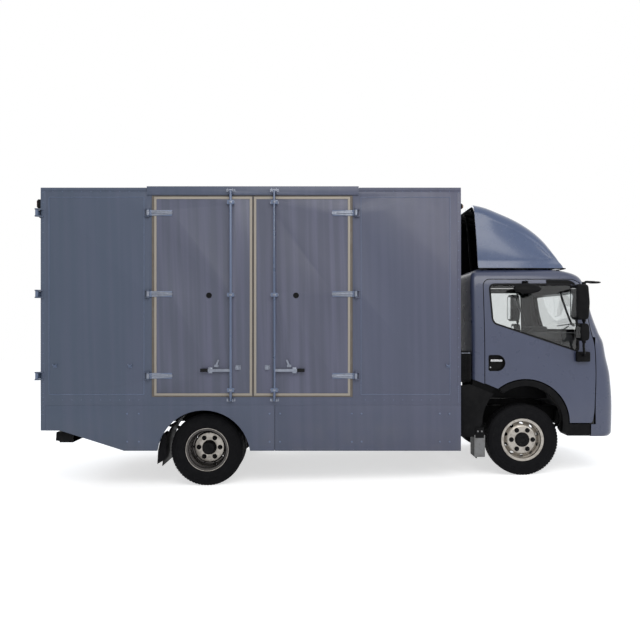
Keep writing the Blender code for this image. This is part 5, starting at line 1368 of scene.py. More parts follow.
# Index 1 marks the faces that each gap and cut leaves, for dark seal rubber. On the shut line walls, which
# the real cab has in body colour, it is painted shade. Round the window openings it stands for their real
# rubber.
PAINTED_SHADE_CUT, DARK, LINING = 1, 2, 3
shell = cab_skin(0, CAB_WALL)
low = 0.30
under = [(CAB_REAR - 0.1, low), (CAB_REAR - 0.1, 1.100), (CAB_REAR + 0.014, 1.100)]
under += arch_outline(ARCH_RADIUS + 0.006, 129, 92, 12)
under += [(front + 0.6, CAB_SEAM + 0.0005), (front + 1.2, CAB_SEAM + 0.0005), (front + 1.2, low)]
back = block((CAB_REAR - 0.1, CAB_REAR + CAB_WALL + 0.060), (-0.870, 0.870), (low, 1.120))
shell = cut(shell, marked(prism("Y", under, (-1.5, 1.5)), PAINTED_SHADE_CUT), marked(back, PAINTED_SHADE_CUT))
cutters = [
    marked(prism("Y", grown(door_outline(), SHUT_GAP / 2), side_span(side)), PAINTED_SHADE_CUT)
    for side in SIDES.values()
]


def hinge_relief(low):
    """Room for the door's front edge, which swings inwards round the hinge."""
    profile = [(0, low), (0.034, low), (0.034, 1.275), (0.028, 1.290), (0.028, 1.545), (0, 1.545)]
    return [
        marked(turned(profile, 32, Matrix.Translation((PIVOT_X, s * PIVOT_Y, 0))), PAINTED_SHADE_CUT)
        for s in SIDES.values()
    ]


reliefs = hinge_relief(0.4)
screen_hole = marked(prism("X", windscreen_outline(0.002), (front + 0.45, front + 1.5)), PAINTED_SHADE_CUT)
shell = cut(shell, *cutters, *reliefs, screen_hole)


def floor_pieces():
    thick, wide = 0.040, 0.855
    riser, nose = front + 0.400, front + 0.860
    deck = block((CAB_REAR + 0.022, riser + thick), (-wide, wide), (1.120, 1.160))
    step = block((riser, riser + thick), (-wide, wide), (0.800, 1.160))
    well = block((riser, nose), (0.030 - wide, wide - 0.030), (0.800, 0.840))
    bulkhead = block((nose - thick, nose), (0.030 - wide, wide - 0.030), (0.800, 1.166))
    shelf = keep(
        cab_form(0.020, False), block((nose - thick, nose + 0.5), (-1, 1), (CAB_SEAM + 0.004, 1.166))
    )
    return [marked(shape, LINING) for shape in (deck, step, well, bulkhead, shelf)]


def door_hinge(side, z):
    x, y, radius, half = PIVOT_X, PIVOT_Y, 0.020, 0.010
    outline = [(x + radius, 0.850), (x + 0.120, 0.815), (x + 0.120, 0.785), (x - radius, 0.800)]
    outline += arc((x, y), radius, 180, 0, 10)
    bracket = prism("Z", [(a, side * b) for a, b in outline], (z - half, z + half))
    pin = rod((x, side * y, z - 0.040), (x, side * y, z + 0.040), 0.007, 12)
    return marked(together(bracket, pin), DARK)


pivot_x, pivot_z = front + 0.662, 0.520
hinges = [door_hinge(side, z) for side in SIDES.values() for z in (0.900, 1.110)]
cross_tube = marked(rod((pivot_x, -0.500, pivot_z), (pivot_x, 0.500, pivot_z), 0.020, 24), DARK)
arms = [
    marked(
        block((pivot_x - 0.035, pivot_x + 0.035), (s * 0.460, s * 0.495), (pivot_z - 0.030, 0.810)), DARK
    )
    for s in (-1, 1)
]
lining = grained("cab lining", (0.085, 0.085, 0.090), 0.75, 500.0, 0.0004, 0.05)
# Seal rubber in slot 1 darkens the walls of the shut lines: painted shade.
cab_finishes = (cab_paint, seal_rubber, black_steel, lining)
shell_piece = add_piece(
    "cab_shell_dressed", together(shell, *floor_pieces(), *hinges, cross_tube, *arms), cab_finishes, "cab",
    28, evened=True
)
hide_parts("cab_shell")
print("cab shell with", len(shell_piece.data.polygons), "faces")

# %% [markdown]
# The doors are the same skin inside the shut line. The right one is modelled and the left one is its mirror
# image. The grip lies in a black D-shaped recess, with a chrome pull across it.

# %% Cab doors
recess_x = (DOOR_REAR + 0.043, DOOR_REAR + 0.210)


def recess_outline(grow=0.0):
    outline = [(recess_x[0], 1.205), (recess_x[0], 1.345), (recess_x[0] + 0.010, 1.355)]
    outline += arc((recess_x[1] - 0.080, 1.275), 0.080, 90, -90, 16) + [(recess_x[0] + 0.010, 1.195)]
    return grown(outline, grow)


def hinge_room(z):
    pocket = block((PIVOT_X - 0.0215, PIVOT_X + 0.100), (-0.850, -PIVOT_Y - 0.0215), (z - 0.014, z + 0.014))
    bore = rod((PIVOT_X, -PIVOT_Y, z - 0.044), (PIVOT_X, -PIVOT_Y, z + 0.044), 0.008, 12)
    return marked(fuse(pocket, bore), PAINTED_SHADE_CUT)


door = cab_skin(0, CAB_WALL)
door = keep(door, marked(prism("Y", grown(door_outline(), -SHUT_GAP / 2), side_span(-1)), PAINTED_SHADE_CUT))
opening = marked(prism("Y", softened_outline(grown(window_outline(), 0.0005), 0.020), side_span(-1)), PAINTED_SHADE_CUT)
recess = marked(prism("Y", recess_outline(), (-1.2, -0.924)), DARK)
door = cut(door, opening, recess, hinge_room(0.900), hinge_room(1.110))
pull = rounded_block((recess_x[0] + 0.016, recess_x[1] - 0.024), (-0.922, -0.9505), (1.287, 1.313), 0.008)
recess_rim = cut(
    prism("Y", recess_outline(0.004), (-0.9515, -0.925)), prism("Y", recess_outline(-0.001), (-1.0, -0.9))
)
lock = turned(
    [(0, 0.0), (0.008, 0.0), (0.007, 0.003), (0, 0.003)], 20,
    outward(recess_x[0] + 0.022, -0.9245, 1.228, -1)
)
# Seal rubber in slot 1 darkens the walls of the door's shut line: painted shade.
door_finishes = (cab_paint, seal_rubber, black_plastic, lining)
for side_name, flip in (("right", False), ("left", True)):
    place_side = mirrored if flip else (lambda mesh: mesh.copy())
    body = side_name + "_cab_door"
    piece = add_piece(
        side_name + "_cab_door_dressed", place_side(door), door_finishes, body, 28, evened=True
    )
    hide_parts(side_name + "_cab_door")
    add_piece(side_name + "_door_pull", place_side(together(pull, lock)), chrome, body, 40)
    add_piece(side_name + "_recess_rim", place_side(recess_rim), black_plastic, body, 35)
print("cab doors made")

# %% [markdown]
# Glass is a thin slice of the same form, set a little in. A band of black rubber round each pane hides its
# edge.

# %% Glass and its rubber
GLASS_INSET = 0.012
GLASS_THICKNESS = 0.006
pane = keep(
    cab_skin(GLASS_INSET, GLASS_INSET + GLASS_THICKNESS),
    prism("Y", softened_outline(window_outline(), 0.020), side_span(-1))
)
band = cut(
    prism("Y", softened_outline(grown(window_outline(), 0.011), 0.030), side_span(-1)),
    prism("Y", softened_outline(grown(window_outline(), -0.007), 0.018), side_span(-1.1)),
)
rubber_band = keep(cab_skin(-0.0025, 0.011), band)
for side_name, flip in (("right", False), ("left", True)):
    place_side = mirrored if flip else (lambda mesh: mesh.copy())
    body = side_name + "_cab_door"
    glass = add_piece(side_name + "_door_glass_dressed", place_side(pane), window_glass, body, 28)
    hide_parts(side_name + "_door_glass")
    add_piece(side_name + "_window_rubber", place_side(rubber_band), seal_rubber, body, 35)

screen_span = (front + 0.45, front + 1.5)
screen = keep(
    cab_skin(GLASS_INSET, GLASS_INSET + GLASS_THICKNESS),
    prism("X", windscreen_outline(0.0015), screen_span)
)
glass = add_piece("windscreen_dressed", screen, window_glass, "cab", 28)
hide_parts("windscreen")
screen_ring = cut(
    prism("X", windscreen_outline(0.012), screen_span),
    prism("X", windscreen_outline(-0.022), (front + 0.4, front + 1.6))
)
add_piece(
    "windscreen_rubber", keep(cab_skin(-0.0015, 0.0118), screen_ring), seal_rubber, "cab", 35
)
print("glass and rubber made")

# %% [markdown]
# The bumper is the lower nose of the same form. Its two lamps are thin clear covers over a bright bowl, and
# the slot between them is a dark grille with one bar across it.

# %% Bumper and headlamps
HEADLAMP_Y = (0.500, 0.790)
HEADLAMP_Z = (0.800, 0.960)
shut = [point for point in door_outline() if front + 0.65 < point[0] and point[1] < CAB_SEAM]
region = [(front + 1.2, CAB_SEAM), (front + 0.747 + SHUT_GAP / 2, CAB_SEAM)]
region += [(x + SHUT_GAP * 0.6, z) for x, z in shut[:-1]]
region += [(front + 0.699, DOOR_BOTTOM - 0.006), (front + 0.699, 0.4), (front + 1.2, 0.4)]
bumper = keep(cab_skin(0, CAB_WALL), marked(prism("Y", region, (-1.5, 1.5)), PAINTED_SHADE_CUT))
bumper = cut(bumper, *hinge_relief(0.636))


def lamp_box(side, grow):
    outline = softened_outline([
        (HEADLAMP_Y[0] - grow, HEADLAMP_Z[0] - grow), (HEADLAMP_Y[1] + grow, HEADLAMP_Z[0] - grow),
        (HEADLAMP_Y[1] + grow, HEADLAMP_Z[1] + grow), (HEADLAMP_Y[0] - grow, HEADLAMP_Z[1] + grow),
    ], 0.035)
    return prism("X", [(side * y, z) for y, z in outline], (front + 0.80, front + 1.5))


grille_outline = softened_outline([(-0.420, 0.640), (0.420, 0.640), (0.460, 0.740), (-0.460, 0.740)], 0.03)
grille_hole = marked(prism("X", grille_outline, (front + 0.9, front + 1.5)), DARK)
bumper = cut(bumper, grille_hole, *[marked(lamp_box(side, 0.003), DARK) for side in SIDES.values()])
# Seal rubber in slot 1 darkens the cut walls of the bumper's edges: painted shade.
bumper_piece = add_piece(
    "front_bumper_dressed", bumper, (cab_paint, seal_rubber, black_plastic, black_plastic), "cab",
    28, evened=True
)
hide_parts("front_bumper")
grille_back = keep(
    cab_skin(0.022, 0.040), prism("X", grown(grille_outline, 0.010), (front + 0.9, front + 1.5))
)
slats = keep(cab_skin(0.006, 0.030), block((front + 0.9, front + 1.3), (-0.45, 0.45), (0.686, 0.694)))
add_piece("front_grille", together(grille_back, slats), black_plastic, "cab", 30)
for side_name, side in SIDES.items():
    cover = keep(cab_skin(0.001, 0.005), lamp_box(side, 0))
    bowl = keep(cab_skin(0.030, 0.050), lamp_box(side, 0))
    lamps = [
        rod((front + 0.880, side * y, 0.880), (front + 0.905, side * y, 0.880), 0.048, 32, 0.006)
        for y in (0.575, 0.700)
    ]
    piece = add_piece(side_name + "_headlamp_dressed", cover, clear_lens, "cab", 30)
    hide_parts(side_name + "_headlamp")
    add_piece(side_name + "_lamp_bowl", together(bowl, *lamps), chrome, "cab", 35)
print("bumper and headlamps made")

# %% [markdown]
# The roof deflector is a moulded hood, open at the back. Its sections are round-shouldered arches, and the
# foot flares out a little so that rain runs off clear of the roof.

# %% Roof deflector
# One row a station: ahead of the rear edge, top height, half width at the foot and at the top
DEFLECTOR_STATIONS = (
    (0.000, 2.990, 0.830, 0.740),
    (0.115, 2.966, 0.829, 0.738),
    (0.290, 2.900, 0.826, 0.732),
    (0.465, 2.823, 0.820, 0.725),
    (0.615, 2.736, 0.812, 0.717),
    (0.730, 2.647, 0.803, 0.710),
    (0.816, 2.560, 0.794, 0.705),
    (0.890, 2.455, 0.782, 0.700),
    (0.937, 2.360, 0.768, 0.696),
    (0.955, 2.310, 0.760, 0.694),
)
DEFLECTOR_REAR = CAB_REAR + 0.066
DEFLECTOR_WALL = 0.014


def deflector_section(station, inset, back):
    ahead, top, foot_half, top_half = station
    foot = CAB_TOP + 0.008
    low = foot - (0.2 if inset else 0)
    top -= inset
    shoulder = min(0.150, (top - foot) * 0.75)
    flare = min(0.11, (top - foot) * 0.45)
    lean = 0.018 * max(0, 1 - ahead / 0.4)
    wall_foot, wall_top = foot_half - 0.022, top_half
    half = [(foot_half - inset, low)]
    for i in range(1, 7):
        t = i / 6
        half.append((foot_half - 0.022 * (1 - (1 - t) ** 2) - inset, foot + 0.006 + (flare - 0.006) * t))
    bend = top - shoulder
    for i in range(1, 5):
        t = i / 4
        half.append(
            (
                wall_foot + (wall_top - wall_foot) * t ** 1.4 - inset,
                foot + flare + max(bend - foot - flare, 0.002) * t
            )
        )
    base = max(bend, foot + flare + 0.002)
    half += [(y, z) for y, z in arc((top_half - inset - shoulder, base), shoulder, 0, 90, 14)[1:]]
    scale = (top - base) / shoulder
    half = [(y, base + (z - base) * scale) if z > base else (y, z) for y, z in half]
    last_y, last_z = half[-1]
    half += [(last_y * s, last_z + 0.008 * (1 - s * s)) for s in (0.75, 0.5, 0.25)]
    outline = half + [(0, last_z + 0.008)] + [(-y, z) for y, z in reversed(half)]
    rear = DEFLECTOR_REAR - back
    return [(rear + ahead + lean * (2.990 - z) / 0.6, y, z) for y, z in outline]


def deflector_rows():
    rows = [(ahead, foot, top, crown) for ahead, top, foot, crown in DEFLECTOR_STATIONS]
    return [(ahead, top, foot, crown) for ahead, foot, top, crown in curve_through(rows, 0.022)]


hood = loft([deflector_section(row, 0, 0) for row in deflector_rows()])
hollow = marked(
    loft([deflector_section(row, DEFLECTOR_WALL, 0.030) for row in deflector_rows() if row[0] < 0.925]),
    DARK
)
hood = cut(hood, hollow)
bars = [
    block(
        (DEFLECTOR_REAR + a, DEFLECTOR_REAR + a + 0.040), (-half, half), (CAB_TOP + 0.0003, CAB_TOP + 0.034)
    )
    for a, half in ((0.125, 0.815), (0.540, 0.802))
]
strut = rod((DEFLECTOR_REAR + 0.145, 0, CAB_TOP + 0.020), (DEFLECTOR_REAR + 0.085, 0, 2.958), 0.014, 20)
rib = prism("X", [(0, 0), (0.020, 0), (0.014, 0.018), (0.006, 0.018)], (0, 0.6))
ribs = []
for y in (-0.45, -0.15, 0.15, 0.45):
    path = [
        (DEFLECTOR_REAR + row[0] + 0.02, y, row[1] - 0.038 - 0.020 * row[0])
        for row in deflector_rows() if row[0] < 0.60
    ]
    ribs.append(tube(path, 0.011, 8))
hood_piece = add_piece(
    "roof_deflector_dressed",
    together(hood, *[marked(shape, DARK) for shape in (*bars, strut, *ribs)]),
    (deflector_paint, seal_rubber, black_plastic, black_plastic), "cab", 30, evened=True,
)
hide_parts("roof_deflector")
gasket_path = []
for side in (-1, 1):
    line = [
        (DEFLECTOR_REAR + 0.020 + row[0], side * (row[2] - 0.010), CAB_TOP + 0.006)
        for row in deflector_rows()
    ]
    gasket_path += line if side < 0 else list(reversed(line))
add_piece("deflector_gasket", tube(gasket_path, 0.0060, 8), seal_rubber, "cab", 60)
print("deflector made")

# %% [markdown]
# The step and the flare round the arch are one black moulding. Its tread plate has grip ribs, which are a
# row.

# %% Steps and flares
for side_name, side in SIDES.items():
    step = softened(side_name + "_step", 0.006, black_plastic, 35, 3)
    rib = rounded_block(
        (front + 0.440, front + 0.680), (side * -0.004, side * 0.004), (0.0, 0.004), 0.0015, 2
    )
    ribs = row_of(rib, black_plastic, 8, (0, side * 0.790, 0.6378), (0, side * 0.925, 0.6378))
    add_piece(side_name + "_step_ribs", ribs, black_plastic, "cab", 40)
print("steps made")

# %% [markdown]
# The mirror heads are soft black shells with glass set into the side that faces back. They hang on bent
# tubes.

# %% Mirrors
post_x, post_y = front + 0.560, 1.100


def mirror_head(outline, y, depth):
    """A rounded shell and its glass, which looks to the rear."""
    shell_shape = with_modifiers(
        prism("Y", softened_outline(outline, 0.030, 4), y),
        (
            "BEVEL",
            {"width": 0.022, "segments": 4, "limit_method": "ANGLE", "angle_limit": math.radians(60)}
        ),
    )
    xs = [point[0] for point in outline]
    zs = [point[1] for point in outline]
    y_low, y_high = min(y) + 0.014, max(y) - 0.014
    z_low, z_high = min(zs) + 0.030, max(zs) - 0.035
    face = softened_outline([(y_low, z_low), (y_high, z_low), (y_high, z_high), (y_low, z_high)], 0.022)
    glass_face = prism("X", face, (min(xs) - 0.0015, min(xs) + 0.010))
    rim = cut(
        prism("X", grown(face, 0.006), (min(xs) - 0.004, min(xs) + 0.012)),
        prism("X", grown(face, -0.001), (min(xs) - 0.02, min(xs) + 0.03))
    )
    return shell_shape, glass_face, rim


main_outline = [
    (post_x - 0.105, 1.740), (post_x - 0.085, 1.723), (post_x + 0.010, 1.730), (post_x + 0.022, 1.900)
]
main_outline += [(post_x + 0.006, 2.080), (post_x - 0.095, 2.087), (post_x - 0.112, 2.060)]
wide_outline = [
    (post_x - 0.060, 1.520), (post_x - 0.050, 1.510), (post_x + 0.020, 1.516), (post_x + 0.026, 1.600)
]
wide_outline += [(post_x + 0.016, 1.686), (post_x - 0.054, 1.690), (post_x - 0.064, 1.675)]
for side_name, side in SIDES.items():
    body = side_name + "_cab_door"
    base = rounded_block(
        (front + 0.530, front + 0.672), (side * 0.9496, side * 1.000), (1.290, 1.395), 0.014, 4
    )
    arm = tube(smooth_path([
        (
            front + 0.600, side * 0.985, 1.350
        ), (front + 0.585, side * 1.050, 1.380), (post_x, side * 1.094, 1.450),
        (post_x, side * post_y, 1.600), (post_x, side * post_y, 2.000), (post_x, side * post_y, 2.085),
        (
            post_x + 0.020, side * (post_y - 0.005), 2.110
        ), (post_x + 0.060, side * 1.080, 2.112), (front + 0.690, side * 1.050, 2.112),
    ]), 0.0125, 14)
    main, main_glass, main_rim = mirror_head(main_outline, sorted((side * 1.030, side * 1.210)), 0.1)
    wide, wide_glass, wide_rim = mirror_head(wide_outline, sorted((side * 1.040, side * 1.190)), 0.1)
    down = turned(
        [
            (0, 0.000), (0.046, 0.002), (0.056, 0.006), (0.060, 0.011), (0.056, 0.016), (0.040, 0.021),
            (0, 0.024)
        ],
        48, Matrix.Translation((front + 0.690, side * 1.050, 2.098)),
    )
    clamps = [
        rod((post_x, side * post_y, z), (post_x, side * post_y, z + 0.030), 0.020, 20, 0.003)
        for z in (1.705, 2.082, 1.488)
    ]
    piece = add_piece(
        side_name + "_mirror_dressed", together(base, arm, main, wide, down, main_rim, wide_rim, *clamps),
        black_plastic, body, 45
    )
    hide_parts(side_name + "_mirror")
    add_piece(side_name + "_mirror_glass", together(main_glass, wide_glass), mirror_face, body, 30)

tilted = Matrix.Translation(
    (DOOR_REAR + 0.420, -1.020, 2.050)
) @ Matrix.Rotation(math.radians(64), 4, "X") @ Matrix.Diagonal((1.12, 0.46, 1, 1))
oval = turned(
    [
        (0, -0.022), (0.060, -0.022), (0.095, -0.018), (0.118, -0.009), (0.128, 0.000), (0.122, 0.009),
        (0.104, 0.018), (0.060, 0.026), (0, 0.030)
    ],
    64, tilted
)
foot = rounded_block((DOOR_REAR + 0.410, DOOR_REAR + 0.470), (-0.8755, -0.905), (2.104, 2.136), 0.005)
arm = tube(
    smooth_path(
        [
            (DOOR_REAR + 0.440, -0.893, 2.120), (DOOR_REAR + 0.438, -0.950, 2.122),
            (DOOR_REAR + 0.430, -1.015, 2.062)
        ]
    ),
    0.011, 12
)
kerb = add_piece(
    "kerb_mirror_dressed", together(oval, foot, arm), black_plastic, body_of(nodes["kerb_mirror"])[0],
    45
)
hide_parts("kerb_mirror")
print("mirrors made")

# %% [markdown]
# Each front wheel turns inside a black moulded liner. It hangs under the cab's floor and closes the space
# between the wheel arch and the chassis, so that no daylight shows there. It rides with the cab, which
# tilts forward off the wheels.

# %% Front wheel liners
ARCH = (front + 0.013, 0.646)
LINER_RADIUS = 0.463


def liner_strip(start, end, y, radius=LINER_RADIUS, thick=0.005):
    outline = arc(ARCH, radius + thick, start, end, 36) + list(reversed(arc(ARCH, radius, start, end, 36)))
    return prism("Y", outline, y)


for side_name, side in SIDES.items():
    strip = liner_strip(37, 134, sorted((side * 0.515, side * 0.885)))
    cheek = [(front - 0.525, 1.105), (front - 0.525, 0.960), (front - 0.330, 0.960)]
    cheek += list(reversed(arc(ARCH, LINER_RADIUS + 0.004, 60, 134, 16))) + [(front + 0.240, 1.112)]
    outer = prism("Y", cheek, sorted((side * 0.880, side * 0.886)))
    top = [(front + 0.235, 1.112), (front - 0.005, 1.112)]
    inner = [(front - 0.310, 0.860), (front + 0.385, 0.860), (front + 0.385, 0.905)]
    inner += arc(ARCH, LINER_RADIUS + 0.003, 36, 135, 20)
    wall = prism("Y", inner, sorted((side * 0.509, side * 0.515)))
    add_piece(
        side_name + "_wheel_liner", together(strip, outer, wall), black_plastic, "cab", 40
    )
    softened(side_name + "_front_mudguard", 0.003, black_plastic, 40)
print("front wheel liners made")

# %% [markdown]
# Behind each front wheel hangs a flat splash plate of bare grey metal, on a dark bracket. The plate hides
# the flap behind it.

# %% Splash plates
for side_name, side in SIDES.items():
    body = body_of(nodes[side_name + "_front_mudguard"])[0]
    plate = rounded_block((2.790, 2.901), (side * 0.9305, side * 0.9345), (0.290, 0.520), 0.0015, 2)
    bracket = rounded_block((2.800, 2.890), (side * 0.930, side * 0.940), (0.490, 0.600), 0.003, 2)
    bolts = row_of(
        turned(
            [(0, 0.0), (0.010, 0.0), (0.010, 0.006), (0.007, 0.008), (0, 0.008)], 6, outward(0, 0, 0, side)
        ),
        zinc, 2, (2.825, side * 0.939, 0.560), (2.865, side * 0.939, 0.560)
    )
    add_piece(side_name + "_splash_plate", plate, zinc, body, 40)
    add_piece(side_name + "_splash_bracket", together(bracket), black_plastic, body, 40)
    add_piece(side_name + "_splash_bolts", bolts, zinc, body, 40)
print("splash plates made")

# %% [markdown]
# The box is sheet metal on a folded frame, so its panels keep their solids and only get rounded edges. On
# the door leaves the lock rods and hinges are painted a lighter blue, the levers are plated, and their
# grips are black rubber. One mesh can show all of these: each face takes the finish of the place where it
# lies.

# %% Walls, roof and skirts
BOX_REAR, BOX_FRONT = -1.685, 2.618
BOX_HALF_WIDTH = 1.080
DOOR_X = (-0.548, 0.489, 1.509)
DOOR_Z = (0.935, 2.998)
LOCK_ROD_X = (0.264, 0.709)
LOCK_LEVER_Z = 1.211
GUIDE_Z = (1.009, 1.980, 2.924)
HINGE_Z = (1.152, 1.989, 2.818)
SKIN = -BOX_HALF_WIDTH

for name in ("box_right_wall", "box_left_wall", "box_front_wall", "rear_portal"):
    softened(name, 0.0025, box_paint, 30)
softened("box_roof", 0.003, box_paint, 30)
for side_name in SIDES:
    for end in ("front", "rear"):
        softened(side_name + "_" + end + "_skirt", 0.0025, box_paint, 30)
    softened(side_name + "_rear_mudguard", 0.002, black_plastic, 40)


def side_leaf_finish(point):
    """Paint 0, hardware 1, plated 2, black 3."""
    out = -BOX_HALF_WIDTH - point.y
    if out < 0.001:
        return 0
    if abs(point.z - LOCK_LEVER_Z) < 0.045 and out > 0.004:
        for rod_x, way in zip(LOCK_ROD_X, (-1, 1)):
            along = (point.x - rod_x) * way
            if 0.262 < along < 0.35:
                return 3
            if 0.020 < along <= 0.262:
                return 2
    return 1


leaf_finishes = (leaf_paint, door_trim_paint, plated, seal_rubber)
for name in ("side_door_rear_leaf", "side_door_front_leaf"):
    softened(name, 0.0018, leaf_finishes, 42, 2, 42, side_leaf_finish)


def rear_leaf_finish(point):
    out = BOX_REAR - point.x
    if out < 0.001:
        return 0
    if abs(point.z - LOCK_LEVER_Z) < 0.045 and out > 0.004:
        along = abs(point.y) - 0.200
        if along > 0.170:
            return 3
        if along > 0.020:
            return 2
    return 1


for name in ("left_rear_door", "right_rear_door"):
    softened(name, 0.0018, leaf_finishes, 42, 2, 42, rear_leaf_finish)
print("box panels softened")

# %% [markdown]
# A soft seal runs round each leaf: a brown strip on the edge and a cream lip inside it. In the photograph
# the pair is wider on the hinge side than at the top.

# %% Door seals
EDGE_STRIP = {"hinge": 0.026, "top": 0.014, "bottom": 0.014, "seam": 0.008}
LIP_WIDTH = 0.023


def ring_block(outer, inner, y, radius=0.0):
    """A flat rectangular ring between two rectangles (x low, x high, z low, z high), pushed along Y."""
    sections = []
    y_low, y_high = sorted(y)
    profile = [(0, y_low), (1, y_low), (1, y_high), (0, y_high)]
    if radius:
        raised = y_low if abs(y_low) > abs(y_high) else y_high
        flat = y_high if raised == y_low else y_low
        bend = raised + (radius if flat > raised else -radius)
        profile = [(0, flat), (0, bend), (0.2, raised), (0.8, raised), (1, bend), (1, flat)]
    corners = [(0, 2), (1, 2), (1, 3), (0, 3)]
    for a, b in corners:
        start = Vector((outer[a], outer[b]))
        end = Vector((inner[a], inner[b]))
        sections.append(
            [((start + (end - start) * t).x, depth, (start + (end - start) * t).y) for t, depth in profile]
        )
    return loft(sections + [sections[0]], False)


def welded(mesh):
    drawn = bmesh.new()
    drawn.from_mesh(mesh)
    bmesh.ops.remove_doubles(drawn, verts=drawn.verts, dist=0.00001)
    return as_mesh(drawn)


def seal_pair(low, high, z_low, z_high, strips, out, skin):
    """The strip and the lip of one leaf. Strips are (low side, high side, bottom, top); out is -1 or 1."""
    edge = (low + 0.0015, high - 0.0015, z_low + 0.0015, z_high - 0.0015)
    middle = (low + strips[0], high - strips[1], z_low + strips[2], z_high - strips[3])
    inner = (middle[0] + LIP_WIDTH, middle[1] - LIP_WIDTH, middle[2] + LIP_WIDTH, middle[3] - LIP_WIDTH)
    strip = welded(ring_block(edge, middle, (skin - out * 0.001, skin + out * 0.0018)))
    lip = welded(ring_block(middle, inner, (skin - out * 0.001, skin + out * 0.0048), 0.002))
    return strip, lip


strips = (EDGE_STRIP["hinge"], EDGE_STRIP["seam"], EDGE_STRIP["bottom"], EDGE_STRIP["top"])
strip, lip = seal_pair(DOOR_X[0], DOOR_X[1] - 0.0025, *DOOR_Z, strips, -1, SKIN)
add_piece("side_door_rear_strip", strip, brown_seal, "side_door_rear", 30)
add_piece("side_door_rear_lip", lip, cream_seal, "side_door_rear", 40)
strips = (EDGE_STRIP["seam"], EDGE_STRIP["hinge"], EDGE_STRIP["bottom"], EDGE_STRIP["top"])
strip, lip = seal_pair(DOOR_X[1] + 0.0025, DOOR_X[2], *DOOR_Z, strips, -1, SKIN)
add_piece("side_door_front_strip", strip, brown_seal, "side_door_front", 30)
add_piece("side_door_front_lip", lip, cream_seal, "side_door_front", 40)
print("door seals made")

# %% [markdown]
# Each strap hinge is a tapered plate with a rolled rib down its middle, three bolts, and a barrel round the
# pin.

# %% Strap hinges
HINGE_REACH = 0.215


def bolt_head(place, radius=0.007, height=0.005):
    return turned(
        [(0, 0), (radius, 0), (radius, height * 0.6), (radius * 0.7, height), (0, height)], 12, place
    )


def strap_hinge(length):
    """A strap in its own frame: X along the leaf from its edge, Y up, Z out of the leaf."""
    outline = [(0.002, -0.028), (0.060, -0.026), (length - 0.030, -0.015)]
    outline += arc((length - 0.015, 0), 0.015, -90, 90, 8) + [
        (length - 0.030, 0.015), (0.060, 0.026), (0.002, 0.028)
    ]
    plate = prism("Z", outline, (0.0062, 0.0100))
    rib = tube(
        [(0.0, 0, 0.0105), (0.030, 0, 0.0110), (length - 0.060, 0, 0.0105), (length - 0.045, 0, 0.0080)],
        0.0078, 12
    )
    bolts = [
        bolt_head(Matrix.Translation((x, y, 0.0100)))
        for x, y in ((0.085, 0.0165), (0.085, -0.0165), (length - 0.022, 0))
    ]
    return together(plate, rib, *bolts)


def on_side(x, z, way, side=-1):
    """A frame on the box's side: X along the truck (way 1 forward), Y up, Z out of the side."""
    matrix = Matrix(((way, 0, 0), (0, 0, side), (0, 1, 0))).to_4x4()
    return Matrix.Translation((x, side * BOX_HALF_WIDTH, z)) @ matrix


def placed(mesh, matrix):
    mesh.transform(matrix)
    if matrix.determinant() < 0:
        mesh.flip_normals()
    return mesh


for leaf, body, edge, way in (
    ("rear", "side_door_rear", DOOR_X[0], 1), ("front", "side_door_front", DOOR_X[2], -1)
):
    shapes = []
    for z in HINGE_Z:
        shapes.append(placed(strap_hinge(HINGE_REACH), on_side(edge, z, way)))
        shapes.append(
            rod(
                (edge - way * 0.032, -1.108, z - 0.027), (edge - way * 0.032, -1.108, z + 0.027), 0.0165,
                24, 0.003
            )
        )
    add_piece("side_door_" + leaf + "_hinges", together(*shapes), plated, body, 40)
print("side door hinges made")

# %% [markdown]
# The lock rods turn in saddles: a bent strap over the rod with a bolted wing on each side. Their cam ends
# sit in forked keepers on the sill and on the header. Beside each rod is the catch that holds the lever
# down.

# %% Rod saddles, keepers and catches


def saddle():
    """In the frame of on_side, round a rod that stands 32 mm out."""
    wing = prism(
        "Z", [(-0.042, -0.011), (0.042, -0.011), (0.042, 0.011), (-0.042, 0.011)], (0.0008, 0.0048)
    )
    outer = arc((0, 0.032), 0.0195, 0, 180, 14)
    inner = arc((0, 0.032), 0.0150, 180, 0, 14)
    outline = [(0.0195, 0.004)] + outer + [(-0.0195, 0.004), (-0.0150, 0.004)] + inner + [(0.0150, 0.004)]
    bow = loft([[(x, y, z) for x, z in outline] for y in (-0.009, 0.009)])
    bolts = [bolt_head(Matrix.Translation((x, 0, 0.0048))) for x in (-0.031, 0.031)]
    return together(wing, bow, *bolts)


def keeper():
    cheeks = [block((x, x + 0.006), (-0.014, 0.014), (0.0005, 0.046)) for x in (-0.027, 0.021)]
    foot = prism(
        "Z", [(-0.045, -0.014), (0.045, -0.014), (0.045, 0.014), (-0.045, 0.014)], (0.0005, 0.0045)
    )
    bolts = [bolt_head(Matrix.Translation((x, 0, 0.0045))) for x in (-0.036, 0.036)]
    return together(foot, *cheeks, *bolts)


def lever_catch():
    base = prism(
        "Z", softened_outline([(-0.028, -0.024), (0.028, -0.024), (0.028, 0.024), (-0.028, 0.024)], 0.008),
        (0.0008, 0.005)
    )
    hook = prism(
        "Z", softened_outline([(-0.012, -0.020), (0.010, -0.020), (0.016, 0.016), (-0.006, 0.020)], 0.006),
        (0.005, 0.026)
    )
    bolts = [
        bolt_head(Matrix.Translation((x, y, 0.005)), 0.0075, 0.006)
        for x, y in ((-0.019, 0.015), (0.020, 0.015), (-0.019, -0.015), (0.020, -0.015))
    ]
    return together(base, hook, *bolts)


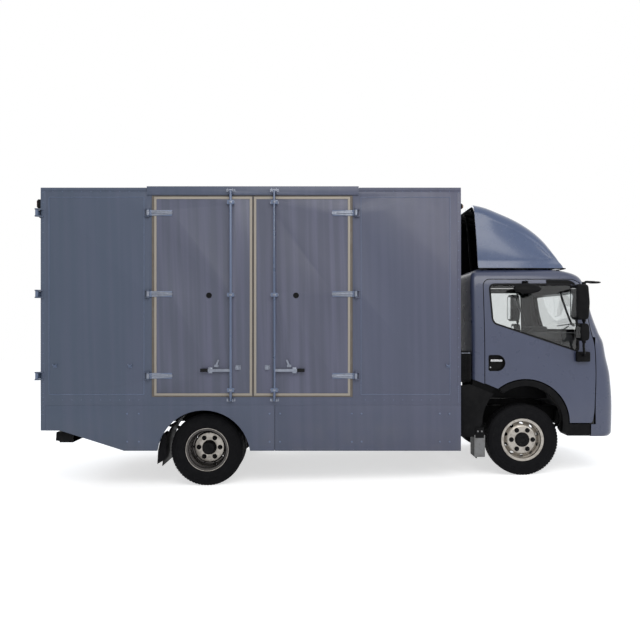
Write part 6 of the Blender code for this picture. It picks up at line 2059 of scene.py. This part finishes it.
def lever_tongue():
    base = prism(
        "Z", softened_outline([(-0.022, -0.016), (0.022, -0.016), (0.022, 0.010), (-0.022, 0.010)], 0.006),
        (0.0008, 0.0060)
    )
    tongue = prism(
        "Z", softened_outline([(-0.009, 0.0), (0.009, 0.0), (0.009, 0.066), (-0.009, 0.066)], 0.008),
        (0.012, 0.018)
    )
    tongue.transform(Matrix.Rotation(math.radians(-22), 4, "Z"))
    post = rod((0, 0.004, 0.004), (0, 0.004, 0.017), 0.007, 16)
    return together(base, tongue, post)


for leaf, body, rod_x, way in (
    ("rear", "side_door_rear", LOCK_ROD_X[0], -1), ("front", "side_door_front", LOCK_ROD_X[1], 1)
):
    saddles = [placed(saddle(), on_side(rod_x, z, 1)) for z in GUIDE_Z]
    add_piece("side_door_" + leaf + "_saddles", together(*saddles), plated, body, 40)
    parts = [
        placed(lever_catch(), on_side(rod_x - way * 0.072, 1.238, way)),
        placed(lever_tongue(), on_side(rod_x + way * 0.150, 1.256, -way))
    ]
    add_piece("side_door_" + leaf + "_catch", together(*parts), plated, body, 40)
    grip = rounded_block(
        sorted((rod_x + way * 0.232, rod_x + way * 0.309)), (-1.1255, -1.1035),
        (LOCK_LEVER_Z - 0.0175, LOCK_LEVER_Z + 0.0175), 0.006
    )
    add_piece("side_door_" + leaf + "_grip", grip, seal_rubber, body, 40)
keepers = [placed(keeper(), on_side(x, 0.905, 1)) for x in LOCK_ROD_X]
keepers += [placed(keeper(), Matrix.Translation((0, -0.015, 0)) @ on_side(x, 3.046, 1)) for x in LOCK_ROD_X]
add_piece("side_rod_keepers", together(*keepers), plated, "chassis", 40)
vent_profile = [
    (0, 0.0005), (0, 0.0030), (0.020, 0.0030), (0.0215, 0.0055), (0.0255, 0.0060), (0.0290, 0.0035),
    (0.0295, 0.0005)
]
for leaf, x in (("rear", 0.038), ("front", 0.929)):
    vent = turned(list(reversed(vent_profile)), 40, outward(x, SKIN, 1.975, -1))
    bars = [
        block(
            (x - 0.017, x + 0.017), (SKIN - 0.0055, SKIN - 0.0028),
            (1.975 + dz - 0.0012, 1.975 + dz + 0.0012)
        )
        for dz in (-0.010, -0.005, 0, 0.005, 0.010)
    ]
    add_piece(
        "side_door_" + leaf + "_vent", together(vent, *bars), seal_rubber, "side_door_" + leaf, 40
    )
print("rod saddles, keepers, catches and vents made")

# %% [markdown]
# The wall sheets are framed by thin beads, and lines of rivets hold them to the corner posts. A rivet is a
# low dome of a few faces, and the row tree lays as many as each line needs.

# %% Beads and rivets
RIVET_RADIUS = 0.0048


def rivet(place):
    profile = [
        (0, -0.0005), (RIVET_RADIUS, -0.0005), (RIVET_RADIUS * 0.95, 0.0012), (RIVET_RADIUS * 0.6, 0.0026),
        (0, 0.0031)
    ]
    return turned(profile, 10, place)


def rivet_row(count, start, end, place):
    # The rivets take the lighter hardware paint, partly a painted highlight on their heads.
    return row_of(rivet(place), door_trim_paint, count, start, end)


def bead_loop(x, z, side):
    y = side * (BOX_HALF_WIDTH + 0.0003)
    loop = [(x[0], z[0]), (x[1], z[0]), (x[1], z[1]), (x[0], z[1])]
    return [tube([(a[0], y, a[1]), (b[0], y, b[1])], 0.0030, 8) for a, b in zip(loop, loop[1:] + loop[:1])]


beads = bead_loop((-1.599, -0.627), (0.962, 2.980), -1) + bead_loop((1.594, 2.505), (0.962, 2.980), -1)
beads += bead_loop((-1.599, -0.620), (0.962, 2.980), 1) + bead_loop((-0.580, 0.460), (0.962, 2.980), 1)
beads += bead_loop((0.500, 1.540), (0.962, 2.980), 1) + bead_loop((1.594, 2.505), (0.962, 2.980), 1)
# The beads take the lighter hardware paint instead of the wall's, partly a painted highlight along their
# raised tops.
add_piece("wall_beads", together(*beads), door_trim_paint, "chassis", 60)

rows = []
for side in (-1, 1):
    y = side * BOX_HALF_WIDTH
    out = outward(0, 0, 0, side)
    rows.append(rivet_row(9, (2.592, y, 0.884), (2.592, y, 1.044), out))
    rows.append(rivet_row(20, (2.592, y, 1.144), (2.592, y, 3.030), out))
    rows.append(rivet_row(6, (-1.660, y, 0.758), (-1.660, y, 0.972), out))
    rows.append(rivet_row(20, (-1.660, y, 1.072), (-1.660, y, 3.030), out))
    rows.append(rivet_row(10, (-1.560, y, 3.040), (-0.680, y, 3.040), out))
    rows.append(rivet_row(10, (1.640, y, 3.040), (2.500, y, 3.040), out))
    rows.append(rivet_row(10, (-1.560, y, 0.905), (-0.680, y, 0.905), out))
    rows.append(rivet_row(10, (1.640, y, 0.905), (2.500, y, 0.905), out))
add_piece("wall_rivets", together(*rows), door_trim_paint, "chassis", 40)
print("beads and rivets made:", sum(len(mesh.vertices) for mesh in rows), "rivet points")

# %% [markdown]
# The skirts hang on round-headed bolts, one pair at each bracket. A dark strap closes the seam between two
# of them.

# %% Skirt bolts
SKIRT_SEAM = 0.711
SKIRT_BOLTS = [
    (x, z)
    for x in (-0.800, -0.680, 0.658, 0.765, 1.500, 1.600, 2.400, 2.500) for z in (0.477, 0.764)
]
heads = []
for side in (-1, 1):
    for x, z in SKIRT_BOLTS:
        profile = [(0, -0.0005), (0.0105, -0.0005), (0.0100, 0.0030), (0.0070, 0.0055), (0, 0.0065)]
        heads.append(turned(profile, 16, outward(x, side * BOX_HALF_WIDTH, z, side)))
add_piece("skirt_bolts", together(*heads), door_trim_paint, "chassis", 50)
straps = [
    block((SKIRT_SEAM - 0.021, SKIRT_SEAM + 0.021), (side * 1.0500, side * 1.0555), (0.390, 0.842))
    for side in (-1, 1)
]
add_piece("skirt_joint_straps", together(*straps), black_steel, "chassis")

# %% [markdown]
# The roof's edge is a folded angle, left open over the doorway on the right side.

# %% Roof edge
edges = []
for side in (-1, 1):
    outline = [
        (side * 1.0805, 3.0745), (side * 1.0805, 3.052), (side * 1.0835, 3.052), (side * 1.0835, 3.0775),
        (side * 1.040, 3.0775), (side * 1.040, 3.0745)
    ]
    if side > 0:
        edges.append(prism("X", outline, (BOX_REAR + 0.002, BOX_FRONT - 0.002)))
    else:
        edges.append(prism("X", outline, (BOX_REAR + 0.002, -0.600)))
        edges.append(prism("X", outline, (1.575, BOX_FRONT - 0.002)))
add_piece("roof_edge", together(*edges), box_paint, "chassis", 30)
print("roof edge made")

# %% [markdown]
# Small lamps mark the corners: a black body with a red lens at the rear, and a round one on the front wall.

# %% Marker lamps
for side_name, side in SIDES.items():
    base = rounded_block(
        (BOX_REAR - 0.034, BOX_REAR - 0.0005), (side * 1.020, side * 1.078), (2.868, 2.960), 0.006
    )
    base_foot = rounded_block(
        (BOX_REAR - 0.020, BOX_REAR - 0.0005), (side * 1.030, side * 1.070), (2.770, 2.850), 0.005
    )
    red = rounded_block(
        (BOX_REAR - 0.046, BOX_REAR - 0.026), (side * 1.026, side * 1.072), (2.876, 2.952), 0.008
    )
    add_piece(
        side_name + "_rear_marker", together(base, base_foot), black_plastic, "chassis", 40
    )
    add_piece(side_name + "_rear_marker_lens", red, red_lens, "chassis", 40)
    place = Matrix.Translation(
        (BOX_FRONT + 0.0005, side * 1.020, 2.897)
    ) @ Matrix.Rotation(math.pi / 2, 4, "Y")
    cup = turned([(0, 0), (0.030, 0), (0.030, 0.016), (0.024, 0.022), (0, 0.022)], 32, place)
    dome = turned([(0, 0.018), (0.023, 0.018), (0.022, 0.026), (0.015, 0.033), (0, 0.036)], 32, place)
    add_piece(side_name + "_front_marker", cup, black_plastic, "chassis", 40)
    add_piece(side_name + "_front_marker_lens", dome, amber_lens, "chassis", 50)
print("marker lamps made")

# %% [markdown]
# Cup-shaped catches on the walls hold the open doors back. The flaps behind the rear wheels are thick
# rubber.

# %% Catches, flaps and tail lamps


def hold_back_catch():
    base = prism(
        "Z", softened_outline([(-0.017, -0.020), (0.017, -0.020), (0.017, 0.012), (-0.017, 0.012)], 0.006),
        (0.0005, 0.004)
    )
    cup = tube(
        smooth_path(
            [
                (-0.018, 0.020, 0.014), (-0.013, 0.006, 0.016), (0, 0.000, 0.018), (0.013, 0.006, 0.016),
                (0.018, 0.020, 0.014)
            ],
            4
        ),
        0.0048, 10
    )
    stem = rod((0, -0.002, 0.003), (0, -0.001, 0.018), 0.006, 12)
    bolts = [bolt_head(Matrix.Translation((x, -0.012, 0.004)), 0.005, 0.004) for x in (-0.009, 0.009)]
    return together(base, cup, stem, *bolts)


catches = [placed(hold_back_catch(), on_side(x, 1.252, 1)) for x in (-1.538, -0.770, 2.485)]
catches += [placed(hold_back_catch(), on_side(-1.538, 1.252, 1, 1))]
add_piece("hold_back_catches", together(*catches), door_trim_paint, "chassis", 45)
for side_name, side in SIDES.items():
    flap = [
        (-0.506, 0.236), (-0.424, 0.282), (-0.414, 0.340), (-0.416, 0.440), (-0.406, 0.520),
        (-0.438, 0.560), (-0.474, 0.490), (-0.498, 0.380)
    ]
    flap_shape = with_modifiers(
        prism("Y", flap, sorted((side * 0.860, side * 1.026))), ("BEVEL", {"width": 0.004, "segments": 2})
    )
    add_piece(side_name + "_rear_flap", flap_shape, tyre_rubber, "chassis", 30)
    lamp = nodes[side_name + "_tail_lamp"]
    to_level = LEVEL.inverted()
    rear_face = min((to_level @ vertex.co).x for vertex in lamp.data.vertices)
    softened(
        side_name + "_tail_lamp", 0.003, (red_lens, black_plastic), 35, 2, 30,
        lambda point: 0 if point.x < rear_face + 0.004 else 1
    )
softened("underrun_bar", 0.004, black_steel, 35)
plate = rounded_block((-1.5285, -1.5258), (-0.220, 0.220), (0.458, 0.562), 0.0012, 2)
blank_plate, blank_tree, blank_shader = new_finish("blank plate", (0.45, 0.46, 0.47), 0.35)
blank_tree.links.new(
    blend_colours(blank_tree, noise(blank_tree, 12.0), (0.40, 0.41, 0.42), (0.50, 0.51, 0.52)),
    blank_shader.inputs["Base Color"]
)
add_piece("rear_plate", plate, blank_plate, "chassis", 30)
print("catches, flaps and tail lamps made")

# %% [markdown]
# The rear doors carry the same seals, straps and saddles as the side doors. They are laid out on the rear
# face.

# %% Rear door hardware


def on_rear(y, z, way):
    """A frame on the rear face: X across the truck (way 1 to the left), Y up, Z out of the face."""
    matrix = Matrix(((0, 0, -1), (way, 0, 0), (0, 1, 0))).to_4x4()
    return Matrix.Translation((BOX_REAR, y, z)) @ matrix


for side_name, side in SIDES.items():
    body = side_name + "_rear_door"
    door_points = [LEVEL.inverted() @ vertex.co for vertex in nodes[body].data.vertices]
    flat = [point for point in door_points if abs(point.x - BOX_REAR) < 0.0006]
    edge = max(abs(point.y) for point in flat)
    inner_edge = min(abs(point.y) for point in flat)
    low, high = min(point.z for point in flat), max(point.z for point in flat)
    strips = (EDGE_STRIP["seam"], EDGE_STRIP["hinge"], EDGE_STRIP["bottom"], EDGE_STRIP["top"])
    strip, lip = seal_pair(inner_edge, edge, low, high, strips, 1, 0.0)
    for mesh in (strip, lip):
        placed(
            mesh,
            Matrix.Translation((BOX_REAR, 0, 0)) @ Matrix(((0, -1, 0), (side, 0, 0), (0, 0, 1))).to_4x4()
        )
    add_piece(body + "_strip", strip, brown_seal, body, 30)
    add_piece(body + "_lip", lip, cream_seal, body, 40)
    shapes = [placed(strap_hinge(HINGE_REACH), on_rear(side * edge, z, -side)) for z in HINGE_Z]
    shapes += [placed(saddle(), on_rear(side * 0.200, z, side)) for z in (*GUIDE_Z[:2], 2.900)]
    add_piece(body + "_hardware", together(*shapes), plated, body, 40)
    parts = [
        placed(lever_catch(), on_rear(side * 0.128, 1.238, side)),
        placed(lever_tongue(), on_rear(side * 0.320, 1.256, side))
    ]
    add_piece(body + "_catch", together(*parts), plated, body, 40)
    grip = rounded_block(
        (BOX_REAR - 0.045, BOX_REAR - 0.024), sorted((side * 0.392, side * 0.4165)),
        (LOCK_LEVER_Z - 0.0175, LOCK_LEVER_Z + 0.0175), 0.005
    )
    add_piece(body + "_grip", grip, seal_rubber, body, 40)
    print(body, "from", round(inner_edge, 3), "to", round(edge, 3), "and z", round(low, 3), round(high, 3))

# %% [markdown]
# The seats are foam under stretched cloth. A plain block of the right size is remeshed finely, and a cloth
# simulation with air pressure inside rounds it out as foam does. No point may move further than the cap, so
# each pad keeps to its place. The sewn channels are pressed in afterwards.

# %% A padded form
PAD_VOXEL = 0.012


def padded_form(mesh, cap, pressure=4.0):
    """Swells a closed block into a pad and returns the mesh."""
    carrier = bpy.data.objects.new("pad", mesh)
    scene.collection.objects.link(carrier)
    remesh = carrier.modifiers.new("remesh", "REMESH")
    remesh.mode = "VOXEL"
    remesh.voxel_size = PAD_VOXEL
    fine = bpy.data.meshes.new_from_object(carrier.evaluated_get(bpy.context.evaluated_depsgraph_get()))
    carrier.modifiers.remove(remesh)
    carrier.data = fine
    start = [vertex.co.copy() for vertex in fine.vertices]
    cloth = carrier.modifiers.new("cloth", "CLOTH")
    cloth.settings.use_pressure = True
    cloth.settings.uniform_pressure_force = pressure
    cloth.settings.effector_weights.gravity = 0
    cloth.settings.quality = 4
    cloth.settings.tension_stiffness = 12
    cloth.settings.compression_stiffness = 12
    for number in range(1, 15):
        scene.frame_set(number)
    swollen = bpy.data.meshes.new_from_object(
        carrier.evaluated_get(bpy.context.evaluated_depsgraph_get())
    )
    scene.frame_set(1)
    carrier.modifiers.remove(cloth)
    for vertex, first in zip(swollen.vertices, start):
        move = vertex.co - first
        if move.length > cap:
            vertex.co = first + move * (cap / move.length)
    fine = swollen
    bpy.data.objects.remove(carrier)
    return with_modifiers(fine, ("SMOOTH", {"factor": 0.5, "iterations": 6}))


def pressed_channels(mesh, lines, depth, width):
    """Presses grooves in along planes. Each line is (axis, place)."""
    for vertex in mesh.vertices:
        sink = 0.0
        for axis, place in lines:
            away = (vertex.co[axis] - place) / width
            sink = max(sink, depth * math.exp(-away * away))
        vertex.co -= vertex.normal * sink
    return mesh


def slab(x, y, z, lean, radius):
    """A rounded block that leans back: its top moves by the lean."""
    mesh = rounded_block(x, y, z, radius, 3)
    for vertex in mesh.vertices:
        vertex.co.x -= lean * (vertex.co.z - z[0]) / (z[1] - z[0])
    return mesh


SEAT_REAR = 2.846
for name, y_span, heads in (
    ("driver_seat", (0.160, 0.660), (0.410,)), ("passenger_seat", (-0.720, 0.080), (-0.530, -0.130))
):
    inner = (y_span[0] + 0.014, y_span[1] - 0.014)
    thirds = [
        y_span[0] + (y_span[1] - y_span[0]) * share
        for share in ((0.24, 0.76) if len(heads) == 1 else (0.14, 0.36, 0.50, 0.64, 0.86))
    ]
    cushion = slab((SEAT_REAR + 0.125, SEAT_REAR + 0.625), inner, (1.180, 1.286), 0, 0.030)
    cushion = pressed_channels(
        padded_form(cushion, 0.016),
        [(1, y) for y in thirds] + [(0, SEAT_REAR + 0.30), (0, SEAT_REAR + 0.45)], 0.006, 0.009
    )
    back = slab((SEAT_REAR + 0.100, SEAT_REAR + 0.195), inner, (1.290, 1.820), 0.090, 0.034)
    back = pressed_channels(
        padded_form(back, 0.014), [(1, y) for y in thirds] + [(2, 1.46), (2, 1.63)], 0.006, 0.009
    )
    for part, mesh in (("cushion", cushion), ("back", back)):
        piece = add_piece(name + "_" + part, mesh, seat_cloth, "cab", 80)
        if part == "cushion":
            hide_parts(name)
    posts = []
    for index, y in enumerate(heads):
        head = padded_form(
            slab(
                (SEAT_REAR + 0.012, SEAT_REAR + 0.088), (y - 0.125, y + 0.125), (1.862, 2.000), 0.010, 0.028
            ),
            0.010
        )
        piece = add_piece(
            name + "_headrest" + ("_two" if index else ""), pressed_channels(head, [(1, y)], 0.004, 0.008),
            seat_cloth, "cab", 80
        )
        posts += [
            rod((SEAT_REAR + 0.052, y + dy, 1.800), (SEAT_REAR + 0.048, y + dy, 1.880), 0.007, 12)
            for dy in (-0.055, 0.055)
        ]
    base = rounded_block(
        (SEAT_REAR + 0.150, SEAT_REAR + 0.590), (y_span[0] + 0.030, y_span[1] - 0.030), (1.1605, 1.182),
        0.006, 2
    )
    shell_back = slab(
        (SEAT_REAR + 0.086, SEAT_REAR + 0.108), (y_span[0] + 0.030, y_span[1] - 0.030), (1.250, 1.800),
        0.088, 0.008
    )
    runners = [
        block((SEAT_REAR + 0.130, SEAT_REAR + 0.560), (y - 0.015, y + 0.015), (1.1603, 1.170))
        for y in (y_span[0] + 0.06, y_span[1] - 0.06)
    ]
    add_piece(
        name + "_frame", together(base, shell_back, *runners, *posts), dash_plastic, "cab",
        40
    )
    print(name, "made with", len(cushion.vertices) + len(back.vertices), "points")

# %% [markdown]
# The dashboard is a soft-edged moulding with a hooded instrument cluster, a raised middle panel, and four
# air vents. The slats of the vents are rows.

# %% Dashboard
softened("dashboard", 0.014, dash_plastic, 35, 4)
WHEEL_Y = 0.400
hood_outline = [
    (WHEEL_Y - 0.190, 1.560), (WHEEL_Y - 0.170, 1.625), (WHEEL_Y - 0.120, 1.655), (WHEEL_Y + 0.120, 1.655),
    (WHEEL_Y + 0.170, 1.625), (WHEEL_Y + 0.190, 1.560)
]
cowl = cut(
    prism("X", softened_outline(hood_outline, 0.03), (front + 0.470, front + 0.660)),
    prism("X", grown(softened_outline(hood_outline, 0.03), -0.012), (front + 0.40, front + 0.640))
)
dials = [
    turned(
        [
            (0, 0.0), (0.048, 0.0), (0.052, 0.004), (0.056, 0.004), (0.058, 0.0), (0.058, -0.004),
            (0, -0.004)
        ],
        32, Matrix.Translation((front + 0.634, WHEEL_Y + dy, 1.600)) @ Matrix.Rotation(-math.pi / 2, 4, "Y")
    )
    for dy in (-0.075, 0.075)
]
centre = rounded_block((front + 0.418, front + 0.470), (-0.150, 0.130), (1.290, 1.540), 0.012)
screen_face = rounded_block((front + 0.4150, front + 0.425), (-0.120, 0.100), (1.430, 1.520), 0.004)
knobs = [
    turned(
        [(0, 0), (0.016, 0), (0.018, 0.016), (0.015, 0.022), (0, 0.022)], 24,
        Matrix.Translation((front + 0.419, y, 1.340)) @ Matrix.Rotation(-math.pi / 2, 4, "Y")
    )
    for y in (-0.080, -0.010, 0.060)
]
add_piece("dash_cowl", together(cowl, *dials, centre, *knobs), dash_plastic, "cab", 40)
add_piece("dash_screen", screen_face, seal_rubber, "cab", 40)
for index, y in enumerate((-0.700, -0.240, 0.190, 0.700)):
    frame_ring = cut(
        rounded_block((front + 0.432, front + 0.460), (y - 0.075, y + 0.075), (1.440, 1.510), 0.008),
        block((front + 0.42, front + 0.452), (y - 0.066, y + 0.066), (1.449, 1.501))
    )
    slat = prism(
        "Y",
        [
            (front + 0.436, -0.0015), (front + 0.450, -0.004), (front + 0.450, -0.001),
            (front + 0.436, 0.0015)
        ],
        (y - 0.066, y + 0.066)
    )
    slats = row_of(slat, dash_plastic, 5, (0, 0, 1.457), (0, 0, 1.493))
    add_piece(
        "dash_vent_" + str(index + 1), together(frame_ring, slats), dash_plastic, "cab", 40
    )
print("dashboard made")

# %% [markdown]
# The steering wheel is a round rim on three spokes, with a soft pad over the hub. It turns in the column's
# own frame.

# %% Steering wheel
wheel_frame = Matrix.Translation(
    (front + 0.372, WHEEL_Y, 1.556)
) @ Matrix.Rotation(math.radians(-27), 4, "Y")
ring = turned(arc((0.200, 0), 0.014, 0, 337.5, 15), 72, wheel_frame)
pad_profile = [
    (0, -0.055), (0.034, -0.055), (0.056, -0.030), (0.062, -0.008), (0.056, 0.006), (0.035, 0.013),
    (0, 0.015)
]
hub_pad = turned(pad_profile, 40, wheel_frame)
spokes = []
for degrees in (90, 210, 330):
    spin = wheel_frame @ Matrix.Rotation(math.radians(degrees), 4, "Z")
    spokes.append(
        tube(
            [
                spin @ Vector(p)
                for p in ((0.030, 0, -0.014), (0.090, 0, -0.012), (0.150, 0, -0.006), (0.198, 0, 0))
            ],
            0.0125, 14
        )
    )
wheel_piece = add_piece(
    "steering_wheel_dressed", together(ring, hub_pad, *spokes), dash_plastic, "steering_wheel",
    50
)
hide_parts("steering_wheel")
softened("steering_column", 0.003, dash_plastic, 35)
stalks = []
for way in (-1, 1):
    points = [
        wheel_frame @ Vector(p)
        for p in ((0, way * 0.030, -0.085), (0, way * 0.090, -0.080), (0, way * 0.160, -0.070))
    ]
    stalks.append(tube(points, 0.0065, 12))
add_piece("column_stalks", together(*stalks), dash_plastic, "cab", 50)
print("steering wheel made")

# %% [markdown]
# A dark strip over the front half of each side window keeps rain off. Two wipers lie at the foot of the
# windscreen. Both follow the cab's own form, so they are cut from its skin or laid on it.

# %% Rain strips, wipers and handles
strip_outline = [
    (3.560, 2.150), (3.800, 2.147), (3.855, 2.118), (3.890, 2.050), (3.872, 2.046), (3.838, 2.098),
    (3.780, 2.112), (3.560, 2.112)
]
for side_name, side in SIDES.items():
    strip = keep(
        cab_skin(-0.004, 0.004), prism("Y", softened_outline(strip_outline, 0.012), side_span(side))
    )
    add_piece(side_name + "_rain_strip", strip, black_plastic, side_name + "_cab_door", 40)

screen_rows = curve_through(CAB_LEVELS, 0.024)


def face_point(y, z, out):
    """A point on the cab's front at this place, moved outwards."""
    level = min(screen_rows, key=lambda row: abs(row[0] - z))
    section = cab_section((z, *level[1:]), 0, True)
    ahead = [point for point in section if point[0] > front + 0.4]
    x = min(ahead, key=lambda point: abs(point[1] - y))[0]
    return Vector((x + out * 0.92, y, z + out * 0.38))


wiper_parts = []
for pivot_y, tip_y in ((0.500, -0.080), (-0.180, -0.720)):
    pivot_at = face_point(pivot_y, 1.560, 0.010)
    arm = [
        face_point(pivot_y + (tip_y - pivot_y) * t, 1.560 + 0.135 * math.sin(t * 1.2), 0.016 + 0.010 * t)
        for t in (0, 0.2, 0.4, 0.6)
    ]
    wiper_parts.append(tube([pivot_at] + arm, 0.0065, 8))
    blade = [
        face_point(pivot_y + (tip_y - pivot_y) * t, 1.655 + 0.03 * t, 0.010)
        for t in (0.1, 0.3, 0.5, 0.7, 0.9, 1.05)
    ]
    wiper_parts.append(tube(blade, 0.0060, 8))
    wiper_parts.append(
        turned(
            [(0, -0.012), (0.016, -0.012), (0.016, 0.010), (0.010, 0.016), (0, 0.016)], 20,
            Matrix.Translation(pivot_at) @ Matrix.Rotation(math.radians(66), 4, "Y")
        )
    )
add_piece("wipers", together(*wiper_parts), black_plastic, "cab", 50)
grip = []
for y in (-0.790, 0.790):
    points = [
        (front + 0.470, y, 2.030), (front + 0.450, y * 0.975, 2.000), (front + 0.500, y * 0.965, 1.850),
        (front + 0.560, y * 0.975, 1.690), (front + 0.585, y, 1.665)
    ]
    grip.append(tube(smooth_path(points, 6), 0.011, 12))
for y in (-0.360, 0.400):
    grip.append(
        rounded_block((front + 0.300, front + 0.470), (y - 0.170, y + 0.170), (2.150, 2.166), 0.006)
    )
add_piece("grips_and_visors", together(*grip), lining, "cab", 50)
print("rain strips, wipers and grips made")

# %% [markdown]
# The junction box behind the cab is a ribbed plastic case with bright edges.

# %% Junction box
softened("junction_box", 0.006, black_plastic, 35, 3)
fin = rounded_block((-0.0025, 0.0025), (-0.936, -0.929), (1.095, 1.365), 0.001, 2)
fins = row_of(fin, black_plastic, 6, (2.662, 0, 0), (2.738, 0, 0))
cover_edge = tube([(2.655, -0.9315, 1.378), (2.745, -0.9315, 1.378)], 0.004, 8)
cover_front = tube([(2.7545, -0.925, 1.100), (2.7545, -0.925, 1.360)], 0.003, 8)
add_piece("junction_box_fins", fins, black_plastic, "chassis", 40)
add_piece("junction_box_edges", together(cover_edge, cover_front), plated, "chassis", 50)
print("junction box softened")
